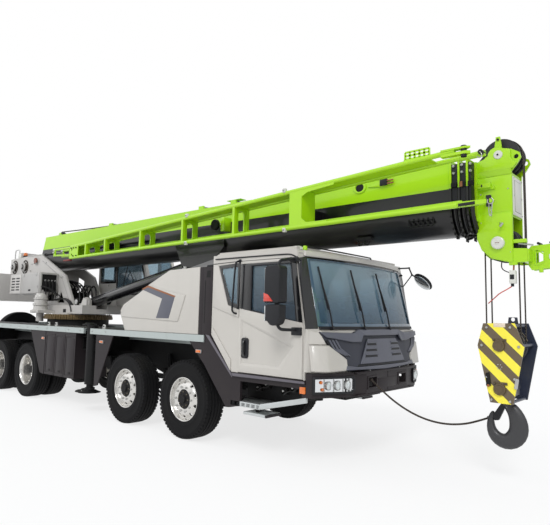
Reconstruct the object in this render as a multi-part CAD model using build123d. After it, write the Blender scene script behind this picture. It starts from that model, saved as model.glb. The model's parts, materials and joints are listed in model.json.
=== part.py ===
"""Four-axle truck crane with a telescopic boom, in millimetres.

+X points to the front of the carrier, +Y to its left and +Z up. The origin is on the ground, under the
middle of the machine's overall length. Stations along the machine are measured from the front axle
(FRONT_AXLE = 0) and shifted to that origin when a node is exported.
"""
from build123d import *
from math import atan2, cos, degrees, hypot, pi, radians, sin, tan
import os

# ---------------------------------------------------------------- overall
NOSE_X = 4750.0            # front end of the boom nose
TAIL_X = -8540.0           # rear of the spare wheel
FRAME_TAIL_X = -8225.0
ORIGIN_X = (NOSE_X + TAIL_X) / 2
HALF_WIDTH = 1250.0        # body sides
SKIN = 20.0                # thickness of side panels
GAP = 0.3                  # seat of a moving or loose piece on its neighbour
RUN = 5.0                  # running gap between moving pieces

# ---------------------------------------------------------------- wheels and axles
TYRE_R = 540.0
TYRE_W = 300.0
BEAD_R = 292.0
RIM_WALL = 20.0
TYRE_FACE_Y = 1236.0       # outer side of the outer tyres
TWIN_GAP = 50.0
AXLE_X = (0.0, -1440.0, -5020.0, -6370.0)
WHEEL_Y = TYRE_FACE_Y - TYRE_W / 2
TWIN_Y = WHEEL_Y - TYRE_W - TWIN_GAP
KINGPIN_Y = 870.0
KINGPIN_R = 30.0
SPINDLE_R = 40.0
HUB_R = 110.0
DRIVE_SPINDLE_R = 60.0
DISC_OFFSET = 118.0          # of a twin wheel's disc from its rim's middle

# ---------------------------------------------------------------- frame and deck
FRAME_HALF = 420.0
FRAME_Z = (780.0, 1300.0)
FRAME_LOW_Z = (700.0, 960.0)      # lowered front part, under the cab
FRAME_STEP_X = 480.0
FRAME_FRONT_X = 2150.0
DECK_Z = 1440.0
DECK_PLATE = 15.0
DECK_EDGE_H = 95.0
DECK_EDGE_T = 40.0
DECK_FRONT_X = 420.0

# ---------------------------------------------------------------- outriggers
BEAM_X_SIZE = 220.0
BEAM_Z_SIZE = 240.0
BEAM_WALL = 12.0
BEAM_FIT = 5.0                    # running gap of a beam in its channel
BOX_WALL = 20.0
BOX_BASE_Z = 1030.0               # underside of the outrigger boxes
BEAM_LENGTH = 2250.0
JACK_R = 95.0
JACK_ROD_R = 60.0
JACK_Z = (480.0, 1490.0)
PAD_R = 190.0
JACK_Y = HALF_WIDTH - 14 - JACK_R - 5
OUTRIGGER_BOX_HALF = JACK_Y - JACK_R - 11
PAD_Z = (340.0, 380.0)
OUTRIGGER_X = {"front": -2775.0, "rear": -7750.0}
BOX_X_SIZE = 2 * (BEAM_X_SIZE + 2 * BEAM_FIT) + 3 * BOX_WALL
BEAM_SHIFT_X = (BEAM_X_SIZE + 2 * BEAM_FIT + BOX_WALL) / 2
BOX_Z_SIZE = BEAM_Z_SIZE + 2 * BEAM_FIT + 2 * BOX_WALL

# ---------------------------------------------------------------- slewing ring and turntable
SLEW_X = -5300.0
RING_R = 720.0
RING_BORE_R = 560.0
RING_Z = (1555.0, 1660.0)
RING_TEETH = 72
PEDESTAL_R = 650.0
TABLE_Z = (1680.0, 1860.0)
TABLE_HALF = 450.0
PLATE_IN = 330.0                  # inner face of the turntable's side plates
PLATE_T = 30.0
FOOT_PIN = (-6790.0, 2930.0)      # boom foot pivot, X and Z
FOOT_PIN_R = 60.0
REDUCER = (-5700.0, -700.0)
WINCH_PINS = ((-7430.0, 2810.0), (-8030.0, 2830.0))
COUNTERWEIGHT_X = (-8500.0, -7900.0)
COUNTERWEIGHT_Z = (1965.0, 2640.0)
COUNTERWEIGHT_HALF = 1220.0

# ---------------------------------------------------------------- boom
BOOM_AXIS_TOP = 3480.0
BOOM_AXIS_BOTTOM = 2670.0
BOOM_HALF = 320.0
BOOM_WALL = 12.0
SECTION_STEP = 30.0               # each section is this much smaller all round than the one outside it
BOOM_REAR_X = -6960.0
COLLAR_HALF = 345.0
COLLAR_TOP = 3495.0
COLLAR_BOTTOM = 2610.0
COLLAR_T = 22.0
COLLAR_X = (3470.0, 3565.0, 3660.0)   # rear faces of the collars of sections 1 to 3
COLLAR_NOTCH = 120.0              # half width of the rope gap at the bottom of a collar
SECTION_REAR_X = (BOOM_REAR_X, -6200.0, -6120.0, -6040.0)
PAD_RING = 100.0
HEAD_X = 3715.0
HEAD_HALF = 180.0
HEAD_PLATE = 20.0
TOP_SHEAVE = (3961.0, 3514.0)
TOP_SHEAVE_R = 200.0
LOW_SHEAVE = (3938.0, 2540.0)
LOW_SHEAVE_R = 185.0
SHEAVE_W = 36.0
SHEAVE_PITCH = 90.0
GROOVE_DEPTH = 18.0
NOSE_SHEAVE = (4600.0, 2400.0)
NOSE_SHEAVE_R = 115.0

# ---------------------------------------------------------------- lift cylinder
LIFT_BASE = (-4700.0, 1930.0)     # base pin, X and Z
LIFT_EYE = (-1390.0, 2570.0)      # pin in the boom bracket
LIFT_BARREL_R = 112.0
LIFT_WALL = 28.0
LIFT_ROD_R = 78.0
LIFT_PIN_R = 50.0
LIFT_EYE_R = 95.0
LIFT_LENGTH = hypot(LIFT_EYE[0] - LIFT_BASE[0], LIFT_EYE[1] - LIFT_BASE[1])
LIFT_ANGLE = degrees(atan2(LIFT_EYE[1] - LIFT_BASE[1], LIFT_EYE[0] - LIFT_BASE[0]))

# ---------------------------------------------------------------- hook
ROPE_R = 8.0
TIE_KNOT_R = 24.0
TOW_PIN_X = 2445.0
TOW_PIN_R = 14.0
BLOCK_HALF = 250.0
BLOCK_PLATE = 15.0
BLOCK_TOP_Z = 1686.0
BLOCK_BOTTOM_Z = 862.0
BLOCK_X = LOW_SHEAVE[0]
BLOCK_SHEAVE_Z = 1444.0
BLOCK_PIN_Z = 997.0
HOOK_Z = 576.0
HOOK_R = 202.0

# ---------------------------------------------------------------- driver's cab
CAB_REAR_X = 570.0
CAB_FLOOR_Z = 1000.0
CAB_BELT_Z = 1560.0
CAB_ROOF_Z = 2500.0
CAB_WALL = 50.0
GLASS_T = 10.0
DOOR_GAP = 6.0
DOOR_HINGE_X = 2130.0


# ================================================================ helpers
def block(x0, x1, y0, y1, z0, z1):
    """Box between two corners."""
    return Pos((x0 + x1) / 2, (y0 + y1) / 2, (z0 + z1) / 2) * Box(x1 - x0, y1 - y0, z1 - z0)


def side_prism(points, y0, y1):
    """Outline in X and Z, extruded from y0 to y1."""
    face = Plane.XZ * make_face(Polyline(*points, close=True))
    return Pos(0, y1, 0) * extrude(face, y1 - y0)


def plan_prism(points, z0, z1):
    """Outline in X and Y, extruded from z0 to z1."""
    return Pos(0, 0, z0) * extrude(make_face(Polyline(*points, close=True)), z1 - z0)


def cross_prism(points, x0, x1):
    """Outline in Y and Z, extruded from x0 to x1."""
    face = Plane.YZ * make_face(Polyline(*points, close=True))
    return Pos(x0, 0, 0) * extrude(face, x1 - x0)


def bar_y(x, z, r, y0, y1):
    """Round bar along Y."""
    return Pos(x, (y0 + y1) / 2, z) * Rot(90, 0, 0) * Cylinder(r, abs(y1 - y0))


def bar_z(x, y, r, z0, z1):
    """Round bar along Z."""
    return Pos(x, y, (z0 + z1) / 2) * Cylinder(r, z1 - z0)


def bar_x(y, z, r, x0, x1):
    """Round bar along X."""
    return Pos((x0 + x1) / 2, y, z) * Rot(0, 90, 0) * Cylinder(r, x1 - x0)


def mirrored(shape):
    """The same piece on the other side of the machine."""
    return mirror(shape, about=Plane.XZ)


def turned(shape, x):
    """The piece turned half a turn about the vertical line at station x on the centreline."""
    return Pos(x, 0, 0) * Rot(0, 0, 180) * Pos(-x, 0, 0) * shape


def both_sides(shape):
    """The piece and its mirror image, as separate solids."""
    return Compound(children=[*shape.solids(), *mirrored(shape).solids()])


def many(*shapes):
    """Separate solids of one node."""
    return Compound(children=[s for shape in shapes for s in shape.solids()])


NODES = {}


def node(name, shape):
    """Registers a node for export."""
    NODES[name] = shape


# ================================================================ wheels
def tyre(y):
    """Tyre around the Y axis, centred at y."""
    shoulder = TYRE_W / 2 - 7
    half = [(BEAD_R, 112), (330, 138), (430, TYRE_W / 2), (510, shoulder), (TYRE_R, 118)]
    outline = [(r, w) for r, w in half] + [(r, -w) for r, w in reversed(half)]
    face = Plane.XY * make_face(Polyline(*[(r, y + w) for r, w in outline], close=True))
    return revolve(face, Axis.Y)


def rim(y, disc_at, bore_r, hub_span):
    """Rim, disc and hub around the Y axis. disc_at is the disc's offset from the centre at y."""
    edge = BEAD_R - GAP
    barrel = bar_y(0, 0, edge, y - 128, y + 128) - bar_y(0, 0, edge - RIM_WALL, y - 130, y + 130)
    disc = bar_y(0, 0, edge - RIM_WALL, y + disc_at - 8, y + disc_at + 8)
    for k in range(10):
        a = 2 * pi * k / 10
        disc -= bar_y(215 * cos(a), 215 * sin(a), 26, y + disc_at - 20, y + disc_at + 20)
    hub = bar_y(0, 0, HUB_R, *hub_span)
    bore = bar_y(0, 0, bore_r, hub_span[0] - 1, hub_span[1] - 12)
    return barrel + disc + hub - bore


def front_wheel(x):
    """Single steered wheel on the left side."""
    hub_span = (WHEEL_Y - 60, WHEEL_Y + 130)
    made = many(tyre(WHEEL_Y), rim(WHEEL_Y, 62, SPINDLE_R + GAP, hub_span))
    return Pos(x, 0, TYRE_R) * made


def twin_wheel(x):
    """Twin driven wheels on the left side: two tyres on two rims that share a hub."""
    hub_span = (TWIN_Y - 100, WHEEL_Y + 40)
    outer = rim(WHEEL_Y, -DISC_OFFSET, DRIVE_SPINDLE_R + GAP, hub_span)
    inner = rim(TWIN_Y, DISC_OFFSET, DRIVE_SPINDLE_R + GAP, hub_span)
    made = many(tyre(WHEEL_Y), tyre(TWIN_Y), outer + inner)
    return Pos(x, 0, TYRE_R) * made


def knuckle(x):
    """Steering knuckle on the left side: a yoke on the kingpin, with the wheel spindle."""
    yoke = block(x - 55, x + 55, KINGPIN_Y - 55, KINGPIN_Y + 80, TYRE_R + 75, TYRE_R + 110)
    yoke += block(x - 55, x + 55, KINGPIN_Y - 55, KINGPIN_Y + 80, TYRE_R - 110, TYRE_R - 75)
    yoke += block(x - 70, x + 70, KINGPIN_Y + 62, KINGPIN_Y + 95, TYRE_R - 110, TYRE_R + 110)
    yoke += bar_z(x, KINGPIN_Y, KINGPIN_R, TYRE_R - 110, TYRE_R + 110)
    yoke += bar_y(x, TYRE_R, SPINDLE_R, KINGPIN_Y + 90, WHEEL_Y + 110)
    return yoke


def front_axle(x):
    """Forged beam with a kingpin boss at each end and its leaf springs."""
    beam = block(x - 50, x + 50, -(KINGPIN_Y - 45), KINGPIN_Y - 45, TYRE_R - 50, TYRE_R + 50)
    for side in (-1, 1):
        beam += bar_z(x, side * KINGPIN_Y, 55, TYRE_R - 70, TYRE_R + 70)
        beam -= bar_z(x, side * KINGPIN_Y, KINGPIN_R + GAP, TYRE_R - 80, TYRE_R + 80)
    return beam + leaf_springs(x, TYRE_R + 50)


def drive_axle(x):
    """Banjo housing with spindles out to the twin wheels and its leaf springs."""
    tube = bar_y(x, TYRE_R, 80, -(TWIN_Y - 165), TWIN_Y - 165)
    tube += bar_y(x, TYRE_R, DRIVE_SPINDLE_R, -(WHEEL_Y + 20), WHEEL_Y + 20)
    tube += Pos(x, 0, TYRE_R) * Rot(90, 0, 0) * Cylinder(200, 220)
    tube += bar_x(0, TYRE_R + 40, 90, x, x + 330)
    return tube + leaf_springs(x, TYRE_R + 75)


SPRING_Y = (330.0, 410.0)
SPRING_HALF = 560.0


def leaf_springs(x, seat_z):
    """Two stacked springs on one axle, from seat_z up, with ends against the frame's hangers."""
    made = None
    for side in (-1, 1):
        y0, y1 = sorted((side * SPRING_Y[0], side * SPRING_Y[1]))
        saddle = block(x - 90, x + 90, y0, y1, TYRE_R, 660)
        stack = saddle
        for k, half in enumerate((SPRING_HALF, 420.0, 260.0)):
            stack += block(x - half, x + half, y0, y1, 690 - 25 * (k + 1), 690 - 25 * k)
        made = stack if made is None else made + stack
    return made


# ================================================================ frame
def outrigger_envelope(name):
    x = OUTRIGGER_X[name]
    return (x - BOX_X_SIZE / 2, x + BOX_X_SIZE / 2, BOX_BASE_Z, BOX_BASE_Z + BOX_Z_SIZE)


def carrier_frame():
    """Box girder, lowered at the front, with the ring pedestal, spring hangers and the boom rest."""
    frame = block(FRAME_TAIL_X, FRAME_STEP_X, -FRAME_HALF, FRAME_HALF, *FRAME_Z)
    frame += block(FRAME_STEP_X, FRAME_FRONT_X, -FRAME_HALF, FRAME_HALF, *FRAME_LOW_Z)
    frame += side_prism([(FRAME_STEP_X - 10, FRAME_LOW_Z[0]), (FRAME_STEP_X - 500, FRAME_Z[0] + 10),
                         (FRAME_STEP_X - 10, FRAME_Z[0] + 10)], -FRAME_HALF, FRAME_HALF)
    frame += bar_z(SLEW_X, 0, PEDESTAL_R, FRAME_Z[1] - 200, RING_Z[0])
    for x in AXLE_X:
        for end in (-1, 1):
            hx = x + end * (SPRING_HALF - 40)
            for side in (-1, 1):
                y0, y1 = sorted((side * SPRING_Y[0], side * SPRING_Y[1]))
                frame += block(hx - 40, hx + 40, y0, y1, 690, FRAME_Z[0] + 10)
    # boom rest: two posts and a flat saddle under the boom
    for side in (-1, 1):
        frame += block(BOOM_REST_X - 60, BOOM_REST_X + 60, side * 200 - 50, side * 200 + 50,
                       FRAME_Z[1] - 10, 2560)
    frame += block(BOOM_REST_X - 80, BOOM_REST_X + 80, -260, 260, 2540, BOOM_AXIS_BOTTOM - RUN)
    for x in CAB_MOUNT_X:
        for side in (-1, 1):
            frame += block(x - 50, x + 50, side * 330 - 60, side * 330 + 60, FRAME_LOW_Z[1] - 5, CAB_FLOOR_Z)
    # stub that carries the spare wheel
    frame += bar_x(0, SPARE_Z, 60, SPARE_X - 75, FRAME_TAIL_X + 10)
    for name in OUTRIGGER_X:
        x0, x1, z0, z1 = outrigger_envelope(name)
        frame -= block(x0, x1, -FRAME_HALF - 1, FRAME_HALF + 1, z0, z1)
    return frame


BOOM_REST_X = 425.0
CAB_MOUNT_X = (1150.0, 1960.0)


def slewing_ring():
    """External gear ring, bolted to the pedestal."""
    ring = bar_z(SLEW_X, 0, RING_R - 24, *RING_Z)
    tooth = block(SLEW_X + RING_R - 30, SLEW_X + RING_R, -13, 13, *RING_Z)
    teeth = [Pos(SLEW_X, 0, 0) * Rot(0, 0, 360 * k / RING_TEETH) * Pos(-SLEW_X, 0, 0) * tooth
             for k in range(RING_TEETH)]
    ring = ring.fuse(*teeth)
    return ring - bar_z(SLEW_X, 0, RING_BORE_R, RING_Z[0] - 1, RING_Z[1] + 1)


def outrigger_box(name):
    """Cross box with two channels side by side: the front one for the right beam."""
    x0, x1, z0, z1 = outrigger_envelope(name)
    half = OUTRIGGER_BOX_HALF
    made = block(x0, x1, -half, half, z0, z1)
    for shift in (-BEAM_SHIFT_X, BEAM_SHIFT_X):
        cx = OUTRIGGER_X[name] + shift
        w = BEAM_X_SIZE / 2 + BEAM_FIT
        made -= block(cx - w, cx + w, -half - 1, half + 1, z0 + BOX_WALL, z1 - BOX_WALL)
    return made


def outrigger_beam(name, side):
    """Sliding beam with its jack barrel at the outer end. side is -1 on the right, 1 on the left."""
    cx = OUTRIGGER_X[name] - side * BEAM_SHIFT_X
    z0 = BOX_BASE_Z + BOX_WALL + GAP
    z1 = z0 + BEAM_Z_SIZE
    w = BEAM_X_SIZE / 2
    wall = BEAM_WALL
    made = block(cx - w, cx + w, JACK_Y - BEAM_LENGTH, JACK_Y, z0, z1)
    made -= block(cx - w + wall, cx + w - wall, JACK_Y - BEAM_LENGTH - 1, JACK_Y - 130, z0 + wall, z1 - wall)
    made += bar_z(cx, JACK_Y, JACK_R, *JACK_Z)
    made -= block(cx - w - 1, cx + w + 1, JACK_Y + JACK_R * 0.3, JACK_Y + JACK_R + 50, z0 - 1, z1 + 1) - bar_z(
        cx, JACK_Y, JACK_R, *JACK_Z)
    made -= bar_z(cx, JACK_Y, JACK_ROD_R + GAP, JACK_Z[0] - 1, JACK_Z[1] - 40)
    return made if side > 0 else mirrored(made)


def jack_leg(name, side):
    """Jack rod with its float."""
    cx = OUTRIGGER_X[name] - side * BEAM_SHIFT_X
    made = bar_z(cx, JACK_Y, JACK_ROD_R, PAD_Z[1] - 5, JACK_Z[0] + 800)
    made += bar_z(cx, JACK_Y, JACK_ROD_R + 25, PAD_Z[1] - 5, PAD_Z[1] + 40)
    made += Pos(cx, JACK_Y, (PAD_Z[0] + PAD_Z[1]) / 2) * Cone(PAD_R, PAD_R * 0.55, PAD_Z[1] - PAD_Z[0])
    return made if side > 0 else mirrored(made)


# ================================================================ deck, boxes, side panels
def deck():
    """Walk-on deck plates with an edge beam each side, carried on cross arms from the frame."""
    x0, x1 = FRAME_TAIL_X, DECK_FRONT_X - 2
    made = block(x0, x1, FRAME_HALF, HALF_WIDTH, DECK_Z - DECK_PLATE, DECK_Z)
    made += block(x0, x1, HALF_WIDTH - DECK_EDGE_T, HALF_WIDTH, DECK_Z - DECK_EDGE_H, DECK_Z)
    made += block(x0, x1, FRAME_HALF, FRAME_HALF + 60, FRAME_Z[1] - 60, DECK_Z)
    for k in range(9):
        ax = x0 + (x1 - x0) * (k + 0.5) / 9
        made += block(ax - 30, ax + 30, FRAME_HALF, HALF_WIDTH - 10, DECK_Z - 60, DECK_Z - 5)
    made -= bar_z(SLEW_X, 0, PEDESTAL_R + 2, FRAME_Z[1] - 300, DECK_Z + 10)
    for name in OUTRIGGER_X:
        ex0, ex1, ez0, ez1 = outrigger_envelope(name)
        made -= block(ex0 - 2, ex1 + 2, FRAME_HALF - 1, OUTRIGGER_BOX_HALF + 2, ez0, ez1 + 2)
    sides = []
    for side in (-1, 1):
        half = made if side > 0 else mirrored(made)
        for name in OUTRIGGER_X:
            cx = OUTRIGGER_X[name] - side * BEAM_SHIFT_X
            y0, y1 = sorted((side * (JACK_Y - JACK_R - 11), side * (HALF_WIDTH + 1)))
            half -= block(cx - JACK_R - 15, cx + JACK_R + 15, y0, y1, DECK_Z - 100, DECK_Z + 1)
        sides.append(half)
    return many(*sides)


BOX_TOP_Z = DECK_Z - DECK_EDGE_H
STORAGE_X = (-4190.0, -3045.0)
STORAGE_Z = (529.0, BOX_TOP_Z)
STORAGE_IN = 600.0


def side_boxes():
    """Right: three-door storage box. Left: fuel tank with rounded edges."""
    box = block(*STORAGE_X, -HALF_WIDTH + 14, -STORAGE_IN, *STORAGE_Z)
    width = (STORAGE_X[1] - STORAGE_X[0]) / 3
    for k in (1, 2):
        x = STORAGE_X[0] + k * width
        box -= block(x - 8, x + 8, -HALF_WIDTH, -HALF_WIDTH + 34, STORAGE_Z[0] - 1, STORAGE_Z[1] - 40)
    tank = block(*STORAGE_X, STORAGE_IN, HALF_WIDTH - 14, 600, STORAGE_Z[1])
    tank = fillet(tank.edges().filter_by(Axis.X).group_by(Axis.Z)[0], 90)
    return many(box, tank)


def side_panels():
    """Dark panels between the wheels, the sill, the steps and the tall grilles behind the cab, left side."""
    y0, y1 = HALF_WIDTH - 14 - SKIN, HALF_WIDTH - 14
    front = side_prism([(109, BOX_TOP_Z), (DECK_FRONT_X, BOX_TOP_Z), (DECK_FRONT_X, 1447), (566, 1452), (966, 985),
                        (1130, 990), (2165, 990), (2165, 900), (1124, 896), (1124, 590), (873, 549),
                        (433, 1047)], y0, y1)
    front += block(FRAME_HALF + 300, 1010, y0 - 400, y0 + 5, 860, 900) - block(0, 700, 0, 2000, 0, 2000)
    front += block(960, 1500, HALF_WIDTH - 330, HALF_WIDTH - 20, 590, 640)
    front += side_prism([(1060, 600), (1124, 600), (1124, 900), (1060, 900)], y0 - 20, y1)
    front += side_prism([(1440, 600), (1500, 600), (2165, 755), (2165, 905), (2105, 905), (2105, 800),
                         (1480, 650)], y0, y1)
    front += block(1180, 1560, HALF_WIDTH - 300, HALF_WIDTH - 30, 500, 530)
    front += block(1300, 1330, HALF_WIDTH - 200, HALF_WIDTH - 120, 525, 595)
    mid = side_prism([(-1832, BOX_TOP_Z), (-2355, BOX_TOP_Z), (-2355, 480), (-2250, 503)], y0, y1)
    rear = side_prism([(-4871, BOX_TOP_Z), (-4215, BOX_TOP_Z), (-4215, 520), (-4369, 543)], y0, y1)
    tail = side_prism([(-6900, BOX_TOP_Z), (-7420, BOX_TOP_Z), (-7420, 760), (-7300, 760)], y0, y1)
    grille = block(292, 560, HALF_WIDTH - 250, HALF_WIDTH - 10, DECK_Z, 2365)
    grille -= block(340, 520, HALF_WIDTH - 40, HALF_WIDTH, 1500, 2320)
    for k in range(6):
        z = 1560 + 130 * k
        grille += block(335, 525, HALF_WIDTH - 45, HALF_WIDTH - 22, z, z + 60)
    return both_sides(many(front + grille, mid, rear, tail))


# ================================================================ engine
HOOD_SIDE = [(-1493, DECK_Z), (-1656, 1755), (-1568, 1853), (-381, 2354), (292, 2371), (292, DECK_Z)]
HOOD_HALF = 1236.0
HOOD_WALL = 30.0


def engine_hood():
    """Full-width hood behind the cab, open below."""
    shell = side_prism(HOOD_SIDE, -HOOD_HALF, HOOD_HALF)
    t = HOOD_WALL
    inner = [(-1493 + t, DECK_Z - 5), (-1656 + t, 1755), (-1568 + t, 1853 - t), (-381, 2354 - t),
             (292 - t, 2371 - t), (292 - t, DECK_Z - 5)]
    return shell - side_prism(inner, -HOOD_HALF + t, HOOD_HALF - t)


def engine():
    """Engine as one block, on the frame under the hood."""
    return block(-1250, 100, -FRAME_HALF + 20, FRAME_HALF - 20, FRAME_Z[1], 1880)


# ================================================================ driver's cab
def cab_section(z, inset):
    """Plan outline of the cab at height z, drawn inwards by inset."""
    if z <= CAB_BELT_Z:
        side_x, corner_x, mid_x = 2165.0, 2290.0, 2390.0
    else:
        t = (z - CAB_BELT_Z) / (CAB_ROOF_Z - CAB_BELT_Z)
        side_x, corner_x, mid_x = 2165 - 150 * t, 2250 - 235 * t, 2375 - 235 * t
    corner_y = 1120.0
    y = HALF_WIDTH - inset
    i = inset
    outline = Polyline((corner_x - i, corner_y - i * 0.6), (side_x - i * 0.9, y), (CAB_REAR_X + i, y),
                       (CAB_REAR_X + i, -y), (side_x - i * 0.9, -y), (corner_x - i, -corner_y + i * 0.6))
    front = ThreePointArc((corner_x - i, -corner_y + i * 0.6), (mid_x - i, 0), (corner_x - i, corner_y - i * 0.6))
    return Pos(0, 0, z) * make_face(outline + front)


def cab_volume(inset, z0, z1):
    """Solid cab body between two heights, with its walls drawn inwards by inset."""
    lower = loft([cab_section(z0, inset), cab_section(CAB_BELT_Z - 1, inset)])
    upper = loft([cab_section(CAB_BELT_Z + 1, inset), cab_section(z1, inset)])
    joint = loft([cab_section(CAB_BELT_Z - 1, inset), cab_section(CAB_BELT_Z + 1, inset)])
    body = lower + joint + upper
    t = inset * 1.3
    wheel_arch = side_prism([(CAB_REAR_X - 10, 900), (CAB_REAR_X - 10, 1464 + t), (CAB_REAR_X, 1452 + t),
                             (970 + t * 0.4, 985 + t * 0.6), (1010 + t * 0.4, 900)], -1400, 1400)
    front = block(2150 - t, 3000, -1400, 1400, 900, BUMPER_TOP_Z + 12 + t)
    return body - wheel_arch - front


BUMPER_TOP_Z = 1080.0
DOOR_PIN = (DOOR_HINGE_X + 3, HALF_WIDTH - 6)
DOOR_PIN_R = 4.0
DOOR_PIN_Z = ((1130.0, 1230.0), (1420.0, 1520.0))
DOOR_REAR_X = 1095.0
DOOR_OUTLINE = [(DOOR_REAR_X, 1006), (DOOR_HINGE_X, 1006), (DOOR_HINGE_X, 1600), (2010, 2400), (DOOR_REAR_X, 2400)]
DOOR_WINDOW = [(1290, 1775), (2030, 1648), (1935, 2338), (1297, 2338)]
QUARTER_WINDOW = [(744, 2320), (1050, 2340), (1045, 1850), (927, 1875)]
SCREEN = [(-1090, 1640), (1090, 1640), (1075, 2390), (-1075, 2390)]
REAR_WINDOW = [(-500, 1900), (500, 1900), (500, 2300), (-500, 2300)]


def grown(points, by):
    """Outline moved outwards from its middle by about by on each side."""
    mx = sum(p[0] for p in points) / len(points)
    mz = sum(p[1] for p in points) / len(points)
    return [(x + by * (1 if x > mx else -1), z + by * (1 if z > mz else -1)) for x, z in points]


def driver_cab():
    """Full-width cab shell with openings for doors, screen, quarter and rear windows."""
    shell = cab_volume(0, CAB_FLOOR_Z, CAB_ROOF_Z) - cab_volume(CAB_WALL, CAB_FLOOR_Z + CAB_WALL, CAB_ROOF_Z - CAB_WALL)
    shell += plan_prism([(620, -1190), (1960, -1190), (1960, 1190), (620, 1190)], CAB_ROOF_Z - 5, CAB_ROOF_Z + 45)
    shell -= cross_prism(SCREEN, 1850, 2600)
    shell -= cross_prism(REAR_WINDOW, CAB_REAR_X - 20, CAB_REAR_X + 90)
    for side in (-1, 1):
        for pin in hinge_pins(DOOR_PIN_R + GAP, 2):
            shell -= pin if side > 0 else mirrored(pin)
        y0, y1 = sorted((side * (HALF_WIDTH - CAB_WALL - 10), side * (HALF_WIDTH + 10)))
        shell -= side_prism(grown(DOOR_OUTLINE, DOOR_GAP), y0, y1)
        shell -= side_prism(QUARTER_WINDOW, y0, y1)
    return shell


def cab_pane(cutter):
    """Glass in the cab's skin, limited to a cutter."""
    return (cab_volume(6, CAB_FLOOR_Z, CAB_ROOF_Z) - cab_volume(6 + GLASS_T, CAB_FLOOR_Z - 5, CAB_ROOF_Z + 5)) & cutter


def cab_glass():
    """Windscreen, quarter windows and rear window, seated in the shell's openings."""
    screen = cab_pane(cross_prism(grown(SCREEN, -GAP), 1850, 2600))
    rear = cross_prism(grown(REAR_WINDOW, -GAP), CAB_REAR_X + 6, CAB_REAR_X + 6 + GLASS_T)
    quarter = side_prism(grown(QUARTER_WINDOW, -GAP), HALF_WIDTH - 6 - GLASS_T, HALF_WIDTH - 6)
    return many(screen, rear, both_sides(quarter))


def hinge_pins(r, extra):
    """Hinge pins at the door's front edge, each extra longer at both ends."""
    return [bar_z(DOOR_PIN[0], DOOR_PIN[1], r, z0 - extra, z1 + extra) for z0, z1 in DOOR_PIN_Z]


def cab_door(side):
    """Hinged door, as thick as the cab's wall, with its window cut."""
    made = side_prism(DOOR_OUTLINE, HALF_WIDTH - CAB_WALL, HALF_WIDTH)
    made -= plan_prism([(DOOR_HINGE_X - 10, HALF_WIDTH + 1), (DOOR_HINGE_X + 1, HALF_WIDTH - 10),
                        (DOOR_HINGE_X + 1, HALF_WIDTH + 1)], 1000, 1850)
    for pin in hinge_pins(DOOR_PIN_R, 0):
        made += pin
    made -= side_prism(DOOR_WINDOW, HALF_WIDTH - CAB_WALL - 10, HALF_WIDTH + 10)
    return made if side > 0 else mirrored(made)


def door_glass(side):
    made = side_prism(grown(DOOR_WINDOW, -GAP), HALF_WIDTH - 12 - GLASS_T, HALF_WIDTH - 12)
    return made if side > 0 else mirrored(made)


def door_mirror():
    """Two-part mirror housing on its bracket, carried by the right door."""
    top = block(1830, 2090, 1480, 1640, 1870, 2280)
    low = block(1830, 2090, 1490, 1630, 1610, 1845)
    stem = bar_z(1990, 1560, 18, 1560, 2330)
    foot = block(1950, 2110, HALF_WIDTH - 2, 1580, 1540, 1580)
    foot -= block(1900, 2200, HALF_WIDTH - 10, HALF_WIDTH, 1500, 1600)
    arm = block(1960, 2020, HALF_WIDTH - 2, 1580, 2320, 2350)
    arm -= block(1900, 2200, HALF_WIDTH - 10, HALF_WIDTH, 2300, 2400)
    return mirrored(top + low + stem + foot + arm)


KERB_ARM = [(2020, 1060, 2455), (2150, 1280, 2480), (2200, 1275, 2373), (2300, 1440, 2285)]
KERB_STAY = (2060, 1215, 2170)
KERB_FACE = (-0.1, -0.8, -0.6)


def kerb_mirror():
    """Oval mirror that looks down at the kerb, on bent arms at the cab's left front corner."""
    parts = [tube_between(a, b, 11) for a, b in zip(KERB_ARM, KERB_ARM[1:])]
    parts.append(tube_between(KERB_ARM[2], KERB_STAY, 8))
    parts += [Pos(*point) * Sphere(13) for point in KERB_ARM[1:3]]
    face = Plane(origin=(2300, 1420, 2270), x_dir=(0.625, 0.416, -0.662), z_dir=KERB_FACE)
    parts.append(extrude(face * Ellipse(160, 105), -42))
    return parts[0].fuse(*parts[1:]) - cab_volume(0, CAB_FLOOR_Z, CAB_ROOF_Z)


def cab_seats():
    """Driver's seat, middle seat and passenger's seat on the cab floor."""
    seats = []
    for y in (-640, 640):
        seat = block(900, 1400, y - 240, y + 240, 1350, 1460)
        seat += side_prism([(900, 1430), (1000, 1430), (900, 2080), (800, 2080)], y - 230, y + 230)
        seat += block(1000, 1300, y - 130, y + 130, CAB_FLOOR_Z + CAB_WALL, 1360)
        seats.append(seat)
    return many(*seats)


def dashboard():
    """Dashboard across the cab, with the steering column and wheel on the left."""
    made = side_prism([(1900, 1300), (2000, 1555), (2215, 1555), (2215, 1300)], -1060, 1060)
    made += block(1960, 2075, -300, 300, CAB_FLOOR_Z + CAB_WALL, 1310)
    column = Pos(1830, 640, 1540) * Rot(0, -60, 0) * Cylinder(28, 420)
    ring = Pos(1740, 640, 1590) * Rot(0, -60, 0) * (Cylinder(225, 30) - Cylinder(195, 40))
    spokes = Pos(1740, 640, 1590) * Rot(0, -60, 0) * (Box(420, 40, 20) + Box(40, 420, 20))
    return made + column + ring + spokes


def front_grille():
    """Grey front panel over the lower front of the cab."""
    outline = [(-1090, 1555), (-640, 1555), (-560, 1590), (560, 1590), (640, 1555), (1090, 1555),
               (1000, 1330), (760, 1240), (760, 1095), (-760, 1095), (-760, 1240), (-1000, 1330)]
    body = cross_prism(outline, 2200, 2600)
    skin = Pos(60, 0, 0) * cab_volume(0, CAB_FLOOR_Z, CAB_BELT_Z + 60) - Pos(1, 0, 0) * cab_volume(0, CAB_FLOOR_Z - 5, CAB_ROOF_Z)
    return skin & body


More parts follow.
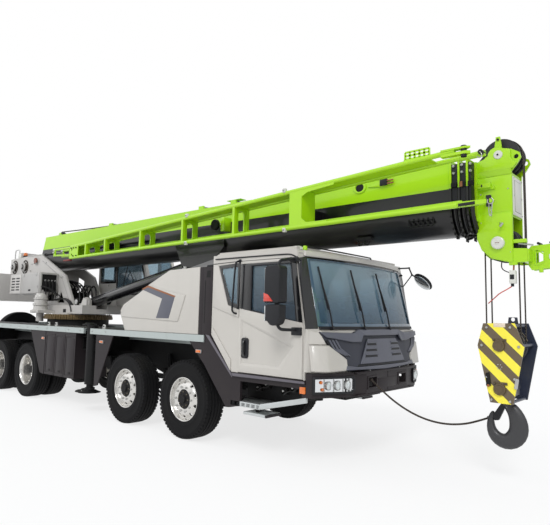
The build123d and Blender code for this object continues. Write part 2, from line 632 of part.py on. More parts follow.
def front_bumper():
    """Steel bumper, bent back at its ends, with two tow openings, carried by two frame horns."""
    plan = [(2170, HALF_WIDTH), (2250, HALF_WIDTH), (2440, 850), (2500, 500), (2500, -500), (2440, -850),
            (2250, -HALF_WIDTH), (2170, -HALF_WIDTH), (2170, -HALF_WIDTH + 40), (2230, -HALF_WIDTH + 40),
            (2390, -830), (2440, -480), (2440, 480), (2390, 830), (2230, HALF_WIDTH - 40), (2170, HALF_WIDTH - 40)]
    made = plan_prism(plan, 810, BUMPER_TOP_Z)
    for side in (-1, 1):
        made -= block(2400, 2560, side * 370 - 95, side * 370 + 95, 890, 1010)
        made += bar_z(TOW_PIN_X, side * 370, TOW_PIN_R, 880, 1020)
        made += block(FRAME_FRONT_X, 2445, side * 560 - 60, side * 560 + 60, 830, 940)
        made += block(FRAME_FRONT_X - 60, FRAME_FRONT_X + 80, side * 500 - 120 + side * 10, side * 500 + 120 + side * 10,
                      830, 940)
    made -= block(FRAME_STEP_X, FRAME_FRONT_X, -FRAME_HALF, FRAME_HALF, *FRAME_LOW_Z)
    # lamp pockets
    for lamp in lamp_blocks(2.0):
        made -= lamp
    return made


def lamp_blocks(clear):
    """Headlamp bodies, one at each end of the bumper, with clear added all round."""
    c = clear
    lamps = []
    for side in (-1, 1):
        plan = [(2300 - c, side * (1200 + c)), (2200 - c, side * (1200 + c)), (2300 - c, side * (780 - c)),
                (2436 + 2 + c, side * (780 - c)), (2420 + c, side * 860), (2268 + c, side * (1200 + c))]
        lamps.append(plan_prism(plan, 850 - c, 1005 + c))
    return lamps


# ================================================================ turntable
def turntable():
    """Base, two cut-out side plates that carry the boom foot and winches, valve box, reducer and cab arm."""
    base = block(-6290, -4340, -TABLE_HALF, TABLE_HALF, *TABLE_Z)
    base += bar_z(SLEW_X, 0, RING_BORE_R - RUN, RING_Z[0] + GAP, TABLE_Z[0] + 10)
    outline = [(-4340, 1700), (-4340, 1990), (-4480, 2020), (-4560, 1900), (-4880, 1880), (-5320, 2512),
               (-6580, 3063), (-7300, 3070), (-8300, 3040), (-8300, 2640), (-7215, 2640), (-6800, 2420),
               (-6290, 1870), (-6290, 1700)]
    plate = side_prism(outline, PLATE_IN, PLATE_IN + PLATE_T)
    plate -= side_prism([(-6060, 2560), (-5760, 2450), (-5800, 1960), (-6140, 1960)], PLATE_IN - 5, 400)
    plate -= side_prism([(-5480, 2180), (-5620, 1920), (-5300, 1920)], PLATE_IN - 5, 400)
    for x, z in WINCH_PINS:
        plate -= bar_y(x, z, WINCH_CAP_R, PLATE_IN - 5, 400)
    made = base + plate + mirrored(plate)
    made += bar_y(FOOT_PIN[0], FOOT_PIN[1], FOOT_PIN_R, -PLATE_IN - 45, PLATE_IN + 45)
    made += block(-8300, -8270, -PLATE_IN - 5, PLATE_IN + 5, 2640, 2900)
    made += block(-6290, -6230, -PLATE_IN - 5, PLATE_IN + 5, 1800, 2200)
    # pocket, lugs and pin of the lift cylinder
    made -= block(-4880, -4330, -130, 130, 1785, TABLE_Z[1] + 1)
    for side in (-1, 1):
        made += side_prism([(-4860, 1850), (-4860, 1960), (-4760, 2040), (-4640, 2040), (-4540, 1960), (-4540, 1850)],
                           side * 150 - 25, side * 150 + 25)
    made += bar_y(LIFT_BASE[0], LIFT_BASE[1], LIFT_PIN_R, -180, 180)
    # valve box on the right side
    made += block(-7185, -5650, -780, -PLATE_IN - PLATE_T + 5, 2110, 2570)
    # swing reducer and its foot on the right
    rx, ry = REDUCER
    made += block(rx - 190, rx + 190, ry - 140, -TABLE_HALF + 5, TABLE_Z[0], TABLE_Z[0] + 60)
    made += bar_z(rx, ry, 78, 1500, TABLE_Z[0] + 10)
    made += bar_z(rx, ry, 130, TABLE_Z[0], 1790)
    made += bar_z(rx, ry, 105, 1790, 2060)
    made += bar_z(rx, ry, 60, 2060, 2180)
    # arm under the operator's cab
    made += block(-5200, -4400, TABLE_HALF - 5, 1150, TABLE_Z[0], OPERATOR_Z[0])
    return made


WINCH_CAP_R = 110.0
OPERATOR_X = (-5350.0, -3420.0)
OPERATOR_Y = (470.0, 1250.0)
OPERATOR_Z = (1760.0, 3200.0)
OPERATOR_WALL = 40.0


def winch(x, z):
    """Winch drum between the side plates, with end caps through them."""
    drum = bar_y(x, z, 135, -PLATE_IN + 20, PLATE_IN - 20)
    for side in (-1, 1):
        drum += bar_y(x, z, 180, side * (PLATE_IN - 30) - 10, side * (PLATE_IN - 30) + 10)
    return drum + bar_y(x, z, WINCH_CAP_R - GAP, -PLATE_IN - PLATE_T - 50, PLATE_IN + PLATE_T + 50)


def counterweight():
    """Slab across the tail, hung under the winch frame."""
    x0, x1 = COUNTERWEIGHT_X
    made = block(x0, x1, -COUNTERWEIGHT_HALF, COUNTERWEIGHT_HALF, *COUNTERWEIGHT_Z)
    return chamfer(made.edges().filter_by(Axis.Z), 60)


OPERATOR_PROFILE = [(-5350, 1760), (-5350, 3200), (-3700, 3200), (-3420, 2500), (-3420, 2000), (-3560, 1760)]


def operator_cab():
    """One-seat cab on the left of the boom, with window openings."""
    y0, y1 = OPERATOR_Y
    t = OPERATOR_WALL
    shell = side_prism(OPERATOR_PROFILE, y0, y1)
    inner = [(-5350 + t, 1760 + t), (-5350 + t, 3200 - t), (-3700 - t, 3200 - t), (-3420 - t, 2500 - 10),
             (-3420 - t, 2000 + 15), (-3560 - t * 0.6, 1760 + t)]
    shell -= side_prism(inner, y0 + t, y1 - t)
    shell -= side_prism(OP_WINDOW_REAR, y0 - 10, y0 + t + 10)
    shell -= side_prism(OP_WINDOW_FRONT, y0 - 10, y0 + t + 10)
    shell -= side_prism(grown(OP_DOOR, -30), y1 - t - 10, y1 + 10)
    shell -= side_prism(OP_WINDOW_FRONT_LEFT, y1 - t - 10, y1 + 10)
    shell -= block(-3760, -3300, y0 + 70, y1 - 70, 2080, 2460)
    shell -= side_prism(screen_strip(-80, 80, 40, 640), y0 + 70, y1 - 70)
    shell -= block(-5400, -5300, y0 + 120, y1 - 120, 2500, 3050)
    for z in (1870, 3070):
        shell += block(-5330, -4055, y1 - 1, OP_DOOR_Y - GAP, z, z + 25)
    seat = block(-4900, -4450, 640, 1080, 2150, 2260) + block(-5000, -4880, 650, 1070, 2150, 2850)
    seat += block(-4800, -4550, 740, 980, 1760 + t, 2160)
    return shell + seat


OP_WINDOW_REAR = [(-5230, 2420), (-5230, 3080), (-4640, 3080), (-4640, 2420)]
OP_WINDOW_FRONT = [(-4540, 2150), (-4540, 3080), (-3760, 3080), (-3530, 2480), (-3530, 2150)]
OP_WINDOW_FRONT_LEFT = [(-4000, 2150), (-4000, 3080), (-3760, 3080), (-3530, 2480), (-3530, 2150)]
OP_DOOR = [(-4880, 1850), (-4880, 3110), (-4060, 3110), (-4060, 1850)]
OP_DOOR_Y = OPERATOR_Y[1] + RUN


def screen_strip(n0, n1, along0, along1):
    """Strip along the operator's sloped screen, between two depths n and two distances from its foot."""
    (ax, az), (bx, bz) = OPERATOR_PROFILE[3], OPERATOR_PROFILE[2]
    length = hypot(bx - ax, bz - az)
    dx, dz = (bx - ax) / length, (bz - az) / length
    return [(ax + dx * t + dz * n, az + dz * t - dx * n)
            for t, n in ((along0, n0), (along1, n0), (along1, n1), (along0, n1))]


def operator_glass():
    """Panes of the operator's cab, seated in its openings."""
    y0, y1 = OPERATOR_Y
    panes = [side_prism(grown(OP_WINDOW_REAR, -GAP), y0 + 10, y0 + 20),
             side_prism(grown(OP_WINDOW_FRONT, -GAP), y0 + 10, y0 + 20),
             side_prism(grown(OP_WINDOW_FRONT_LEFT, -GAP), y1 - 20, y1 - 10),
             block(-3445, -3435, y0 + 70 + GAP, y1 - 70 - GAP, 2080 + GAP, 2460 - GAP)]
    skin = side_prism(screen_strip(-24, -12, 40 + GAP, 640 - GAP), y0 + 70 + GAP, y1 - 70 - GAP)
    return many(*panes, skin)


def operator_door():
    """Sliding door on rails outside the cab's left wall."""
    y = OP_DOOR_Y
    door = side_prism(OP_DOOR, y, y + 30)
    door -= side_prism([(-4800, 2150), (-4800, 3040), (-4140, 3040), (-4140, 2150)], y - 5, y + 40)
    return door


# ================================================================ boom
def boom_profile(shrink, grow=0.0):
    """Closed outline of a boom section in Y and Z: flat top, straight sides, half-round bottom."""
    half = BOOM_HALF - shrink + grow
    top = BOOM_AXIS_TOP - shrink + grow
    mid = BOOM_AXIS_BOTTOM + BOOM_HALF
    lines = Polyline((-half, mid), (-half, top), (half, top), (half, mid))
    arc = ThreePointArc((half, mid), (0, mid - half), (-half, mid))
    return make_face(lines + arc)


def boom_prism(shrink, x0, x1, grow=0.0):
    return Pos(x0, 0, 0) * extrude(Plane.YZ * boom_profile(shrink, grow), x1 - x0)


def section_tube(index):
    """Tube of boom section 0 to 3, with slide pads front inside and rear outside."""
    shrink = SECTION_STEP * index
    x0 = SECTION_REAR_X[index]
    x1 = COLLAR_X[index] + COLLAR_T if index < 3 else HEAD_X
    tube = boom_prism(shrink, x0, x1) - boom_prism(shrink + BOOM_WALL, x0 - 1, x1 + 1)
    if index < 3:
        inside = boom_prism(shrink + BOOM_WALL - 1, x1 - PAD_RING, x1)
        tube += inside - boom_prism(shrink + SECTION_STEP, x1 - PAD_RING - 1, x1 + 1, GAP)
        tube += collar(COLLAR_X[index], shrink)
    if index > 0:
        outside = boom_prism(shrink, x0, x0 + PAD_RING, SECTION_STEP - BOOM_WALL - GAP)
        tube += outside - boom_prism(shrink + BOOM_WALL, x0 - 1, x0 + PAD_RING + 1)
    return tube


def collar(x, shrink):
    """Stiffening ring around the front end of a section, open at the bottom for the hook's ropes."""
    mid = BOOM_AXIS_BOTTOM + BOOM_HALF
    lines = Polyline((-COLLAR_HALF, mid), (-COLLAR_HALF, COLLAR_TOP), (COLLAR_HALF, COLLAR_TOP), (COLLAR_HALF, mid))
    arc = ThreePointArc((COLLAR_HALF, mid), (0, COLLAR_BOTTOM), (-COLLAR_HALF, mid))
    ring = Pos(x, 0, 0) * extrude(Plane.YZ * make_face(lines + arc), COLLAR_T)
    ring -= boom_prism(shrink + 2, x - 1, x + COLLAR_T + 1)
    return ring - block(x - 1, x + COLLAR_T + 1, -COLLAR_NOTCH, COLLAR_NOTCH, COLLAR_BOTTOM - 50, mid - 200)


SADDLE = [(-1480, 2912), (-1277, 2543), (-1043, 2501), (-449, 2613), (-233, 2800), (-233, 2912)]
CHEEK = [(-1480, 2760), (-1490, 2580), (-1450, 2490), (-1360, 2470), (-1150, 2520), (-1150, 2760)]
CHEEK_Y = (95.0, 125.0)


def boom_base():
    """Basic boom section with the foot tube, the lift cylinder's saddle and its service brackets."""
    tube = section_tube(0)
    tube -= side_prism([(BOOM_REAR_X - 100, 3600), (-6430, 3600), (-6480, 3480), (-6640, 3070), (-6900, 3070),
                        (BOOM_REAR_X - 1, 3000), (BOOM_REAR_X - 100, 3000)], -400, 400)
    saddle = side_prism(SADDLE, -BOOM_HALF - 8, BOOM_HALF + 8)
    saddle -= side_prism([(-1500, 2400), (-1500, 2660), (-1100, 2660), (-1100, 2400)], -CHEEK_Y[0], CHEEK_Y[0])
    cheek = side_prism(CHEEK, *CHEEK_Y)
    tube += saddle + cheek + mirrored(cheek)
    head = bar_y(*LIFT_EYE, LIFT_PIN_R, CHEEK_Y[1] - 5, CHEEK_Y[1] + 20)
    tube += head + mirrored(head)
    tube -= boom_prism(BOOM_WALL, -1700, 0)
    tube += bar_y(*FOOT_PIN, 130, -BOOM_HALF + 2, BOOM_HALF - 2)
    tube -= bar_y(*FOOT_PIN, FOOT_PIN_R + GAP, -400, 400)
    for x, height in BOOM_TOP_BRACKETS:
        tube += block(x - 60, x + 60, -BOOM_HALF + 30, -BOOM_HALF + 60, BOOM_AXIS_TOP - 2, BOOM_AXIS_TOP + height)
        tube += block(x - 60, x + 60, BOOM_HALF - 60, BOOM_HALF - 30, BOOM_AXIS_TOP - 2, BOOM_AXIS_TOP + height)
    return tube + jib_mounts()


BOOM_TOP_BRACKETS = ((-3690.0, 60.0), (-870.0, 60.0), (-90.0, 60.0))
JIB_HANGERS = (-3300.0, 1660.0)
JIB_Y = (-840.0, -580.0)
JIB_X = (-4200.0, 3700.0)
JIB_CHORD = 28.0
JIB_FRAMES = (-4170.0, -3600.0, -2900.0, -1770.0, -630.0, 520.0)
JIB_BOX = (1560.0, 1760.0)
JIB_FAR_LIFT = 80.0


def jib_top(x):
    """Height of the jib's upper chords at station x."""
    return 3006 + (x + 4500) * 0.052


def jib_low(x):
    """Height of the jib's outer lower chord at station x."""
    return 2800 + (x + 4500) * 0.008


def jib_mounts():
    """Brackets on the boom's right side that carry the stowed jib."""
    made = None
    for x in JIB_HANGERS:
        low = jib_low(x) + 120
        arm = block(x - 45, x + 45, JIB_Y[1] + JIB_CHORD + 2, -BOOM_HALF + 8, low, low + 150)
        made = arm if made is None else made + arm
    return made


def tube_between(a, b, r):
    """Round tube from point a to point b."""
    ax, ay, az = a
    bx, by, bz = b
    direction = Vector(bx - ax, by - ay, bz - az)
    plane = Plane(origin=a, z_dir=direction)
    return extrude(plane * Circle(r), direction.length)


def jib_frame(x):
    """Cross plate with an oval hole, and its two posts, at station x of the jib."""
    low, top = jib_low(x), jib_top(x)
    near, far = JIB_Y
    y = (near + far) / 2
    r = min(60, (top - low) / 2 - 55)
    made = cross_prism([(near, low), (far, low + JIB_FAR_LIFT), (far, top), (near, top)], x - 10, x + 10)
    made -= bar_x(y, low + 50 + r, r, x - 20, x + 20)
    made -= bar_x(y, top - 50 - r, r, x - 20, x + 20)
    made -= block(x - 20, x + 20, y - r, y + r, low + 50 + r, top - 50 - r)
    made += block(x - 22, x + 22, near - 22, near + 30, low, top)
    return made + block(x - 22, x + 22, far - 30, far + 22, low + JIB_FAR_LIFT, top)


def stowed_jib():
    """Jib stowed along the right side of the boom: four chords, a top sheet and cross frames."""
    x0, x1 = JIB_X
    near, far = JIB_Y
    parts = [jib_frame(x) for x in JIB_FRAMES]
    for y, level, lift, end in ((near, jib_low, 0, x1 + 60), (near, jib_top, 0, x1 + 40),
                                (far, jib_low, JIB_FAR_LIFT, x1), (far, jib_top, 0, x1 + 240)):
        parts.append(tube_between((x0, y, level(x0) + lift), (end, y, level(end) + lift), JIB_CHORD))
    sheet_x = 3450.0
    parts.append(side_prism([(x0, jib_top(x0) - 8), (sheet_x, jib_top(sheet_x) - 8), (sheet_x, jib_top(sheet_x) + 4),
                             (x0, jib_top(x0) + 4)], near, far))
    # box frame with its gussets, and the plates of the rear end
    b0, b1 = JIB_BOX
    low, top = jib_low(b1), jib_top(b1)
    parts.append(side_prism([(b0, low), (2150, low), (2150, low + 36), (b1 + 70, low + 45), (b1, low + 100),
                             (b1, top - 100), (b1 + 90, top - 55), (2250, top - 20), (2250, top + 10), (b0, top)],
                            near - 24, near - 8))
    for x in (b0, b1 - 14):
        parts.append(cross_prism([(near - 10, low), (far, low + JIB_FAR_LIFT), (far, top), (near - 10, top)], x, x + 14))
    rear = side_prism([(x0 - 10, jib_low(x0) - 20), (-3880, jib_low(x0) - 20), (-3880, jib_top(x0) + 10),
                       (x0 - 10, jib_top(x0) + 10)], near - 24, near - 8)
    rear -= bar_y(-4120, 2960, 25, near - 40, near) + bar_y(-4120, 2860, 25, near - 40, near)
    parts.append(rear)
    # lugs at the front ends of the chords
    z = jib_low(4000)
    parts.append(side_prism([(3690, z - 27), (4090, z - 22), (4125, z), (4090, z + 22), (3690, z + 27)],
                            near - 22, near + 22))
    parts.append(bar_z(4068, near, 14, z - 45, z + 45))
    z = jib_top(3700)
    parts.append(plan_prism([(3600, near - 32), (3860, near - 32), (3900, near), (3860, near + 32), (3600, near + 32)],
                            z + 8, z + 28))
    parts.append(plan_prism([(3600, near - 32), (3860, near - 32), (3900, near), (3860, near + 32), (3600, near + 32)],
                            z - 50, z - 20))
    parts.append(bar_z(3832, near, 18, z - 60, z + 30))
    # tip with its sheave at the rear end
    for y in ((near + far) / 2 - 40, (near + far) / 2 + 10):
        parts.append(block(x0 - 260, x0 + 60, y, y + 30, jib_low(x0) + 20, jib_top(x0) - 10))
    y = (near + far) / 2
    parts.append(bar_y(x0 - 190, 2915, 85, y - 8, y + 8))
    parts.append(bar_y(x0 - 190, 2915, 25, y - 50, y + 50))
    for x in JIB_HANGERS:
        parts.append(block(x - 40, x + 40, far - 20, far + JIB_CHORD + 2 - GAP, jib_low(x) + JIB_FAR_LIFT, jib_top(x)))
    return parts[0].fuse(*parts[1:])


HEAD_OUTLINE = [(3712, 2600), (3758, 2480), (3858, 2380), (4067, 2326), (4226, 2330), (4226, 2470), (4085, 2480),
                (4090, 3320), (4153, 3398), (4190, 3456), (4175, 3510), (4093, 3562), (3995, 3590), (3978, 3724),
                (3935, 3724), (3918, 3609), (3880, 3590), (3809, 3495), (3712, 3467)]
HEAD_LUG = (4140.0, 3471.0)
HEAD_LUG_R = 25.0
HEAD_HOLE = (3931.0, 3097.0)
HEAD_HOLE_R = 40.0
SHEAVE_PIN_R = 45.0


def boom_head():
    """Head on the last section: bulkhead, side plates, sheave pins, front cover and the nose."""
    made = block(HEAD_X - 3, HEAD_X + 22, -235, 235, 2800, 3467)
    plate = side_prism(HEAD_OUTLINE, HEAD_HALF - HEAD_PLATE, HEAD_HALF)
    plate -= bar_y(*HEAD_HOLE, HEAD_HOLE_R, HEAD_HALF - 50, HEAD_HALF + 10)
    plate -= bar_y(*HEAD_LUG, HEAD_LUG_R, HEAD_HALF - 50, HEAD_HALF + 10)
    made += plate + mirrored(plate)
    made += block(4060, 4080, -HEAD_HALF + 5, HEAD_HALF - 5, 2830, 3310)
    made += block(HEAD_X + 10, 4070, -HEAD_HALF + 5, HEAD_HALF - 5, 3230, 3250)
    made += bar_y(*TOP_SHEAVE, SHEAVE_PIN_R, -HEAD_HALF - 25, HEAD_HALF + 25)
    made += bar_y(*LOW_SHEAVE, SHEAVE_PIN_R, -HEAD_HALF - 25, HEAD_HALF + 25)
    made += bar_y(3847, 3028, 30, -HEAD_HALF - 25, -HEAD_HALF + 2) + bar_y(3847, 3028, 30, HEAD_HALF - 2, HEAD_HALF + 25)
    made += block(3707, 3915, -HEAD_HALF - 20, -HEAD_HALF + 2, 3145, 3175)
    # nose, two plates on a cross block
    made += block(4150, 4240, -HEAD_HALF + 5, HEAD_HALF - 5, 2335, 2465)
    nose = side_prism([(4200, 2300), (4230, 2250), (NOSE_X - 90, 2290), (NOSE_X - 20, 2350), (NOSE_X, 2420),
                       (NOSE_X - 30, 2500), (NOSE_X - 110, 2530), (4230, 2507), (4200, 2470)], 38, 58)
    nose -= side_prism([(4275, 2320), (4345, 2345), (4345, 2440), (4275, 2460)], 30, 70)
    made += nose + mirrored(nose)
    made += bar_y(*NOSE_SHEAVE, 30, -75, 75)
    return made


def sheave(x, y, z, r, bore):
    """Rope sheave with a groove, on the Y axis."""
    half = SHEAVE_W / 2
    low = r - GROOVE_DEPTH
    face = make_face(Polyline((bore, -half), (r, -half), (r, -half + 5), (low, -7), (low, 7), (r, half - 5),
                              (r, half), (bore, half), close=True))
    return Pos(x, y, z) * revolve(Plane.XY * face, Axis.Y)


def head_sheaves():
    """Sheaves of the head and of the nose, on their pins."""
    bore = SHEAVE_PIN_R + GAP
    top = [sheave(TOP_SHEAVE[0], y, TOP_SHEAVE[1], TOP_SHEAVE_R, bore) for y in (-SHEAVE_PITCH, 0, SHEAVE_PITCH)]
    low = [sheave(LOW_SHEAVE[0], y, LOW_SHEAVE[1], LOW_SHEAVE_R, bore) for y in (-SHEAVE_PITCH, 0, SHEAVE_PITCH)]
    nose = sheave(NOSE_SHEAVE[0], 0, NOSE_SHEAVE[1], NOSE_SHEAVE_R, 30 + GAP)
    return many(*top, *low, nose)


# ================================================================ lift cylinder
def along_lift(shape):
    """Places a shape drawn along +X from the base pin onto the cylinder's line."""
    return Pos(LIFT_BASE[0], 0, LIFT_BASE[1]) * Rot(0, -LIFT_ANGLE, 0) * shape


BARREL_END = LIFT_LENGTH - 150.0
ROD_TAIL = 142.0


def lift_barrel():
    """Cylinder barrel with its eye at the base pin."""
    made = bar_x(0, 0, LIFT_BARREL_R, 60, BARREL_END) + bar_y(0, 0, LIFT_EYE_R, -120, 120)
    made -= bar_x(0, 0, LIFT_BARREL_R - LIFT_WALL, 130, BARREL_END - 60)
    made -= bar_x(0, 0, LIFT_ROD_R + GAP, 130, BARREL_END + 1)
    made -= bar_y(0, 0, LIFT_PIN_R + GAP, -200, 200)
    return along_lift(made)


def lift_rod():
    """Rod with a piston, and its eye on the boom's pin."""
    made = bar_x(0, 0, LIFT_ROD_R, ROD_TAIL, LIFT_LENGTH)
    made += bar_y(LIFT_LENGTH, 0, LIFT_EYE_R, -90, 90)
    return along_lift(made)


# ================================================================ hook
ROPE_OFFSET = LOW_SHEAVE_R - GROOVE_DEPTH + ROPE_R + GAP


def hoist_ropes():
    """Rope parts between the head's lower sheaves and the block."""
    ropes = [bar_z(BLOCK_X + side * ROPE_OFFSET, y, ROPE_R, BLOCK_SHEAVE_Z, LOW_SHEAVE[1])
             for side in (-1, 1) for y in (-SHEAVE_PITCH, SHEAVE_PITCH)]
    return many(*ropes)


BLOCK_OUTLINE = [(-158, 1683), (161, 1690), (248, 1447), (129, 862), (-100, 862), (-221, 1448)]
BECKET = (0.0, 1730.0)
BECKET_R = 22.0


def hook_block():
    """Two cheek plates with spacers, the sheave pin and the crosshead for the hook."""
    outline = [(BLOCK_X + x, z) for x, z in BLOCK_OUTLINE]
    cheek = side_prism(outline, BLOCK_HALF - BLOCK_PLATE, BLOCK_HALF)
    made = cheek + mirrored(cheek)
    made += bar_y(BLOCK_X, BLOCK_SHEAVE_Z, SHEAVE_PIN_R, -BLOCK_HALF - 15, BLOCK_HALF + 15)
    made += bar_y(BLOCK_X, BLOCK_PIN_Z, 60, -BLOCK_HALF - 12, BLOCK_HALF + 12)
    made += block(BLOCK_X - 85, BLOCK_X + 85, -120, 120, 925, 1070)
    made += bar_y(BLOCK_X - 80, 1661, 16, -BLOCK_HALF + 2, BLOCK_HALF - 2)
    made += bar_y(BLOCK_X + 80, 1661, 16, -BLOCK_HALF + 2, BLOCK_HALF - 2)
    lug = side_prism([(BLOCK_X - 60, 1650), (BLOCK_X - 45, 1755), (BLOCK_X + 45, 1755), (BLOCK_X + 60, 1650)],
                     BLOCK_HALF - BLOCK_PLATE, BLOCK_HALF)
    made += lug
    made -= bar_y(BLOCK_X + BECKET[0], BECKET[1], BECKET_R, BLOCK_HALF - 40, BLOCK_HALF + 10)
    made -= bar_z(BLOCK_X, 0, HOOK_SHANK_R + GAP, 900, 1075)
    return made


HOOK_SHANK_R = 45.0


def block_sheaves():
    bore = SHEAVE_PIN_R + GAP
    return many(*[sheave(BLOCK_X, y, BLOCK_SHEAVE_Z, LOW_SHEAVE_R, bore)
                  for y in (-SHEAVE_PITCH, 0, SHEAVE_PITCH)])


def lifting_hook():
    """Single hook on a round shank, held by a nut above the crosshead."""
    x, z = BLOCK_X, HOOK_Z
    face = Pos(x, z) * Circle(HOOK_R) - Pos(x - 38, z + 12) * Circle(72)
    face -= make_face(Polyline((x - 38, z + 20), (x - 108, z + 70), (x - 150, z + 145), (x - 190, z + 210),
                               (x - 40, z + 240), (x - 20, z + 170), (x + 5, z + 80), close=True))
    face += Pos(x - 10, z + 190) * Rectangle(110, 150)
    made = Pos(0, 50, 0) * extrude(Plane.XZ * face, 100)
    made += bar_z(x, 0, HOOK_SHANK_R, z + 200, 1085)
    made += bar_z(x, 0, 75, 1078, 1120) + bar_z(x, 0, 70, z + 180, 905)
    return made


# ================================================================ tie-down rope and spare wheel
TIE_START = (TOW_PIN_X + TOW_PIN_R + TIE_KNOT_R + GAP, -370.0, 975.0)     # inside the right tow opening
TIE_END = (3718.0, 45.0, 650.0)         # knot beside the hook
TIE_SAG = 250.0
TIE_RUNS = 8
TIE_R = 11.0


def tie_points():
    """Corner points of the rope, a shallow curve between its two ends."""
    (ax, ay, az), (bx, by, bz) = TIE_START, TIE_END
    points = []
    for k in range(TIE_RUNS + 1):
        t = k / TIE_RUNS
        points.append((ax + (bx - ax) * t, ay + (by - ay) * t, az + (bz - az) * t - 4 * TIE_SAG * t * (1 - t)))
    return points


def cord_tube(points, r):
    """Round cord through points, each corner an arc as large as its two runs allow."""
    corners = [Vector(*p) for p in points]
    radii = []
    for before, here, after in zip(corners, corners[1:], corners[2:]):
        run = min((here - before).length, (after - here).length)
        turn = radians((here - before).get_angle(after - here))
        radii.append(0.45 * run / tan(turn / 2))
    print("cord radii", [round(radius) for radius in radii])
    path = FilletPolyline(*corners, radius=radii)
    section = Plane(origin=path @ 0, z_dir=path % 0) * Circle(r)
    cord = sweep(section, path=path)
    print("cord volume over section times length", round(cord.volume / (pi * r * r * path.length), 4))
    return cord


def tie_down_rope():
    """Rope from the right tow opening to a knot beside the hook."""
    knots = Pos(*TIE_START) * Sphere(TIE_KNOT_R) + Pos(*TIE_END) * Sphere(TIE_KNOT_R)
    return cord_tube(tie_points(), TIE_R) + knots


def spare_wheel():
    """Spare wheel standing across the tail of the frame, on a carrier stub."""
    made = many(tyre(0), rim(0, 62, 60 + GAP, (20, 90)))
    return Pos(SPARE_X, 0, SPARE_Z) * Rot(0, 0, 90) * made


SPARE_X = TAIL_X + TYRE_W / 2
SPARE_Z = 1150.0


# ================================================================ nodes
def build():
    """Makes every node of the machine."""
    node("carrier_frame", carrier_frame())
    node("slewing_ring", slewing_ring())
    node("deck", deck())
    node("side_boxes", side_boxes())
    node("side_panels", side_panels())
    node("engine_hood", engine_hood())
    node("engine_block", engine())
    node("spare_wheel", spare_wheel())
    node("outrigger_boxes", many(*[outrigger_box(name) for name in OUTRIGGER_X]))
    for name in OUTRIGGER_X:
        for side, label in ((-1, "right"), (1, "left")):
            node(f"{name}_{label}_outrigger_beam", outrigger_beam(name, side))
            node(f"{name}_{label}_jack", jack_leg(name, side))
    node("axles", many(*[front_axle(x) for x in AXLE_X[:2]], *[drive_axle(x) for x in AXLE_X[2:]]))
    for number, x in enumerate(AXLE_X, start=1):
        wheel = front_wheel(x) if number <= 2 else twin_wheel(x)
        node(f"axle_{number}_left_wheel", wheel)
        node(f"axle_{number}_right_wheel", turned(wheel, x))
        if number <= 2:
            node(f"axle_{number}_left_knuckle", knuckle(x))
            node(f"axle_{number}_right_knuckle", turned(knuckle(x), x))
    node("driver_cab", driver_cab())
    node("cab_windows", cab_glass())
    node("cab_interior", many(cab_seats(), dashboard()))
    node("front_grille", front_grille())
    node("front_bumper", front_bumper())
    node("tie_down_rope", tie_down_rope())
    for side, label in ((-1, "right"), (1, "left")):
        node(f"{label}_door", cab_door(side))
        node(f"{label}_door_window", door_glass(side))
    node("right_mirror", door_mirror())
    node("kerb_mirror", kerb_mirror())
    node("turntable", turntable())
    node("main_winch", winch(*WINCH_PINS[0]))
    node("auxiliary_winch", winch(*WINCH_PINS[1]))
    node("counterweight", counterweight())
    node("operator_cab", operator_cab())
    node("operator_cab_windows", operator_glass())
    node("operator_door", operator_door())
    node("boom_base", boom_base())
    node("stowed_jib", stowed_jib())
    node("boom_section_2", section_tube(1))
    node("boom_section_3", section_tube(2))
    node("boom_section_4", section_tube(3) + boom_head())
    node("head_sheaves", head_sheaves())
    node("lift_barrel", lift_barrel())
    node("lift_rod", lift_rod())
    node("hoist_ropes", hoist_ropes())
    node("hook_block", many(hook_block(), block_sheaves()))
    node("lifting_hook", lifting_hook())


def main():
    build()
    os.makedirs("parts", exist_ok=True)
    for name, shape in NODES.items():
        export_step(Pos(-ORIGIN_X, 0, 0) * shape, f"parts/{name}.step")


main()
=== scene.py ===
"""Looks of the four-axle truck crane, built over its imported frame.

Sizes are in metres. Stations run forwards from the front axle, and each finished piece is shifted
from stations into the frame's own coordinates.
"""

import json
import logging
import math
from dataclasses import dataclass, replace
from enum import Enum
from typing import Callable, Iterable, Optional, Sequence

import bmesh
import bpy
from mathutils import Matrix, Vector

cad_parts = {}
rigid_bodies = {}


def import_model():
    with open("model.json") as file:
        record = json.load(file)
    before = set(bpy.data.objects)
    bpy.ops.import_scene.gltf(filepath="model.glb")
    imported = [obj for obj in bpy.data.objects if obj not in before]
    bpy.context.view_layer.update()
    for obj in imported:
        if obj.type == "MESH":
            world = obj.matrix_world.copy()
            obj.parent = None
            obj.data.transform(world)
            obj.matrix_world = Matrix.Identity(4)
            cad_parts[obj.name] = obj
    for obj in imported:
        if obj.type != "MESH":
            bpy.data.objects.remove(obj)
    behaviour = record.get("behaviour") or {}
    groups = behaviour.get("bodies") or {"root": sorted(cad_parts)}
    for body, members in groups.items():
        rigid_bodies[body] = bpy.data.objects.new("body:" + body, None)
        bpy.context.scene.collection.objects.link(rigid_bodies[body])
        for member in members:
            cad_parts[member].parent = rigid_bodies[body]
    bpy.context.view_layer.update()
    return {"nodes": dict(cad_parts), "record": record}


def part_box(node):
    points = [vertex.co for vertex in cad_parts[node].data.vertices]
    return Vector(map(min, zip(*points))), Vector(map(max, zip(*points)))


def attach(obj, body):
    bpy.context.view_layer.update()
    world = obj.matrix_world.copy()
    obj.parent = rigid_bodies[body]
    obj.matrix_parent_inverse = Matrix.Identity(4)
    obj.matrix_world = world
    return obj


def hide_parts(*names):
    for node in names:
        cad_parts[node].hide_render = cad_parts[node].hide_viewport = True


log = logging.getLogger("truck_crane")
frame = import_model()
FRONT_AXLE = sum(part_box("axle_1_right_wheel"), Vector()).x / 2
CARRIER = "carrier"
Colour = tuple[float, float, float, float]
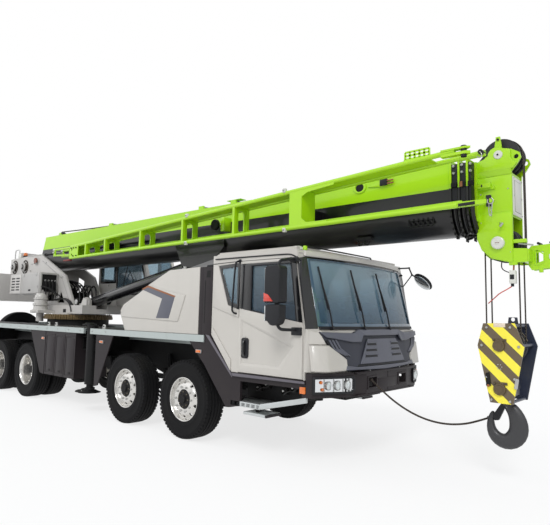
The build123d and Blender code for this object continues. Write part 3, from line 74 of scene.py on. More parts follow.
Point = tuple[float, float, float]
Flat = tuple[float, float]
AXLES = (0.0, -1.44, -5.02, -6.37)
UP = Vector((0, 0, 1))
AHEAD = Vector((1, 0, 0))
LEFTWARDS = Vector((0, 1, 0))


def tone(red: int, green: int, blue: int) -> Colour:
    """Linear colour of an 8-bit paint-card colour.

    Args:
        red, green, blue: channels from 0 to 255.
    Returns:
        The colour as a shader socket takes it.
    """
    def linear(value: int) -> float:
        """One channel, made linear."""
        share = value / 255
        return share / 12.92 if share <= 0.04045 else ((share + 0.055) / 1.055) ** 2.4

    return linear(red), linear(green), linear(blue), 1.0


class Side(Enum):
    """Right and left side of the machine, valued by the sign of Y."""

    RIGHT = -1
    LEFT = 1

    @property
    def word(self) -> str:
        """The side's name as body names hold it."""
        return self.name.lower()


class Axis(Enum):
    """Direction along which a flat outline is raised."""

    X = 0
    Y = 1
    Z = 2

    def place(self, u: float, v: float, w: float) -> Vector:
        """Point with outline coordinates u and v, at w along the axis.

        Args:
            u, v: the point's place in the outline.
            w: its place along the axis.
        Returns:
            The point.
        """
        if self is Axis.X:
            return Vector((w, u, v))
        if self is Axis.Y:
            return Vector((u, w, v))
        return Vector((u, v, w))


def placed(name: str, data: bpy.types.ID) -> bpy.types.Object:
    """New object in the scene with the given data.

    Args:
        name: the object's name.
        data: its mesh, curve, lamp or camera.
    Returns:
        The object.
    """
    made = bpy.data.objects.new(name, data)
    bpy.context.scene.collection.objects.link(made)
    return made


def cube(size: Sequence[float]) -> bmesh.types.BMesh:
    """Box of a size around the origin.

    Args:
        size: the box's size along each axis.
    Returns:
        The box.
    """
    part = bmesh.new()
    bmesh.ops.create_cube(part, size=1.0)
    bmesh.ops.scale(part, vec=size, verts=part.verts)
    return part


def as_mesh(name: str, part: bmesh.types.BMesh) -> bpy.types.Mesh:
    """Mesh made of a bmesh, which is used up.

    Args:
        name: the mesh's name.
        part: the bmesh.
    Returns:
        The mesh.
    """
    mesh = bpy.data.meshes.new(name)
    part.to_mesh(mesh)
    part.free()
    return mesh


def smooth_run(name: str, points: Sequence[Sequence[float]], radius: float, resolution: int,
               steps: int) -> bpy.types.Curve:
    """Round curve that runs smoothly by the points.

    Args:
        name: the curve's name.
        points: its corner points, the first and last of which are its ends.
        radius: of its round section.
        resolution: how finely the section is divided.
        steps: divisions from one point to the next.
    Returns:
        The curve.
    """
    curve = bpy.data.curves.new(name, "CURVE")
    curve.dimensions, curve.bevel_depth, curve.use_fill_caps = "3D", radius, True
    curve.bevel_resolution, curve.resolution_u = resolution, steps
    spline = curve.splines.new("NURBS")
    spline.points.add(len(points) - 1)
    for knot, point in zip(spline.points, points):
        knot.co = (*point, 1.0)
    spline.order_u, spline.use_endpoint_u = 3, True
    return curve


def rectangle(u0: float, v0: float, u1: float, v1: float) -> list[Flat]:
    """Corners of a rectangle, round from the first one given."""
    return [(u0, v0), (u1, v0), (u1, v1), (u0, v1)]


def to_side(outline: Iterable[Flat], sign: int) -> list[Flat]:
    """Outline in Y and Z on the left, or its mirror image on the right."""
    return [(sign * u, v) for u, v in outline]


def round_turn(count: int) -> list[float]:
    """Angles of count places around a circle."""
    return [math.tau * k / count for k in range(count)]


def ring_of(count: int, radius: float, centre: Point, axis: Axis, start: float = 0.0) -> list[Vector]:
    """Places around a circle.

    Args:
        count: how many.
        radius: the circle's radius.
        centre: its middle.
        axis: the axis across which it lies.
        start: angle of the first one.
    Returns:
        The places.
    """
    return [Vector(centre) + axis.place(radius * math.cos(start + a), radius * math.sin(start + a), 0)
            for a in round_turn(count)]


# ------------------------------------------------------------------ shader graphs
class Graph:
    """A node tree with short calls for adding and linking nodes."""

    def __init__(self, tree: bpy.types.NodeTree) -> None:
        """Takes the tree to fill."""
        self.tree = tree

    @classmethod
    def afresh(cls, owner: bpy.types.ID) -> "Graph":
        """Emptied node tree of a material or world.

        Args:
            owner: the material or world.
        Returns:
            The graph that fills its tree.
        """
        owner.use_nodes = True
        owner.node_tree.nodes.clear()
        return cls(owner.node_tree)

    def node(self, kind: str, inputs: Optional[dict] = None, **settings: object) -> bpy.types.Node:
        """Adds one node.

        Args:
            kind: the node's type, without its ShaderNode prefix.
            inputs: for each input by name or number, a value or the socket that feeds it.
            settings: attributes of the node.
        Returns:
            The node.
        """
        made = self.tree.nodes.new("ShaderNode" + kind)
        for key, value in settings.items():
            setattr(made, key, value)
        for key, value in (inputs or {}).items():
            self.feed(value, made.inputs[key])
        return made

    def feed(self, value: object, socket: bpy.types.NodeSocket) -> None:
        """Links a socket to value if value is a socket, or sets it otherwise.

        Args:
            value: a socket or a plain value.
            socket: the socket to feed.
        """
        if isinstance(value, bpy.types.NodeSocket):
            self.tree.links.new(value, socket)
        else:
            socket.default_value = value

    def mix(self, share: object, first: object, second: object, blend: str = "MIX") -> bpy.types.NodeSocket:
        """Colour between first and second, by share."""
        made = self.node("Mix", {0: share, 6: first, 7: second}, data_type="RGBA", blend_type=blend)
        return made.outputs[2]

    def math(self, operation: str, *values: object, clamp: bool = False) -> bpy.types.NodeSocket:
        """Result of one math operation on the values."""
        made = self.node("Math", dict(enumerate(values)), operation=operation, use_clamp=clamp)
        return made.outputs[0]

    def remap(self, value: object, low: float, high: float, to_low: float = 0.0,
              to_high: float = 1.0) -> bpy.types.NodeSocket:
        """Value stretched from low..high to to_low..to_high, smoothly and held at its ends."""
        made = self.node("MapRange", {0: value, 1: low, 2: high, 3: to_low, 4: to_high},
                         interpolation_type="SMOOTHSTEP")
        return made.outputs[0]

    def place(self, stretch: Point = (1, 1, 1), turn: Point = (0, 0, 0)) -> bpy.types.NodeSocket:
        """Object coordinates, turned and stretched."""
        coords = self.node("TexCoord").outputs["Object"]
        return self.node("Mapping", {"Vector": coords, "Scale": stretch, "Rotation": turn}).outputs[0]

    def axes(self) -> Sequence[bpy.types.NodeSocket]:
        """Object coordinates X, Y and Z, each by itself."""
        return self.node("SeparateXYZ", {0: self.place()}).outputs

    def upness(self) -> bpy.types.NodeSocket:
        """How far the surface looks up, from -1 to 1."""
        return self.node("SeparateXYZ", {0: self.node("TexCoord").outputs["Normal"]}).outputs[2]

    def noise(self, vector: object, scale: object, detail: float = 4.0) -> bpy.types.NodeSocket:
        """Height of a noise from 0 to 1."""
        made = self.node("TexNoise", {"Vector": vector, "Scale": scale, "Detail": detail})
        return made.outputs[0]


def shared_group(name: str, inputs: Sequence[tuple[str, str, object]], outputs: Sequence[tuple[str, str]],
                 fill: Callable[[Graph, dict, dict], None]) -> bpy.types.NodeTree:
    """Makes a shader node group once, and gives it back after that.

    Args:
        name: the group's name.
        inputs: name, socket type and default of each input.
        outputs: name and socket type of each output.
        fill: adds the group's nodes between its input sockets and output sockets.
    Returns:
        The group.
    """
    found = bpy.data.node_groups.get(name)
    if found is not None:
        return found
    tree = bpy.data.node_groups.new(name, "ShaderNodeTree")
    for label, kind, default in inputs:
        socket = tree.interface.new_socket(label, in_out="INPUT", socket_type="NodeSocket" + kind)
        socket.default_value = default
    for label, kind in outputs:
        tree.interface.new_socket(label, in_out="OUTPUT", socket_type="NodeSocket" + kind)
    start, end = tree.nodes.new("NodeGroupInput"), tree.nodes.new("NodeGroupOutput")
    fill(Graph(tree), {s.name: s for s in start.outputs if s.name},
         {s.name: s for s in end.inputs if s.name})
    return tree


def weather_group() -> bpy.types.NodeTree:
    """Dust that settles on upward faces and in patches, and faint rain runs down the sides.

    Returns:
        The group.
    """
    def fill(graph: Graph, given: dict, out: dict) -> None:
        """Adds the nodes.

        Args:
            graph: the group's nodes.
            given: its input sockets by name.
            out: its output sockets by name.
        """
        patches = graph.remap(graph.noise(graph.place(), given["Scale"], 6.0), 0.42, 0.72)
        upward = graph.remap(graph.upness(), 0.2, 1.0, 0.25, 1.0)
        runs = graph.remap(graph.noise(graph.place((9, 9, 0.7)), 1.0, 3.0), 0.5, 0.75)
        mask = graph.math("MULTIPLY", graph.math("MULTIPLY", patches, upward), given["Amount"], clamp=True)
        streak = graph.math("MULTIPLY", runs, graph.math("MULTIPLY", given["Amount"], 0.35), clamp=True)
        shaded = graph.mix(streak, given["Colour"], (0.02, 0.018, 0.015, 1))
        graph.feed(graph.mix(mask, shaded, given["Dust"]), out["Colour"])
        graph.feed(graph.math("ADD", given["Roughness"], graph.math("MULTIPLY", mask, 0.4), clamp=True),
                   out["Roughness"])

    return shared_group("Weather", [("Colour", "Color", (1, 1, 1, 1)),
                                    ("Dust", "Color", (0.4, 0.36, 0.3, 1)), ("Amount", "Float", 0.2),
                                    ("Scale", "Float", 3.0), ("Roughness", "Float", 0.4)],
                        [("Colour", "Color"), ("Roughness", "Float")], fill)


def edge_group() -> bpy.types.NodeTree:
    """Rounded edges, and the bare or rubbed colour that shows along them.

    Returns:
        The group.
    """
    def fill(graph: Graph, given: dict, out: dict) -> None:
        """Adds the nodes.

        Args:
            graph: the group's nodes.
            given: its input sockets by name.
            out: its output sockets by name.
        """
        rounded = graph.node("Bevel", {"Radius": given["Radius"]}, samples=3).outputs[0]
        flat = graph.node("NewGeometry").outputs["Normal"]
        dot = graph.node("VectorMath", {0: rounded, 1: flat}, operation="DOT_PRODUCT").outputs["Value"]
        bend = graph.remap(dot, 0.97, 0.75)
        rub = graph.remap(graph.noise(graph.place(), 14.0, 5.0), 0.4, 0.62)
        mask = graph.math("MULTIPLY", graph.math("MULTIPLY", bend, rub), given["Amount"], clamp=True)
        graph.feed(graph.mix(mask, given["Colour"], given["Worn"]), out["Colour"])
        graph.feed(rounded, out["Normal"])

    return shared_group("Edge", [("Colour", "Color", (1, 1, 1, 1)), ("Worn", "Color", (0.3, 0.3, 0.3, 1)),
                                 ("Amount", "Float", 0.3), ("Radius", "Float", 0.005)],
                        [("Colour", "Color"), ("Normal", "Vector")], fill)


def grain_group() -> bpy.types.NodeTree:
    """Height of a fine grain over slow waves, as on sprayed paint, cast skin and moulded plastic.

    Returns:
        The group.
    """
    def fill(graph: Graph, given: dict, out: dict) -> None:
        """Adds the nodes.

        Args:
            graph: the group's nodes.
            given: its input sockets by name.
            out: its output sockets by name.
        """
        fine = graph.noise(graph.place(), given["Scale"], 2.0)
        slow = graph.noise(graph.place(), 2.2, 2.0)
        graph.feed(graph.math("ADD", graph.math("MULTIPLY", fine, given["Fine"]),
                              graph.math("MULTIPLY", slow, given["Slow"])), out["Height"])

    return shared_group("Grain", [("Scale", "Float", 300.0), ("Fine", "Float", 0.5),
                                  ("Slow", "Float", 0.5)], [("Height", "Float")], fill)


# ------------------------------------------------------------------ finishes
BARE = tone(150, 148, 142)
DUST = tone(150, 140, 122)


@dataclass(frozen=True)
class Finish:
    """A surface, known by its name and by the record's slot that it takes its finish from."""

    name: str
    slot: str

    def material(self) -> bpy.types.Material:
        """The finish's material, made on its first use.

        Returns:
            The material.
        """
        made = bpy.data.materials.get(self.name)
        if made is None:
            made = bpy.data.materials.new(self.name)
            graph = Graph.afresh(made)
            shader = graph.node("BsdfPrincipled")
            graph.node("OutputMaterial", {0: shader.outputs[0]})
            self.dress(graph, shader)
        return made

    def dress(self, graph: Graph, shader: bpy.types.Node) -> None:
        """Feeds the shader."""
        raise NotImplementedError


@dataclass(frozen=True)
class Coating(Finish):
    """A solid surface with grain, dust and rubbed edges: paint, metal, plastic or rubber."""

    colour: Colour = (0.5, 0.5, 0.5, 1.0)
    roughness: float = 0.4
    metallic: float = 0.0
    coat: float = 0.0
    dust: float = 0.12
    dust_scale: float = 2.5
    wear: float = 0.25
    worn: Colour = BARE
    edge: float = 0.005
    grain: float = 350.0
    fine: float = 0.15
    slow: float = 0.3
    relief: float = 0.15
    gleam: float = 0.5

    def pattern(self, graph: Graph) -> object:
        """Colour before dust and wear: one colour, unless a finish has its own pattern."""
        drift = graph.remap(graph.noise(graph.place(), 1.1, 3.0), 0.3, 0.7, 0.0, 0.12)
        return graph.mix(drift, self.colour, tuple(c * 0.8 for c in self.colour[:3]) + (1.0,))

    def height(self, graph: Graph) -> object:
        """Height of the surface's grain.

        Args:
            graph: the material's nodes.
        Returns:
            The height socket.
        """
        made = graph.node("Group", None, node_tree=grain_group())
        for key, value in (("Scale", self.grain), ("Fine", self.fine), ("Slow", self.slow)):
            made.inputs[key].default_value = value
        return made.outputs["Height"]

    def dress(self, graph: Graph, shader: bpy.types.Node) -> None:
        """Feeds colour, roughness and grain to the shader.

        Args:
            graph: the material's nodes.
            shader: its shader.
        """
        weather = graph.node("Group", None, node_tree=weather_group())
        rubbed = graph.node("Group", None, node_tree=edge_group())
        for node, values in ((weather, {"Colour": self.pattern(graph), "Dust": DUST, "Amount": self.dust,
                                        "Scale": self.dust_scale, "Roughness": self.roughness}),
                             (rubbed, {"Colour": weather.outputs["Colour"], "Worn": self.worn,
                                       "Amount": self.wear, "Radius": self.edge})):
            for key, value in values.items():
                graph.feed(value, node.inputs[key])
        bump = graph.node("Bump", {"Height": self.height(graph), "Normal": rubbed.outputs["Normal"],
                                   "Strength": self.relief, "Distance": 0.004})
        graph.feed(rubbed.outputs["Colour"], shader.inputs["Base Color"])
        graph.feed(weather.outputs["Roughness"], shader.inputs["Roughness"])
        graph.feed(bump.outputs[0], shader.inputs["Normal"])
        shader.inputs["Metallic"].default_value = self.metallic
        shader.inputs["Coat Weight"].default_value = self.coat
        shader.inputs["Coat Roughness"].default_value = 0.08
        shader.inputs["Specular IOR Level"].default_value = self.gleam


@dataclass(frozen=True)
class SplitCoating(Coating):
    """Two colours, parted at a height on the piece."""

    below: Colour = (0.02, 0.02, 0.02, 1.0)
    height_at: float = 3.183
    until: float = 50.0

    def pattern(self, graph: Graph) -> object:
        """Upper colour above the line and beyond the last station, lower colour elsewhere.

        Args:
            graph: the material's nodes.
        Returns:
            The colour socket.
        """
        x, _, z = graph.axes()
        high = graph.remap(z, self.height_at - 0.001, self.height_at + 0.001)
        share = graph.math("MAXIMUM", high, graph.math("GREATER_THAN", x, self.until))
        return graph.mix(share, self.below, self.colour)


@dataclass(frozen=True)
class TopCoating(Coating):
    """One colour on upward faces and another on the rest."""

    top: Colour = (0.02, 0.02, 0.02, 1.0)

    def pattern(self, graph: Graph) -> object:
        """Top colour where the surface looks up."""
        return graph.mix(graph.remap(graph.upness(), 0.6, 0.8), self.colour, self.top)


@dataclass(frozen=True)
class HazardCoating(Coating):
    """Slanting stripes on the outer right face, a dark cheek on the left and steel between."""

    stripe: Colour = (0.1, 0.08, 0.05, 1.0)
    far: Colour = (0.03, 0.035, 0.06, 1.0)
    inner: Colour = (0.08, 0.08, 0.09, 1.0)
    pitch: float = 0.173
    turn: float = 46.0
    phase: float = 0.05
    near_y: float = -0.228
    far_y: float = 0.228

    def pattern(self, graph: Graph) -> object:
        """Stripes across X and Z, by which cheek the point is on.

        Args:
            graph: the material's nodes.
        Returns:
            The colour socket.
        """
        x, y, z = graph.axes()
        angle = math.radians(self.turn)
        run = graph.math("ADD", graph.math("MULTIPLY", x, math.cos(angle)),
                         graph.math("MULTIPLY", z, math.sin(angle)))
        wave = graph.math("FRACT", graph.math("ADD", graph.math("DIVIDE", run, self.pitch), self.phase))
        striped = graph.mix(graph.math("GREATER_THAN", wave, 0.5), self.colour, self.stripe)
        sided = graph.mix(graph.math("LESS_THAN", y, self.near_y), self.inner, striped)
        return graph.mix(graph.math("GREATER_THAN", y, self.far_y), sided, self.far)


@dataclass(frozen=True)
class LaidCoating(Coating):
    """Twisted rope: strands that run round it at a slant."""

    lay: float = 0.05

    def height(self, graph: Graph) -> object:
        """Strands as slanting waves along and across the rope.

        Args:
            graph: the material's nodes.
        Returns:
            The height socket.
        """
        x, y, z = graph.axes()
        run = graph.math("ADD", z, graph.math("MULTIPLY", x, 1.2))
        run = graph.math("ADD", run, graph.math("MULTIPLY", y, 0.9))
        return graph.math("SINE", graph.math("DIVIDE", run, self.lay / math.tau))


@dataclass(frozen=True)
class WovenCoating(Coating):
    """Seat cloth with a plain weave."""

    thread: float = 0.006

    def height(self, graph: Graph) -> object:
        """Threads that cross along the object's axes.

        Args:
            graph: the material's nodes.
        Returns:
            The height socket.
        """
        across, along, up = (graph.math("SINE", graph.math("DIVIDE", axis, self.thread / math.tau))
                             for axis in graph.axes())
        return graph.math("ADD", graph.math("MULTIPLY", across, along), up)


@dataclass(frozen=True)
class Pane(Finish):
    """Tinted window glass with a painted sky reflection, darker towards its foot and lighter towards its
    top.
    """

    # Colours at the top and at the foot: the glass's tint with a painted sky reflection, lighter at the top
    # and darker at the foot.
    tint: Colour = (0.55, 0.66, 0.7, 1.0)
    deep: Colour = (0.32, 0.44, 0.5, 1.0)
    low: float = 1.6
    high: float = 2.4
    clear: float = 0.75

    def dress(self, graph: Graph, shader: bpy.types.Node) -> None:
        """Feeds tint with a painted sky reflection, and a trace of dirt.

        Args:
            graph: the material's nodes.
            shader: its shader.
        """
        _, _, z = graph.axes()
        # Painted sky reflection: the colour runs from the darker foot to the lighter top, by height.
        base = graph.mix(graph.remap(z, self.low, self.high), self.deep, self.tint)
        graph.feed(base, shader.inputs["Base Color"])
        smear = graph.remap(graph.noise(graph.place(), 3.0, 5.0), 0.4, 0.8, 0.02, 0.12)
        graph.feed(smear, shader.inputs["Roughness"])
        shader.inputs["Transmission Weight"].default_value = self.clear
        shader.inputs["IOR"].default_value = 1.45


@dataclass(frozen=True)
class Lens(Finish):
    """Ribbed lamp lens over a bright or coloured back."""

    colour: Colour = (0.8, 0.8, 0.8, 1.0)
    ribs: float = 0.012

    def dress(self, graph: Graph, shader: bpy.types.Node) -> None:
        """Feeds colour and ribs.

        Args:
            graph: the material's nodes.
            shader: its shader.
        """
        _, y, _ = graph.axes()
        rib = graph.math("SINE", graph.math("DIVIDE", y, self.ribs / math.tau))
        bump = graph.node("Bump", {"Height": rib, "Strength": 0.5, "Distance": 0.002})
        spots = graph.remap(graph.noise(graph.place(), 30.0, 3.0), 0.35, 0.65, 0.0, 0.35)
        dark = tuple(c * 0.35 for c in self.colour[:3]) + (1.0,)
        graph.feed(graph.mix(spots, self.colour, dark), shader.inputs["Base Color"])
        graph.feed(bump.outputs[0], shader.inputs["Normal"])
        shader.inputs["Roughness"].default_value = 0.12
        shader.inputs["Coat Weight"].default_value = 1.0


GREEN = tone(164, 214, 6)
BODY = Coating("warm_grey_paint", "body_paint", tone(190, 186, 179), roughness=0.36, coat=0.3, dust=0.05,
               wear=0.1, fine=0.02, slow=0.5, relief=0.1)
DARK = Coating("anthracite_paint", "dark_paint", tone(36, 30, 33), roughness=0.5, coat=0.0, dust=0.05,
               gleam=0.3, wear=0.3, worn=tone(120, 116, 112))
GRILLE = Coating("grille_paint", "grille_grey", tone(86, 88, 99), roughness=0.42, coat=0.1, dust=0.06,
                 wear=0.15, worn=tone(140, 142, 148))
UPPER = Coating("upper_works_paint", "light_paint", tone(190, 187, 183), roughness=0.4, coat=0.2, dust=0.16,
                wear=0.3)
LIME = Coating("lime_paint", "boom_green", GREEN, roughness=0.34, coat=0.3, dust=0.06, wear=0.25,
               worn=tone(176, 190, 120))
BOOM = SplitCoating("boom_paint", "boom_green", GREEN, roughness=0.34, coat=0.3, dust=0.06, wear=0.15,
                    worn=tone(176, 190, 120), below=tone(13, 13, 14), height_at=3.183, gleam=0.4)
BOOM_TIP = replace(BOOM, name="boom_tip_paint", below=tone(19, 19, 21), gleam=0.5, until=FRONT_AXLE + 3.705)
# Black of the chassis; also black sheets of painted shade under the cab and inside the vented cover.
BLACK = Coating("chassis_black", "frame_black", tone(11, 11, 13), roughness=0.6, dust=0.06, gleam=0.3,
                wear=0.3, worn=tone(92, 88, 84))
DECK = TopCoating("deck_metal", "deck_aluminium", tone(176, 184, 182), roughness=0.4, metallic=0.35,
                  dust=0.12, wear=0.2, top=tone(44, 44, 46), fine=0.8, grain=90.0, relief=0.35)
ALU = Coating("step_aluminium", "deck_aluminium", tone(196, 200, 200), roughness=0.32, metallic=0.6,
              dust=0.12, wear=0.2, fine=0.6, grain=120.0, relief=0.3)
POLISHED = Coating("polished_rim", "deck_aluminium", tone(214, 212, 208), roughness=0.2, metallic=0.85,
                   dust=0.06, wear=0.1, fine=0.1)
RUBBER = Coating("tyre_rubber", "tyre", tone(11, 11, 13), roughness=0.8, dust=0.03, gleam=0.25, wear=0.15,
                 worn=tone(52, 51, 50), grain=160.0, fine=0.5, relief=0.35)
GEAR = Coating("greased_gear", "gear_steel", tone(118, 98, 62), roughness=0.38, metallic=0.25, dust=0.2,
               wear=0.6, worn=tone(180, 166, 130), grain=60.0, fine=0.5, relief=0.4)
CYLINDER = Coating("cylinder_gloss", "cylinder_black", tone(26, 26, 29), roughness=0.2, coat=0.6, dust=0.05,
                   wear=0.15)
CHROME = Coating("rod_chrome_plate", "rod_chrome", tone(222, 224, 226), roughness=0.1, metallic=1.0,
                 dust=0.0, wear=0.0, fine=0.02)
STEEL = Coating("bright_steel", "rod_chrome", tone(186, 186, 184), roughness=0.3, metallic=0.7, dust=0.05,
                wear=0.2)
WIRE = LaidCoating("wire_rope", "rope_steel", tone(70, 64, 58), roughness=0.45, metallic=0.5, dust=0.1,
                   wear=0.0, relief=0.8, lay=0.03)
ROPE = LaidCoating("fibre_rope", "rope_fibre", tone(62, 54, 48), roughness=0.85, dust=0.1, wear=0.0,
                   relief=0.9, lay=0.035)
BLOCK = HazardCoating("block_stripes", "block_yellow", tone(244, 230, 66), roughness=0.4, coat=0.2,
                      dust=0.04, wear=0.3, worn=tone(120, 112, 90), stripe=tone(98, 84, 62),
                      far=tone(44, 50, 68), inner=tone(60, 62, 70))
NAVY = Coating("block_navy", "block_yellow", tone(44, 50, 68), roughness=0.4, coat=0.15, dust=0.05)
FORGED = Coating("forged_hook", "hook_steel", tone(58, 58, 60), roughness=0.42, metallic=0.2, coat=0.1,
                 dust=0.05, wear=0.3, grain=70.0, fine=0.4, slow=0.8, relief=0.4)
GUN = Coating("phosphated_steel", "hook_steel", tone(92, 84, 68), roughness=0.45, metallic=0.4, dust=0.08)
# Black moulded plastic; also dark plates of painted shade in grooves, slots and openings.
MOULDED_AND_SHADE = Coating("moulded_black", "mirror_black", tone(17, 18, 24), roughness=0.5, dust=0.04, gleam=0.4,
                  wear=0.1, worn=tone(70, 70, 72), grain=500.0, fine=0.5, relief=0.25)
GLOSS = Coating("gloss_black", "mirror_black", tone(16, 17, 20), roughness=0.2, coat=0.5, dust=0.03,
                wear=0.1)
TRIM = Coating("cabin_trim", "interior", tone(70, 76, 86), roughness=0.6, dust=0.03, wear=0.1, grain=300.0,
               fine=0.4)
CLOTH = WovenCoating("seat_cloth", "interior", tone(66, 74, 92), roughness=0.9, dust=0.03, wear=0.0,
                     relief=0.5)
HOSE = Coating("hose_rubber", "frame_black", tone(16, 16, 18), roughness=0.5, dust=0.1, wear=0.1)
NYLON = Coating("sheave_nylon", "sheave", tone(28, 29, 34), roughness=0.45, dust=0.08, wear=0.3)
PALE = Coating("pale_plate", "light_paint", tone(212, 212, 204), roughness=0.3, coat=0.3, dust=0.05)
# Darker copy of the light paint: grey for hubs, ribs and trim, and painted shade on the vented cover's
# right door.
GREY_AND_SHADE = Coating("cover_grey", "light_paint", tone(168, 166, 163), roughness=0.4, coat=0.2, dust=0.14,
                wear=0.3)
# Darker copy of the grille grey for the panel's recessed base: painted shade.
GRILLE_RECESS_SHADE = Coating("grille_recess", "grille_grey", tone(52, 54, 64), roughness=0.5, dust=0.05, gleam=0.4)
BORDER = Coating("screen_border", "glass", tone(70, 92, 110), roughness=0.08, coat=0.8, dust=0.02, wear=0.0,
                 fine=0.01, slow=0.1)
# Lighter copy of the anthracite paint on upward-facing folds: painted highlight.
FOLD_HIGHLIGHT = Coating("sill_fold", "dark_paint", tone(92, 88, 96), roughness=0.4, coat=0.2, dust=0.05)
BUSH = Coating("bush_brown", "block_yellow", tone(96, 82, 60), roughness=0.4, metallic=0.25, dust=0.08)
CREAM = Coating("cream_plate", "light_paint", tone(222, 206, 186), roughness=0.4, dust=0.05)
# Bronze for bushes and pins; on the engine cover it also paints shade on the recess's downward-facing top
# wall.
BRONZE_AND_SHADE = Coating("bronze_bush", "gear_steel", tone(150, 96, 62), roughness=0.4, metallic=0.3, dust=0.05)
MAROON = Coating("maroon_plastic", "rope_fibre", tone(120, 34, 30), roughness=0.5, dust=0.05)
# Window glass: tint with a painted sky reflection, lighter at the top and darker at the foot.
SCREEN = Pane("screen_glass", "glass", tone(170, 196, 208), tone(88, 118, 140), 1.6, 2.4, 0.6)
WINDOW = Pane("window_glass", "glass", tone(150, 176, 190), tone(92, 120, 142), 1.7, 2.4, 0.8)
MIRROR = Coating("mirror_glass", "glass", tone(200, 204, 206), roughness=0.03, metallic=1.0, dust=0.0,
                 wear=0.0, fine=0.0, slow=0.0)
HEADLAMP = Lens("headlamp_lens", "glass", tone(216, 222, 222), 0.03)
AMBER_CAP = Coating("pin_cap_paint", "frame_black", tone(120, 62, 44), roughness=0.4, coat=0.2, dust=0.08)
AMBER = Lens("amber_lens", "glass", tone(226, 112, 6), 0.008)
RED = Lens("red_lens", "glass", tone(206, 40, 8), 0.008)


# ------------------------------------------------------------------ shapes
class Shape:
    """One piece in the making, shaped with bmesh operators in stations."""

    def __init__(self, name: str) -> None:
        """Takes the piece's name.

        Args:
            name: what the piece is called.
        """
        self.name = name
        self.bm = bmesh.new()
        self.finishes: list[Finish] = []

    def slot_of(self, finish: Finish) -> int:
        """Number of the material slot that holds a finish.

        Args:
            finish: the finish.
        Returns:
            The slot's number.
        """
        if finish not in self.finishes:
            self.finishes.append(finish)
        return self.finishes.index(finish)

    def take(self, part: bmesh.types.BMesh, finish: Finish, bevel: float = 0.0, segments: int = 1,
             crease: float = 0.6) -> None:
        """Cleans a part, rounds its edges and adds it to the piece.

        Args:
            part: the part's bmesh, used up here.
            finish: its surface.
            bevel: size of the rounded edges, or 0.
            segments: steps across a rounded edge.
            crease: angle in radians from which an edge is shaded sharp.
        """
        bmesh.ops.remove_doubles(part, verts=part.verts, dist=1e-5)
        bmesh.ops.recalc_face_normals(part, faces=part.faces)
        if bevel:
            edges = [e for e in part.edges if e.is_manifold and e.calc_face_angle(0) > 0.4]
            bmesh.ops.bevel(part, geom=edges, offset=bevel, offset_type="OFFSET", affect="EDGES",
                            segments=segments, profile=0.5, material=-1, clamp_overlap=True)
        number = self.slot_of(finish)
        for face in part.faces:
            face.material_index = number
            face.smooth = True
        for edge in part.edges:
            edge.smooth = edge.is_manifold and edge.calc_face_angle(4) < crease
        mesh = as_mesh("part", part)
        self.bm.from_mesh(mesh)
        bpy.data.meshes.remove(mesh)

    def block(self, lo: Point, hi: Point, finish: Finish, bevel: float = 0.004, segments: int = 2) -> None:
        """Adds a box.

        Args:
            lo, hi: its lowest and highest corner.
            finish: its surface.
            bevel: size of its rounded edges.
            segments: steps across a rounded edge.
        """
        low, high = Vector(lo), Vector(hi)
        part = cube(high - low)
        bmesh.ops.translate(part, vec=(low + high) / 2, verts=part.verts)
        self.take(part, finish, bevel, segments)

    def rod(self, start: Point, end: Point, radius: float, finish: Finish, sides: int = 20,
            bevel: float = 0.0) -> None:
        """Adds a round or many-sided bar.

        Args:
            start, end: middles of its two ends.
            radius: its radius.
            finish: its surface.
            sides: how many sides it has.
            bevel: size of its rounded edges.
        """
        part = bmesh.new()
        a, b = Vector(start), Vector(end)
        bmesh.ops.create_cone(part, cap_ends=True, segments=sides, radius1=radius, radius2=radius,
                              depth=(b - a).length)
        turn = (b - a).to_track_quat("Z", "Y").to_matrix().to_4x4()
        bmesh.ops.transform(part, matrix=Matrix.Translation((a + b) / 2) @ turn, verts=part.verts)
        self.take(part, finish, bevel, 1)

    def prism(self, outline: Sequence[Flat], axis: Axis, low: float, high: float, finish: Finish,
              bevel: float = 0.004, segments: int = 2) -> None:
        """Adds a plate or bar that is one outline all along.

        Args:
            outline: its corners across the axis.
            axis: the direction it is raised in.
            low, high: where it starts and ends along the axis.
            finish: its surface.
            bevel: size of its rounded edges.
            segments: steps across a rounded edge.
        """
        part = bmesh.new()
        face = part.faces.new([part.verts.new(axis.place(u, v, low)) for u, v in outline])
        self.raise_faces(part, [face], axis.place(0, 0, high - low))
        self.take(part, finish, bevel, segments)

    def hoop(self, outer: Sequence[Flat], inner: Sequence[Flat], axis: Axis, low: float, high: float,
             finish: Finish, bevel: float = 0.003) -> None:
        """Adds a frame between two outlines with as many corners.

        Args:
            outer, inner: the outlines.
            axis: the direction it is raised in.
            low, high: where it starts and ends along the axis.
            finish: its surface.
            bevel: size of its rounded edges.
        """
        part = bmesh.new()
        faces = self.bridged(part, outer, inner, axis, low)
        self.raise_faces(part, faces, axis.place(0, 0, high - low))
        self.take(part, finish, bevel, 2)

    @staticmethod
    def bridged(part: bmesh.types.BMesh, outer: Sequence[Flat], inner: Sequence[Flat], axis: Axis,
                level: float) -> list:
        """Makes the faces between two closed outlines.

        Args:
            part: the bmesh to add them to.
            outer, inner: the outlines.
            axis: the axis across which they lie.
            level: their place along it.
        Returns:
            The faces.
        """
        edges = []
        for outline in (outer, inner):
            verts = [part.verts.new(axis.place(u, v, level)) for u, v in outline]
            edges += [part.edges.new((verts[k - 1], verts[k])) for k in range(len(verts))]
        return bmesh.ops.bridge_loops(part, edges=edges)["faces"]

    @staticmethod
    def raise_faces(part: bmesh.types.BMesh, faces: list, by: Vector) -> None:
        """Extrudes faces by a vector.

        Args:
            part: the bmesh that has them.
            faces: the faces.
            by: how far, and which way.
        """
        made = bmesh.ops.extrude_face_region(part, geom=faces)
        verts = [g for g in made["geom"] if isinstance(g, bmesh.types.BMVert)]
        bmesh.ops.translate(part, vec=by, verts=verts)

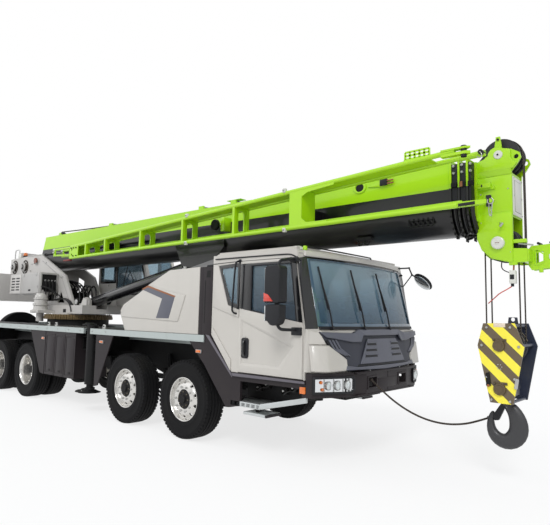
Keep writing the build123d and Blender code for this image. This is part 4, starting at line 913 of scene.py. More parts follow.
    def facing(self, outer: Sequence[Flat], skin: Callable[[float, float], float], thickness: float,
               finish: Finish, inner: Optional[Sequence[Flat]] = None, bevel: float = 0.003,
               cuts: int = 14) -> None:
        """Adds a plate in Y and Z that follows a curved front.

        Args:
            outer: its outline.
            skin: station of the plate's outer face at a place in Y and Z.
            thickness: how far it reaches back from there.
            finish: its surface.
            inner: outline of the hole in it, if it has one.
            bevel: size of its rounded edges.
            cuts: how often it is divided across its width.
        """
        part = bmesh.new()
        if inner is None:
            part.faces.new([part.verts.new(Axis.X.place(u, v, 0)) for u, v in outer])
        else:
            self.bridged(part, outer, inner, Axis.X, 0)
        low, high = min(u for u, _ in outer), max(u for u, _ in outer)
        for k in range(1, cuts):
            bmesh.ops.bisect_plane(part, geom=part.verts[:] + part.edges[:] + part.faces[:],
                                   plane_co=(0, low + (high - low) * k / cuts, 0), plane_no=(0, 1, 0))
        for vert in part.verts:
            vert.co.x = skin(vert.co.y, vert.co.z) - thickness
        self.raise_faces(part, part.faces[:], Vector((thickness, 0, 0)))
        self.take(part, finish, bevel, 1)

    def lathe(self, profile: Sequence[Flat], centre: Point, axis: Axis, finish: Finish, steps: int = 48,
              closed: bool = True, flip: bool = False) -> None:
        """Adds a turned shape.

        Args:
            profile: radius, and distance along the axis, of each corner.
            centre: point on the axis that distances count from.
            axis: the axis.
            finish: its surface.
            steps: sides around it.
            closed: whether the profile's last corner joins its first.
            flip: whether distances count against the axis.
        """
        part = bmesh.new()
        middle, way = Vector(centre), axis.place(0, 0, -1 if flip else 1)
        verts = [part.verts.new(middle + axis.place(r, 0, 0) + way * along) for r, along in profile]
        pairs = list(zip(verts, verts[1:])) + ([(verts[-1], verts[0])] if closed else [])
        edges = [part.edges.new(pair) for pair in pairs]
        bmesh.ops.spin(part, geom=verts + edges, cent=middle, axis=axis.place(0, 0, 1), dvec=(0, 0, 0),
                       angle=math.tau, steps=steps, use_merge=True, use_duplicate=False)
        self.take(part, finish, crease=0.5)

    def tube(self, points: Sequence[Point], radius: float, finish: Finish, sides: int = 8) -> None:
        """Adds a bent bar, hose or wire that runs smoothly by its points.

        Args:
            points: where it runs; it starts at the first and ends at the last.
            radius: its radius.
            finish: its surface.
            sides: how round it is.
        """
        curve = smooth_run("run", points, radius, max(0, sides // 4 - 1), 6)
        holder = bpy.data.objects.new("run", curve)
        mesh = bpy.data.meshes.new_from_object(holder)
        part = bmesh.new()
        part.from_mesh(mesh)
        for data in (holder, mesh, curve):
            bpy.data.batch_remove([data])
        self.take(part, finish, crease=1.2)

    def bolt(self, at: Point, way: Vector, radius: float, finish: Finish) -> None:
        """Adds a hexagon head with its shank's end.

        Args:
            at: middle of the face it sits on.
            way: direction it stands out in.
            radius: from its middle to a corner.
            finish: its surface.
        """
        start = Vector(at)
        self.rod(start, start + way * radius * 0.9, radius, finish, sides=6)
        self.rod(start, start + way * radius * 1.5, radius * 0.55, finish, sides=8)

    def bolt_circle(self, count: int, circle: float, centre: Point, axis: Axis, way: Vector, radius: float,
                    finish: Finish) -> None:
        """Adds bolts around a circle.

        Args:
            count: how many.
            circle: the circle's radius.
            centre: its middle.
            axis: the axis across which it lies.
            way: direction that the bolts stand out in.
            radius: from a bolt's middle to a corner.
            finish: their surface.
        """
        for at in ring_of(count, circle, centre, axis):
            self.bolt(at, way, radius, finish)

    def join(self, other: "Shape") -> None:
        """Adds another shape to this one, with its finishes.

        Args:
            other: the shape to add, used up here.
        """
        numbers = [self.slot_of(finish) for finish in other.finishes]
        mesh = as_mesh(other.name, other.bm)
        self.bm.from_mesh(mesh)
        self.bm.faces.ensure_lookup_table()
        for face in self.bm.faces[len(self.bm.faces) - len(mesh.polygons):]:
            face.material_index = numbers[face.material_index]
        bpy.data.meshes.remove(mesh)

    def carve(self, cutter: "Shape") -> None:
        """Cuts another shape out of this one.

        Args:
            cutter: the shape to cut out, used up here.
        """
        holders = [placed(s.name, as_mesh(s.name, s.bm)) for s in (self, cutter)]
        cut = holders[0].modifiers.new("cut", "BOOLEAN")
        cut.operation, cut.object, cut.solver = "DIFFERENCE", holders[1], "EXACT"
        mesh = bpy.data.meshes.new_from_object(
            holders[0].evaluated_get(bpy.context.evaluated_depsgraph_get()))
        self.bm = bmesh.new()
        self.bm.from_mesh(mesh)
        bpy.data.batch_remove(holders + [holder.data for holder in holders] + [mesh])
        for edge in self.bm.edges:
            edge.smooth = edge.is_manifold and edge.calc_face_angle(4) < 0.5

    def mirror(self) -> "Shape":
        """Adds the same again on the other side of the machine.

        Returns:
            The same shape.
        """
        made = bmesh.ops.duplicate(self.bm, geom=self.bm.verts[:] + self.bm.edges[:] + self.bm.faces[:])
        verts = [g for g in made["geom"] if isinstance(g, bmesh.types.BMVert)]
        faces = [g for g in made["geom"] if isinstance(g, bmesh.types.BMFace)]
        bmesh.ops.scale(self.bm, vec=(1, -1, 1), verts=verts)
        bmesh.ops.reverse_faces(self.bm, faces=faces)
        return self

    def flip(self) -> "Shape":
        """Puts the piece on the other side of the machine.

        Returns:
            The same shape.
        """
        bmesh.ops.scale(self.bm, vec=(1, -1, 1), verts=self.bm.verts)
        bmesh.ops.reverse_faces(self.bm, faces=self.bm.faces)
        return self

    def sided(self, side: Side) -> "Shape":
        """Leaves a piece drawn on the left there, or puts it on the right."""
        return self if side is Side.LEFT else self.flip()

    def done(self, body: str, slot: str, replaces: Iterable[str] = ()) -> bpy.types.Object:
        """Makes the piece an object that moves with a body.

        Args:
            body: the CAD body it rides on.
            slot: the record's material slot; not used.
            replaces: CAD nodes that it stands for.
        Returns:
            The object.
        """
        bmesh.ops.translate(self.bm, vec=(FRONT_AXLE, 0, 0), verts=self.bm.verts)
        mesh = as_mesh(self.name, self.bm)
        for finish in self.finishes:
            mesh.materials.append(finish.material())
        made = placed(self.name, mesh)
        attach(made, body)
        if replaces:
            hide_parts(*replaces)
        log.info("%s: %d faces on %s", self.name, len(mesh.polygons), body)
        return made


# ------------------------------------------------------------------ studio
@dataclass
class Studio:
    """Pale floor, soft light and the camera."""

    place: Point = (7.688, -5.921, 1.706)
    heading: float = 41.411
    pitch: float = 5.967
    roll: float = 1.203
    lens: float = 33.93
    floor_half: float = 60.0
    key: tuple[Point, float, float] = ((48, 0, 30), 1.35, 20.0)
    fill: tuple[Point, float, float] = ((60, 0, -50), 0.42, 60.0)

    @property
    def lamps(self) -> dict[str, tuple[Point, float, float]]:
        """Turn in degrees, power and apparent width in degrees of each lamp."""
        return {"key": self.key, "fill": self.fill}

    def build(self) -> None:
        """Sets up camera, lamps, world and floor."""
        self.camera()
        self.lights()
        self.floor()

    def camera(self) -> None:
        """Makes the scene's camera."""
        data = bpy.data.cameras.new("camera")
        data.lens, data.sensor_width, data.clip_end = self.lens, 36.0, 500.0
        made = placed("camera", data)
        yaw, tilt, roll = (math.radians(a) for a in (self.heading, self.pitch, self.roll))
        ahead = Vector((-math.sin(yaw) * math.cos(tilt), math.cos(yaw) * math.cos(tilt), math.sin(tilt)))
        level = Vector((math.cos(yaw), math.sin(yaw), 0.0))
        over = level.cross(ahead)
        right = level * math.cos(roll) + over * math.sin(roll)
        up = over * math.cos(roll) - level * math.sin(roll)
        turn = Matrix((right, up, -ahead)).transposed().to_4x4()
        made.matrix_world = Matrix.Translation(self.place) @ turn
        bpy.context.scene.camera = made

    def lights(self) -> None:
        """Makes a pale sky and two soft lamps."""
        world = bpy.data.worlds.new("studio")
        bpy.context.scene.world = world
        graph = Graph.afresh(world)
        path = graph.node("LightPath")
        sky = graph.node("TexCoord").outputs["Generated"]
        z = graph.node("SeparateXYZ", {0: sky}).outputs[2]
        glow = graph.mix(graph.remap(z, -0.25, 0.6), (0.52, 0.52, 0.52, 1), (0.74, 0.76, 0.79, 1))
        passed = graph.math("MULTIPLY", path.outputs["Is Transmission Ray"], 0.85)
        mirrored = graph.math("MULTIPLY", path.outputs["Is Glossy Ray"], 0.25)
        seen = graph.math("MAXIMUM", path.outputs["Is Camera Ray"], graph.math("MAXIMUM", passed, mirrored))
        ground = graph.node("Background", {"Color": graph.mix(seen, glow, (1, 1, 1, 1)), "Strength": 1.0})
        graph.node("OutputWorld", {0: ground.outputs[0]})
        for name, (turn, power, angle) in self.lamps.items():
            data = bpy.data.lights.new(name, "SUN")
            data.energy, data.angle = power, math.radians(angle)
            placed(name, data).rotation_euler = [math.radians(a) for a in turn]
        bpy.context.scene.view_settings.view_transform = "Standard"

    def floor(self) -> None:
        """Makes the floor, which shows white but keeps the crane's shadow."""
        bm = bmesh.new()
        bmesh.ops.create_grid(bm, x_segments=1, y_segments=1, size=self.floor_half)
        mesh = as_mesh("floor", bm)
        made = placed("floor", mesh)
        pale = bpy.data.materials.new("studio_floor")
        graph = Graph.afresh(pale)
        matt = graph.node("BsdfPrincipled", {"Base Color": (0.9, 0.9, 0.9, 1), "Roughness": 0.9})
        glow = graph.node("Emission", {"Color": (1, 1, 1, 1), "Strength": 1.0})
        path = graph.node("LightPath")
        seen = graph.math("MAXIMUM", path.outputs["Is Camera Ray"],
                          graph.math("MAXIMUM", path.outputs["Is Transmission Ray"],
                                     path.outputs["Is Glossy Ray"]))
        both = graph.node("MixShader", {0: graph.math("MULTIPLY", seen, 0.75), 1: matt.outputs[0],
                                        2: glow.outputs[0]})
        graph.node("OutputMaterial", {0: both.outputs[0]})
        mesh.materials.append(pale)


# ------------------------------------------------------------------ wheels
@dataclass
class Wheel:
    """A road wheel: one tyre in front, two on the driven axles."""

    station: float
    side: Side
    body: str
    twin: bool
    face_y: float = 1.236
    width: float = 0.3
    gap: float = 0.05
    radius: float = 0.54
    lugs: int = 56
    lug: Point = (0.036, 0.052, 0.026)
    hole_circle: float = 0.236
    stud_circle: float = 0.168
    drive_stud_circle: float = 0.138
    TREAD = [(0.292, 0.118), (0.3, 0.136), (0.345, 0.147), (0.352, 0.1495), (0.36, 0.147), (0.4, 0.15),
             (0.46, 0.1485), (0.466, 0.1505), (0.472, 0.148), (0.505, 0.142), (0.525, 0.132),
             (0.533, 0.118), (0.538, 0.088), (0.526, 0.085), (0.526, 0.075), (0.5395, 0.072),
             (0.5395, 0.034), (0.527, 0.031), (0.527, 0.023), (0.54, 0.02)]
    OPEN_RIM = [(0.3, 0.118), (0.3015, 0.133), (0.292, 0.137), (0.284, 0.129), (0.277, 0.104),
                (0.264, 0.086), (0.25, 0.084), (0.25, 0.066), (0.262, 0.066), (0.27, 0.0), (0.262, -0.09),
                (0.285, -0.118), (0.3, -0.118), (0.29, -0.1), (0.285, 0.0), (0.29, 0.1)]
    DISC = [(0.264, 0.08), (0.228, 0.104), (0.212, 0.122), (0.2, 0.127), (0.138, 0.127), (0.13, 0.12),
            (0.13, 0.1), (0.2, 0.108), (0.222, 0.088), (0.264, 0.062)]
    DISH = [(0.3, 0.118), (0.3015, 0.133), (0.292, 0.137), (0.284, 0.129), (0.274, 0.104), (0.264, 0.06),
            (0.258, -0.03), (0.25, -0.072), (0.21, -0.092), (0.165, -0.098), (0.104, -0.098),
            (0.104, -0.113), (0.165, -0.113), (0.25, -0.096), (0.272, -0.06), (0.285, -0.118),
            (0.3, -0.118), (0.296, -0.105), (0.288, 0.0), (0.29, 0.105)]

    def build(self) -> None:
        """Makes the tyres and rims."""
        middle = self.face_y - self.width / 2
        rubber = Shape(self.body + "_tyres")
        metal = Shape(self.body + "_rims")
        self.tyre(rubber, middle)
        if self.twin:
            inner = middle - self.width - self.gap
            self.tyre(rubber, inner)
            self.twin_rims(metal, middle, inner)
        else:
            self.front_rim(metal, middle)
        rubber.sided(self.side).done(self.body, "tyre", [self.body])
        metal.sided(self.side).done(self.body, "deck_aluminium")

    def tyre(self, shape: Shape, middle: float) -> None:
        """Adds one tyre with its grooves and shoulder lugs.

        Args:
            shape: the shape to add to.
            middle: the tyre's place across.
        """
        profile = self.TREAD + [(r, -h) for r, h in reversed(self.TREAD)]
        shape.lathe(profile, (self.station, middle, self.radius), Axis.Y, RUBBER, steps=72)
        for sign in (-1, 1):
            for k in range(self.lugs):
                angle = math.tau * (k + 0.25 * sign) / self.lugs
                part = cube(self.lug)
                outer = [v for v in part.verts if v.co.y * sign > 0]
                bmesh.ops.translate(part, vec=(0, 0, -0.01), verts=outer)
                move = (Matrix.Translation((self.station, middle, self.radius))
                        @ Matrix.Rotation(-angle, 4, "Y") @ Matrix.Translation((0, sign * 0.12, 0.5255)))
                bmesh.ops.transform(part, matrix=move, verts=part.verts)
                shape.take(part, RUBBER)

    def front_rim(self, shape: Shape, middle: float) -> None:
        """Adds a polished rim with ten round hand holes, studs and the hub.

        Args:
            shape: the shape to add to.
            middle: the rim's place across.
        """
        centre = Vector((self.station, middle, self.radius))
        shape.lathe(self.OPEN_RIM, centre, Axis.Y, POLISHED, steps=60)
        disc = Shape("disc")
        disc.lathe(self.DISC, centre, Axis.Y, POLISHED, steps=60)
        holes = Shape("holes")
        for at in ring_of(10, self.hole_circle, centre, Axis.Y, 0.31):
            holes.rod(at + LEFTWARDS * 0.03, at + LEFTWARDS * 0.16, 0.022, BLACK, sides=16)
        disc.carve(holes)
        shape.join(disc)
        shape.bolt_circle(10, self.stud_circle, centre + LEFTWARDS * 0.126, Axis.Y, LEFTWARDS, 0.016, STEEL)
        hub = [(0.0, 0.158), (0.048, 0.158), (0.055, 0.15), (0.057, 0.134), (0.118, 0.13), (0.127, 0.122),
               (0.128, 0.02), (0.0, 0.02)]
        shape.lathe(hub, centre, Axis.Y, BLACK, steps=32, closed=False)
        shape.bolt_circle(8, 0.1, centre + LEFTWARDS * 0.129, Axis.Y, LEFTWARDS, 0.011, GUN)
        shape.rod(centre - LEFTWARDS * 0.16, centre + LEFTWARDS * 0.02, 0.205, BLACK, sides=40, bevel=0.01)

    def twin_rims(self, shape: Shape, middle: float, inner: float) -> None:
        """Adds the deep outer rim, the inner rim behind it and the drive hub.

        Args:
            shape: the shape to add to.
            middle: the outer rim's place across.
            inner: the inner rim's place across.
        """
        centre = Vector((self.station, middle, self.radius))
        shape.lathe(self.DISH, centre, Axis.Y, POLISHED, steps=60)
        shape.lathe(self.DISH, (self.station, inner, self.radius), Axis.Y, POLISHED, steps=60, flip=True)
        shape.bolt_circle(10, self.drive_stud_circle, centre - LEFTWARDS * 0.099, Axis.Y, LEFTWARDS, 0.017,
                          STEEL)
        hub = [(0.0, 0.052), (0.06, 0.052), (0.068, 0.046), (0.074, 0.0), (0.098, -0.01), (0.102, -0.11),
               (0.0, -0.11)]
        shape.lathe(hub, centre, Axis.Y, BLACK, steps=32, closed=False)
        shape.bolt_circle(8, 0.084, centre - LEFTWARDS * 0.008, Axis.Y, LEFTWARDS, 0.01, STEEL)


# ------------------------------------------------------------------ driver's cab
@dataclass
class CabFront:
    """Curved front of the driver's cab, in plan an arc between two slanted corners.

    The three numbers of a level are the stations of the front's edge, corner and middle.
    """

    under_belt: Point = (2.165, 2.29, 2.39)
    over_belt: Point = (2.165, 2.25, 2.375)
    rake: Point = (0.15, 0.235, 0.235)
    belt: float = 1.56
    roof: float = 2.5
    corner_y: float = 1.12
    side_y: float = 1.25

    def skin(self, y: float, z: float) -> float:
        """Station of the cab's bare front at a place in Y and Z.

        Args:
            y, z: the place.
        Returns:
            The station.
        """
        edge, corner, middle = self.under_belt
        if z > self.belt:
            lift = (z - self.belt) / (self.roof - self.belt)
            edge, corner, middle = (at - back * lift for at, back in zip(self.over_belt, self.rake))
        if abs(y) > self.corner_y:
            share = min(1.0, (abs(y) - self.corner_y) / (self.side_y - self.corner_y))
            return corner + (edge - corner) * share
        rise = middle - corner
        radius = (rise * rise + self.corner_y ** 2) / (2 * rise)
        return middle - radius + math.sqrt(radius * radius - y * y)

    def off(self, by: float, lean: float = 0.0) -> Callable[[float, float], float]:
        """Skin moved forwards by a distance, and further by lean for each metre below the belt."""
        return lambda y, z: self.skin(y, z) + by + lean * max(0.0, self.belt - z)


FRONT = CabFront()


def both(outline: Sequence[Flat]) -> list[Flat]:
    """An outline in Y and Z and its mirror image, joined into one."""
    return list(outline) + [(-u, v) for u, v in reversed(outline)]


@dataclass
class FrontPanel:
    """Grey panel under the windscreen, with wings, slots and a bare middle plate; its recessed base is
    painted shade in a darker grey, and its dark chevrons, slots and the strip under the plate are painted
    shade.
    """

    lean: float = 0.14
    wing: Sequence[Flat] = ((1.155, 1.545), (0.62, 1.528), (0.5, 1.572), (0.42, 1.53), (0.5, 1.425),
                            (0.66, 1.425), (1.09, 1.485))
    base: Sequence[Flat] = ((0.0, 1.574), (0.5, 1.574), (0.62, 1.53), (1.15, 1.545), (1.075, 1.42),
                            (0.775, 1.235), (0.775, 1.095), (0.0, 1.095))
    plate: Sequence[Flat] = ((0.0, 1.46), (0.345, 1.46), (0.545, 1.165), (0.0, 1.165))

    def build(self) -> None:
        """Makes the panel in place of the plain one."""
        made = Shape("front_panel")
        # Recessed base in a darker grey: painted shade.
        made.facing(both(self.base)[1:-1], FRONT.off(0.014, self.lean), 0.03, GRILLE_RECESS_SHADE, bevel=0.006)
        for sign in (1, -1):
            made.facing(to_side(self.wing, sign), FRONT.off(0.042, self.lean), 0.03, GRILLE,
                        bevel=0.008, cuts=8)
            self.chevrons(made, sign)
            self.slots(made, sign)
        made.facing(both(((0.0, 1.572), (0.505, 1.572), (0.425, 1.5), (0.0, 1.5)))[1:-1],
                    FRONT.off(0.04, self.lean), 0.03, GRILLE, bevel=0.008)
        made.facing(both(self.plate)[1:-1], FRONT.off(0.03, self.lean), 0.02, GRILLE, bevel=0.006)
        made.facing(both(((0.0, 1.135), (0.62, 1.135), (0.8, 1.16), (0.83, 1.105), (0.0, 1.085)))[1:-1],
                    FRONT.off(0.036, self.lean), 0.04, GRILLE, bevel=0.008)
        # Dark strip under the middle plate: painted shade in the recess above the lip.
        made.facing(both(((0.0, 1.165), (0.575, 1.165), (0.6, 1.137), (0.0, 1.137)))[1:-1],
                    FRONT.off(0.0165, self.lean), 0.01, MOULDED_AND_SHADE)
        made.done(CARRIER, "grille_grey", ["front_grille"])

    def chevrons(self, made: Shape, sign: int) -> None:
        """Adds four dark chevrons under a wing as painted shade in the grooves, and three raised ones
        between them.

        Args:
            made: the shape to add to.
            sign: side of the panel.
        """
        for k in range(4):
            shift = 0.052 * k
            top, knee = (1.095 - shift, 1.452), (1.02 - shift, 1.345)
            end = (0.83 - shift * 0.7, 1.262 - k * 0.004)
            dark = [top, (top[0] - 0.03, top[1]), (knee[0] - 0.022, knee[1] + 0.006),
                    (end[0], end[1] + 0.012), end, (knee[0], knee[1] - 0.012)]
            # Dark plates: painted shade in the grooves between the raised chevrons.
            made.facing(to_side(dark, sign), FRONT.off(0.017, self.lean), 0.012, MOULDED_AND_SHADE, bevel=0.0,
                        cuts=3)
            light = [(y - 0.034, z + 0.006) for y, z in dark]
            if k < 3:
                made.facing(to_side(light, sign), FRONT.off(0.026, self.lean), 0.014, GRILLE,
                            bevel=0.003, cuts=3)

    def slots(self, made: Shape, sign: int) -> None:
        """Adds the air slots beside the bare middle, as dark plates of painted shade under grey brows.

        Args:
            made: the shape to add to.
            sign: side of the panel.
        """
        for k, z in enumerate((1.385, 1.315, 1.245)):
            inner, outer = 0.175, 0.345 + 0.03 * k
            slot = [(inner, z - 0.004), (inner + 0.02, z + 0.024), (outer + 0.03, z + 0.024),
                    (outer + 0.045, z - 0.004)]
            # Dark plate: painted shade in the slot's opening.
            made.facing(to_side(slot, sign), FRONT.off(0.0315, self.lean), 0.01, MOULDED_AND_SHADE, bevel=0.0,
                        cuts=3)
            brow = [(inner - 0.01, z + 0.022), (inner + 0.01, z + 0.038), (outer + 0.03, z + 0.038),
                    (outer + 0.03, z + 0.022)]
            made.facing(to_side(brow, sign), FRONT.off(0.042, self.lean), 0.02, GRILLE,
                        bevel=0.004, cuts=3)


@dataclass
class CabTrim:
    """Dark window surrounds, corner panels, roof pieces, wipers and the grab rail."""

    wipers: Sequence[float] = (-0.94, -0.36, 0.24)

    def build(self) -> None:
        """Makes the fixed trim of the cab."""
        self.surrounds()
        self.corners()
        self.roof()
        self.wiper_set()
        self.rail()
        self.kerb_mirror()
        self.sills()

    def surrounds(self) -> None:
        """Black frames of the windscreen and the side windows, and the rear quarter's panel line."""
        made = Shape("window_surrounds")
        screen = both(((1.086, 1.642), (1.072, 2.388)))
        made.facing(both(((1.15, 1.585), (1.125, 2.425))), FRONT.off(0.006), 0.02, GLOSS, inner=screen,
                    cuts=18)
        made.facing(both(((1.132, 1.604), (1.11, 2.4))), FRONT.off(0.012), 0.02, BORDER, inner=screen,
                    cuts=18)
        made.facing(both(((1.12, 1.57), (1.12, 1.606))), FRONT.off(0.02), 0.03, MOULDED_AND_SHADE, cuts=18)
        for sign in (1, -1):
            pillar = [(1.13, 1.58), (1.2515, 1.575), (1.2515, 1.66), (1.2515, 2.3), (1.245, 2.395),
                      (1.108, 2.425)]
            made.facing(to_side(pillar, sign), FRONT.off(0.01), 0.018, GLOSS, cuts=3)
        half = Shape("half")
        half.hoop([(0.69, 2.365), (1.088, 2.385), (1.088, 1.785), (0.885, 1.845)],
                  [(0.748, 2.318), (1.046, 2.336), (1.041, 1.856), (0.929, 1.88)], Axis.Y, 1.248, 1.256,
                  GLOSS)
        half.prism([(0.575, 2.395), (1.09, 2.408), (1.09, 2.4), (0.575, 2.386)], Axis.Y, 1.249, 1.253,
                   MOULDED_AND_SHADE, 0.0)
        half.prism([(2.006, 2.415), (2.15, 1.6), (2.15, 1.575), (2.168, 1.575), (2.168, 1.6),
                    (2.028, 2.415)], Axis.Y, 1.244, 1.2525, GLOSS, 0.001)
        half.prism([(0.59, 2.388), (0.59, 1.825), (0.745, 1.776), (1.088, 1.684), (1.088, 1.783),
                    (0.883, 1.843), (0.686, 2.367)], Axis.Y, 1.249, 1.265, BODY, 0.007, 2)
        half.prism([(0.59, 1.56), (0.96, 1.15), (0.96, 1.01), (0.59, 1.44)], Axis.Y, 1.249, 1.262, BODY,
                   0.006)
        made.join(half.mirror())
        made.done(CARRIER, "mirror_black")

    def corners(self) -> None:
        """Pale panels between the grille and the doors."""
        made = Shape("corner_panels")
        for sign in (1, -1):
            upper = [(1.235, 1.555), (1.16, 1.55), (1.085, 1.425), (1.06, 1.4), (1.235, 1.4)]
            lower = [(1.235, 1.395), (1.055, 1.395), (0.785, 1.232), (0.785, 1.1), (1.235, 1.1)]
            made.facing(to_side(upper, sign), FRONT.off(0.02, 0.03), 0.03, BODY, bevel=0.008,
                        cuts=4)
            made.facing(to_side(lower, sign), FRONT.off(0.026, 0.14), 0.05, BODY, bevel=0.01,
                        cuts=7)
        made.done(CARRIER, "body_paint")

    def roof(self) -> None:
        """Roof edge, gutter, rail, beacon and marker lamps."""
        made = Shape("roof_trim")
        cap = [(0.6, 2.498), (0.64, 2.522), (1.93, 2.522), (2.035, 2.47), (2.03, 2.455), (1.92, 2.498)]
        made.prism(cap, Axis.Y, -1.235, 1.235, BODY, 0.01)
        made.prism([(0.66, 2.52), (1.86, 2.52), (1.8, 2.544), (0.7, 2.544)], Axis.Y, -1.1, 1.1, BODY, 0.012)
        made.facing(both(((1.16, 2.425), (1.14, 2.492))), FRONT.off(0.03), 0.05, BODY, bevel=0.012, cuts=18)
        for sign in (1, -1):
            made.tube([(0.62, sign * 1.256, 2.452), (1.8, sign * 1.256, 2.452), (1.98, sign * 1.25, 2.436),
                       (2.06, sign * 1.235, 2.36)], 0.009, MOULDED_AND_SHADE)
        made.tube([(1.97, -1.04, 2.5), (1.97, -1.04, 2.556), (1.97, -0.98, 2.562), (1.97, 0.42, 2.562),
                   (1.97, 0.48, 2.556), (1.97, 0.48, 2.5)], 0.01, MOULDED_AND_SHADE)
        made.lathe([(0.0, 0.045), (0.045, 0.04), (0.066, 0.02), (0.07, 0.0), (0.0, 0.0)],
                   (1.9, -1.1, 2.515), Axis.Z, PALE, steps=24, closed=False)
        made.lathe([(0.0, 0.055), (0.024, 0.05), (0.032, 0.0), (0.0, 0.0)], (1.97, -1.045, 2.51), Axis.Z,
                   LIME, steps=16, closed=False)
        for y in (-0.55, 0.0, 0.55):
            made.block((1.955, y - 0.05, 2.492), (2.01, y + 0.05, 2.522), AMBER, 0.008)
        made.done(CARRIER, "body_paint")

    def wiper_set(self) -> None:
        """Three wipers, each an arm, a blade and its spindle."""
        made = Shape("wipers")
        for y in self.wipers:
            base, tip = (y, 1.585), (y - 0.03, 2.1)
            points = [(FRONT.skin(u, z) + out, u, z) for u, z, out in (
                (base[0], base[1], 0.03), (y - 0.005, 1.72, 0.048), (y - 0.02, 1.92, 0.044), (*tip, 0.03))]
            made.tube(points, 0.01, MOULDED_AND_SHADE)
            blade = [(FRONT.skin(u, z) + 0.022, u, z) for u, z in (
                (y - 0.005, 1.8), (y - 0.012, 1.95), (y - 0.022, 2.12), (y - 0.035, 2.31))]
            made.tube(blade, 0.011, MOULDED_AND_SHADE)
            made.rod((FRONT.skin(y, 1.585) - 0.01, y, 1.58), (FRONT.skin(y, 1.585) + 0.05, y, 1.592), 0.022,
                     MOULDED_AND_SHADE, sides=14, bevel=0.004)
        made.done(CARRIER, "mirror_black")

    def rail(self) -> None:
        """Grab rails behind both doors."""
        made = Shape("grab_rails")
        made.tube([(1.082, 1.25, 2.405), (1.075, 1.3, 2.405), (1.062, 1.322, 2.36), (1.028, 1.322, 1.83),
                   (1.022, 1.318, 1.765), (1.045, 1.29, 1.735), (1.05, 1.25, 1.735)], 0.0125, MOULDED_AND_SHADE,
                  sides=12)
        for x, z in ((1.082, 2.405), (1.05, 1.735)):
            made.rod((x, 1.249, z), (x, 1.262, z), 0.026, MOULDED_AND_SHADE, sides=14, bevel=0.003)
        made.mirror().done(CARRIER, "mirror_black")

    def kerb_mirror(self) -> None:
        """Oval mirror on bent arms that looks down at the kerb ahead of the left corner."""
        made = Shape("kerb_mirror_set")
        joint = (2.2, 1.275, 2.373)
        for a, b, r in (((2.022, 1.062, 2.456), (2.15, 1.28, 2.48), 0.011),
                        ((2.15, 1.28, 2.48), joint, 0.011), (joint, (2.29, 1.425, 2.29), 0.011),
                        (joint, (2.063, 1.216, 2.171), 0.008)):
            made.rod(a, b, r, MOULDED_AND_SHADE, sides=12)
        for at in ((2.15, 1.28, 2.48), joint):
            made.lathe([(0.0, 0.017), (0.014, 0.01), (0.017, 0.0), (0.014, -0.01), (0.0, -0.017)], at,
                       Axis.Z, MOULDED_AND_SHADE, steps=16, closed=False)
        out = Vector((-0.1, -0.8, -0.6)).normalized()
        along = Vector((0.625, 0.416, -0.662)).normalized()
        turn = Matrix((along, out.cross(along), out)).transposed().to_4x4()
        for long, wide, deep, shift, finish in ((0.16, 0.105, 0.04, -0.016, MOULDED_AND_SHADE),
                                                (0.142, 0.088, 0.014, 0.02, MIRROR)):
            part = bmesh.new()
            bmesh.ops.create_uvsphere(part, u_segments=32, v_segments=14, radius=1.0)
            move = Matrix.Translation(Vector((2.3, 1.42, 2.27)) + out * shift)
            bmesh.ops.transform(part, matrix=move @ turn @ Matrix.Diagonal((long, wide, deep, 1)),
                                verts=part.verts)
            made.take(part, finish)
        made.done(CARRIER, "mirror_black", ["kerb_mirror"])

    def sills(self) -> None:
        """Edge of the arch behind the cab, the sill's folded top in a lighter paint as a painted highlight,
        a black plate of painted shade behind the steps with blocks and hoses before it, and the aluminium
        steps with rows of dark slabs as painted shade in their holes.
        """
        edge = Shape("sill_edges")
        edge.prism([(0.43, 1.452), (0.505, 1.452), (0.555, 1.448), (0.985, 0.99), (0.96, 0.96),
                    (0.52, 1.42)], Axis.Y, 1.225, 1.262, DARK, 0.01)
        edge.prism([(0.965, 1.0), (2.15, 1.0), (2.165, 0.985), (2.165, 0.955), (0.985, 0.962)], Axis.Y,
                   1.2, 1.262, DARK, 0.01)
        edge.prism(rectangle(2.08, 0.925, 2.16, 0.85), Axis.Y, 1.225, 1.252, AMBER, 0.004)
        # Lighter strips on the upward-facing folds: painted highlight.
        edge.prism([(0.47, 1.448), (0.54, 1.44), (0.99, 0.975), (1.0, 0.93)], Axis.Y, 1.255, 1.266, FOLD_HIGHLIGHT,
                   0.004)
        edge.prism([(0.99, 0.988), (2.15, 0.988), (2.16, 0.962), (1.01, 0.95)], Axis.Y, 1.255, 1.266, FOLD_HIGHLIGHT,
                   0.004)
        # Black plate behind the steps: painted shade under the cab.
        edge.prism([(0.93, 0.595), (1.05, 0.595), (2.13, 0.74), (2.13, 0.94), (0.93, 0.94)], Axis.Y, 0.86,
                   0.9, BLACK, 0.004)
        for k in range(7):
            x, z = 1.12 + 0.145 * k, 0.8 + 0.05 * (k % 3)
            edge.block((x, 0.89, z - 0.05), (x + 0.09, 0.95, z + 0.03), BLACK, 0.01)
            edge.rod((x + 0.04, 0.94, z), (x + 0.04, 0.965, z), 0.013, STEEL, sides=8)
            edge.tube([(x, 0.93, z), (x + 0.05, 0.99, z - 0.06), (x + 0.13, 0.97, z + 0.02),
                       (x + 0.18, 0.92, z)], 0.009, HOSE)
        edge.mirror().done(CARRIER, "dark_paint")
        steps = Shape("cab_steps")
        steps.block((0.955, 0.915, 0.586), (1.47, 1.236, 0.65), ALU, 0.006)
        steps.block((1.176, 0.945, 0.5), (1.54, 1.225, 0.534), ALU, 0.005)
        for k in range(9):
            steps.block((0.98 + 0.058 * k, 0.935, 0.643), (1.012 + 0.058 * k, 1.215, 0.65), ALU, 0.002)
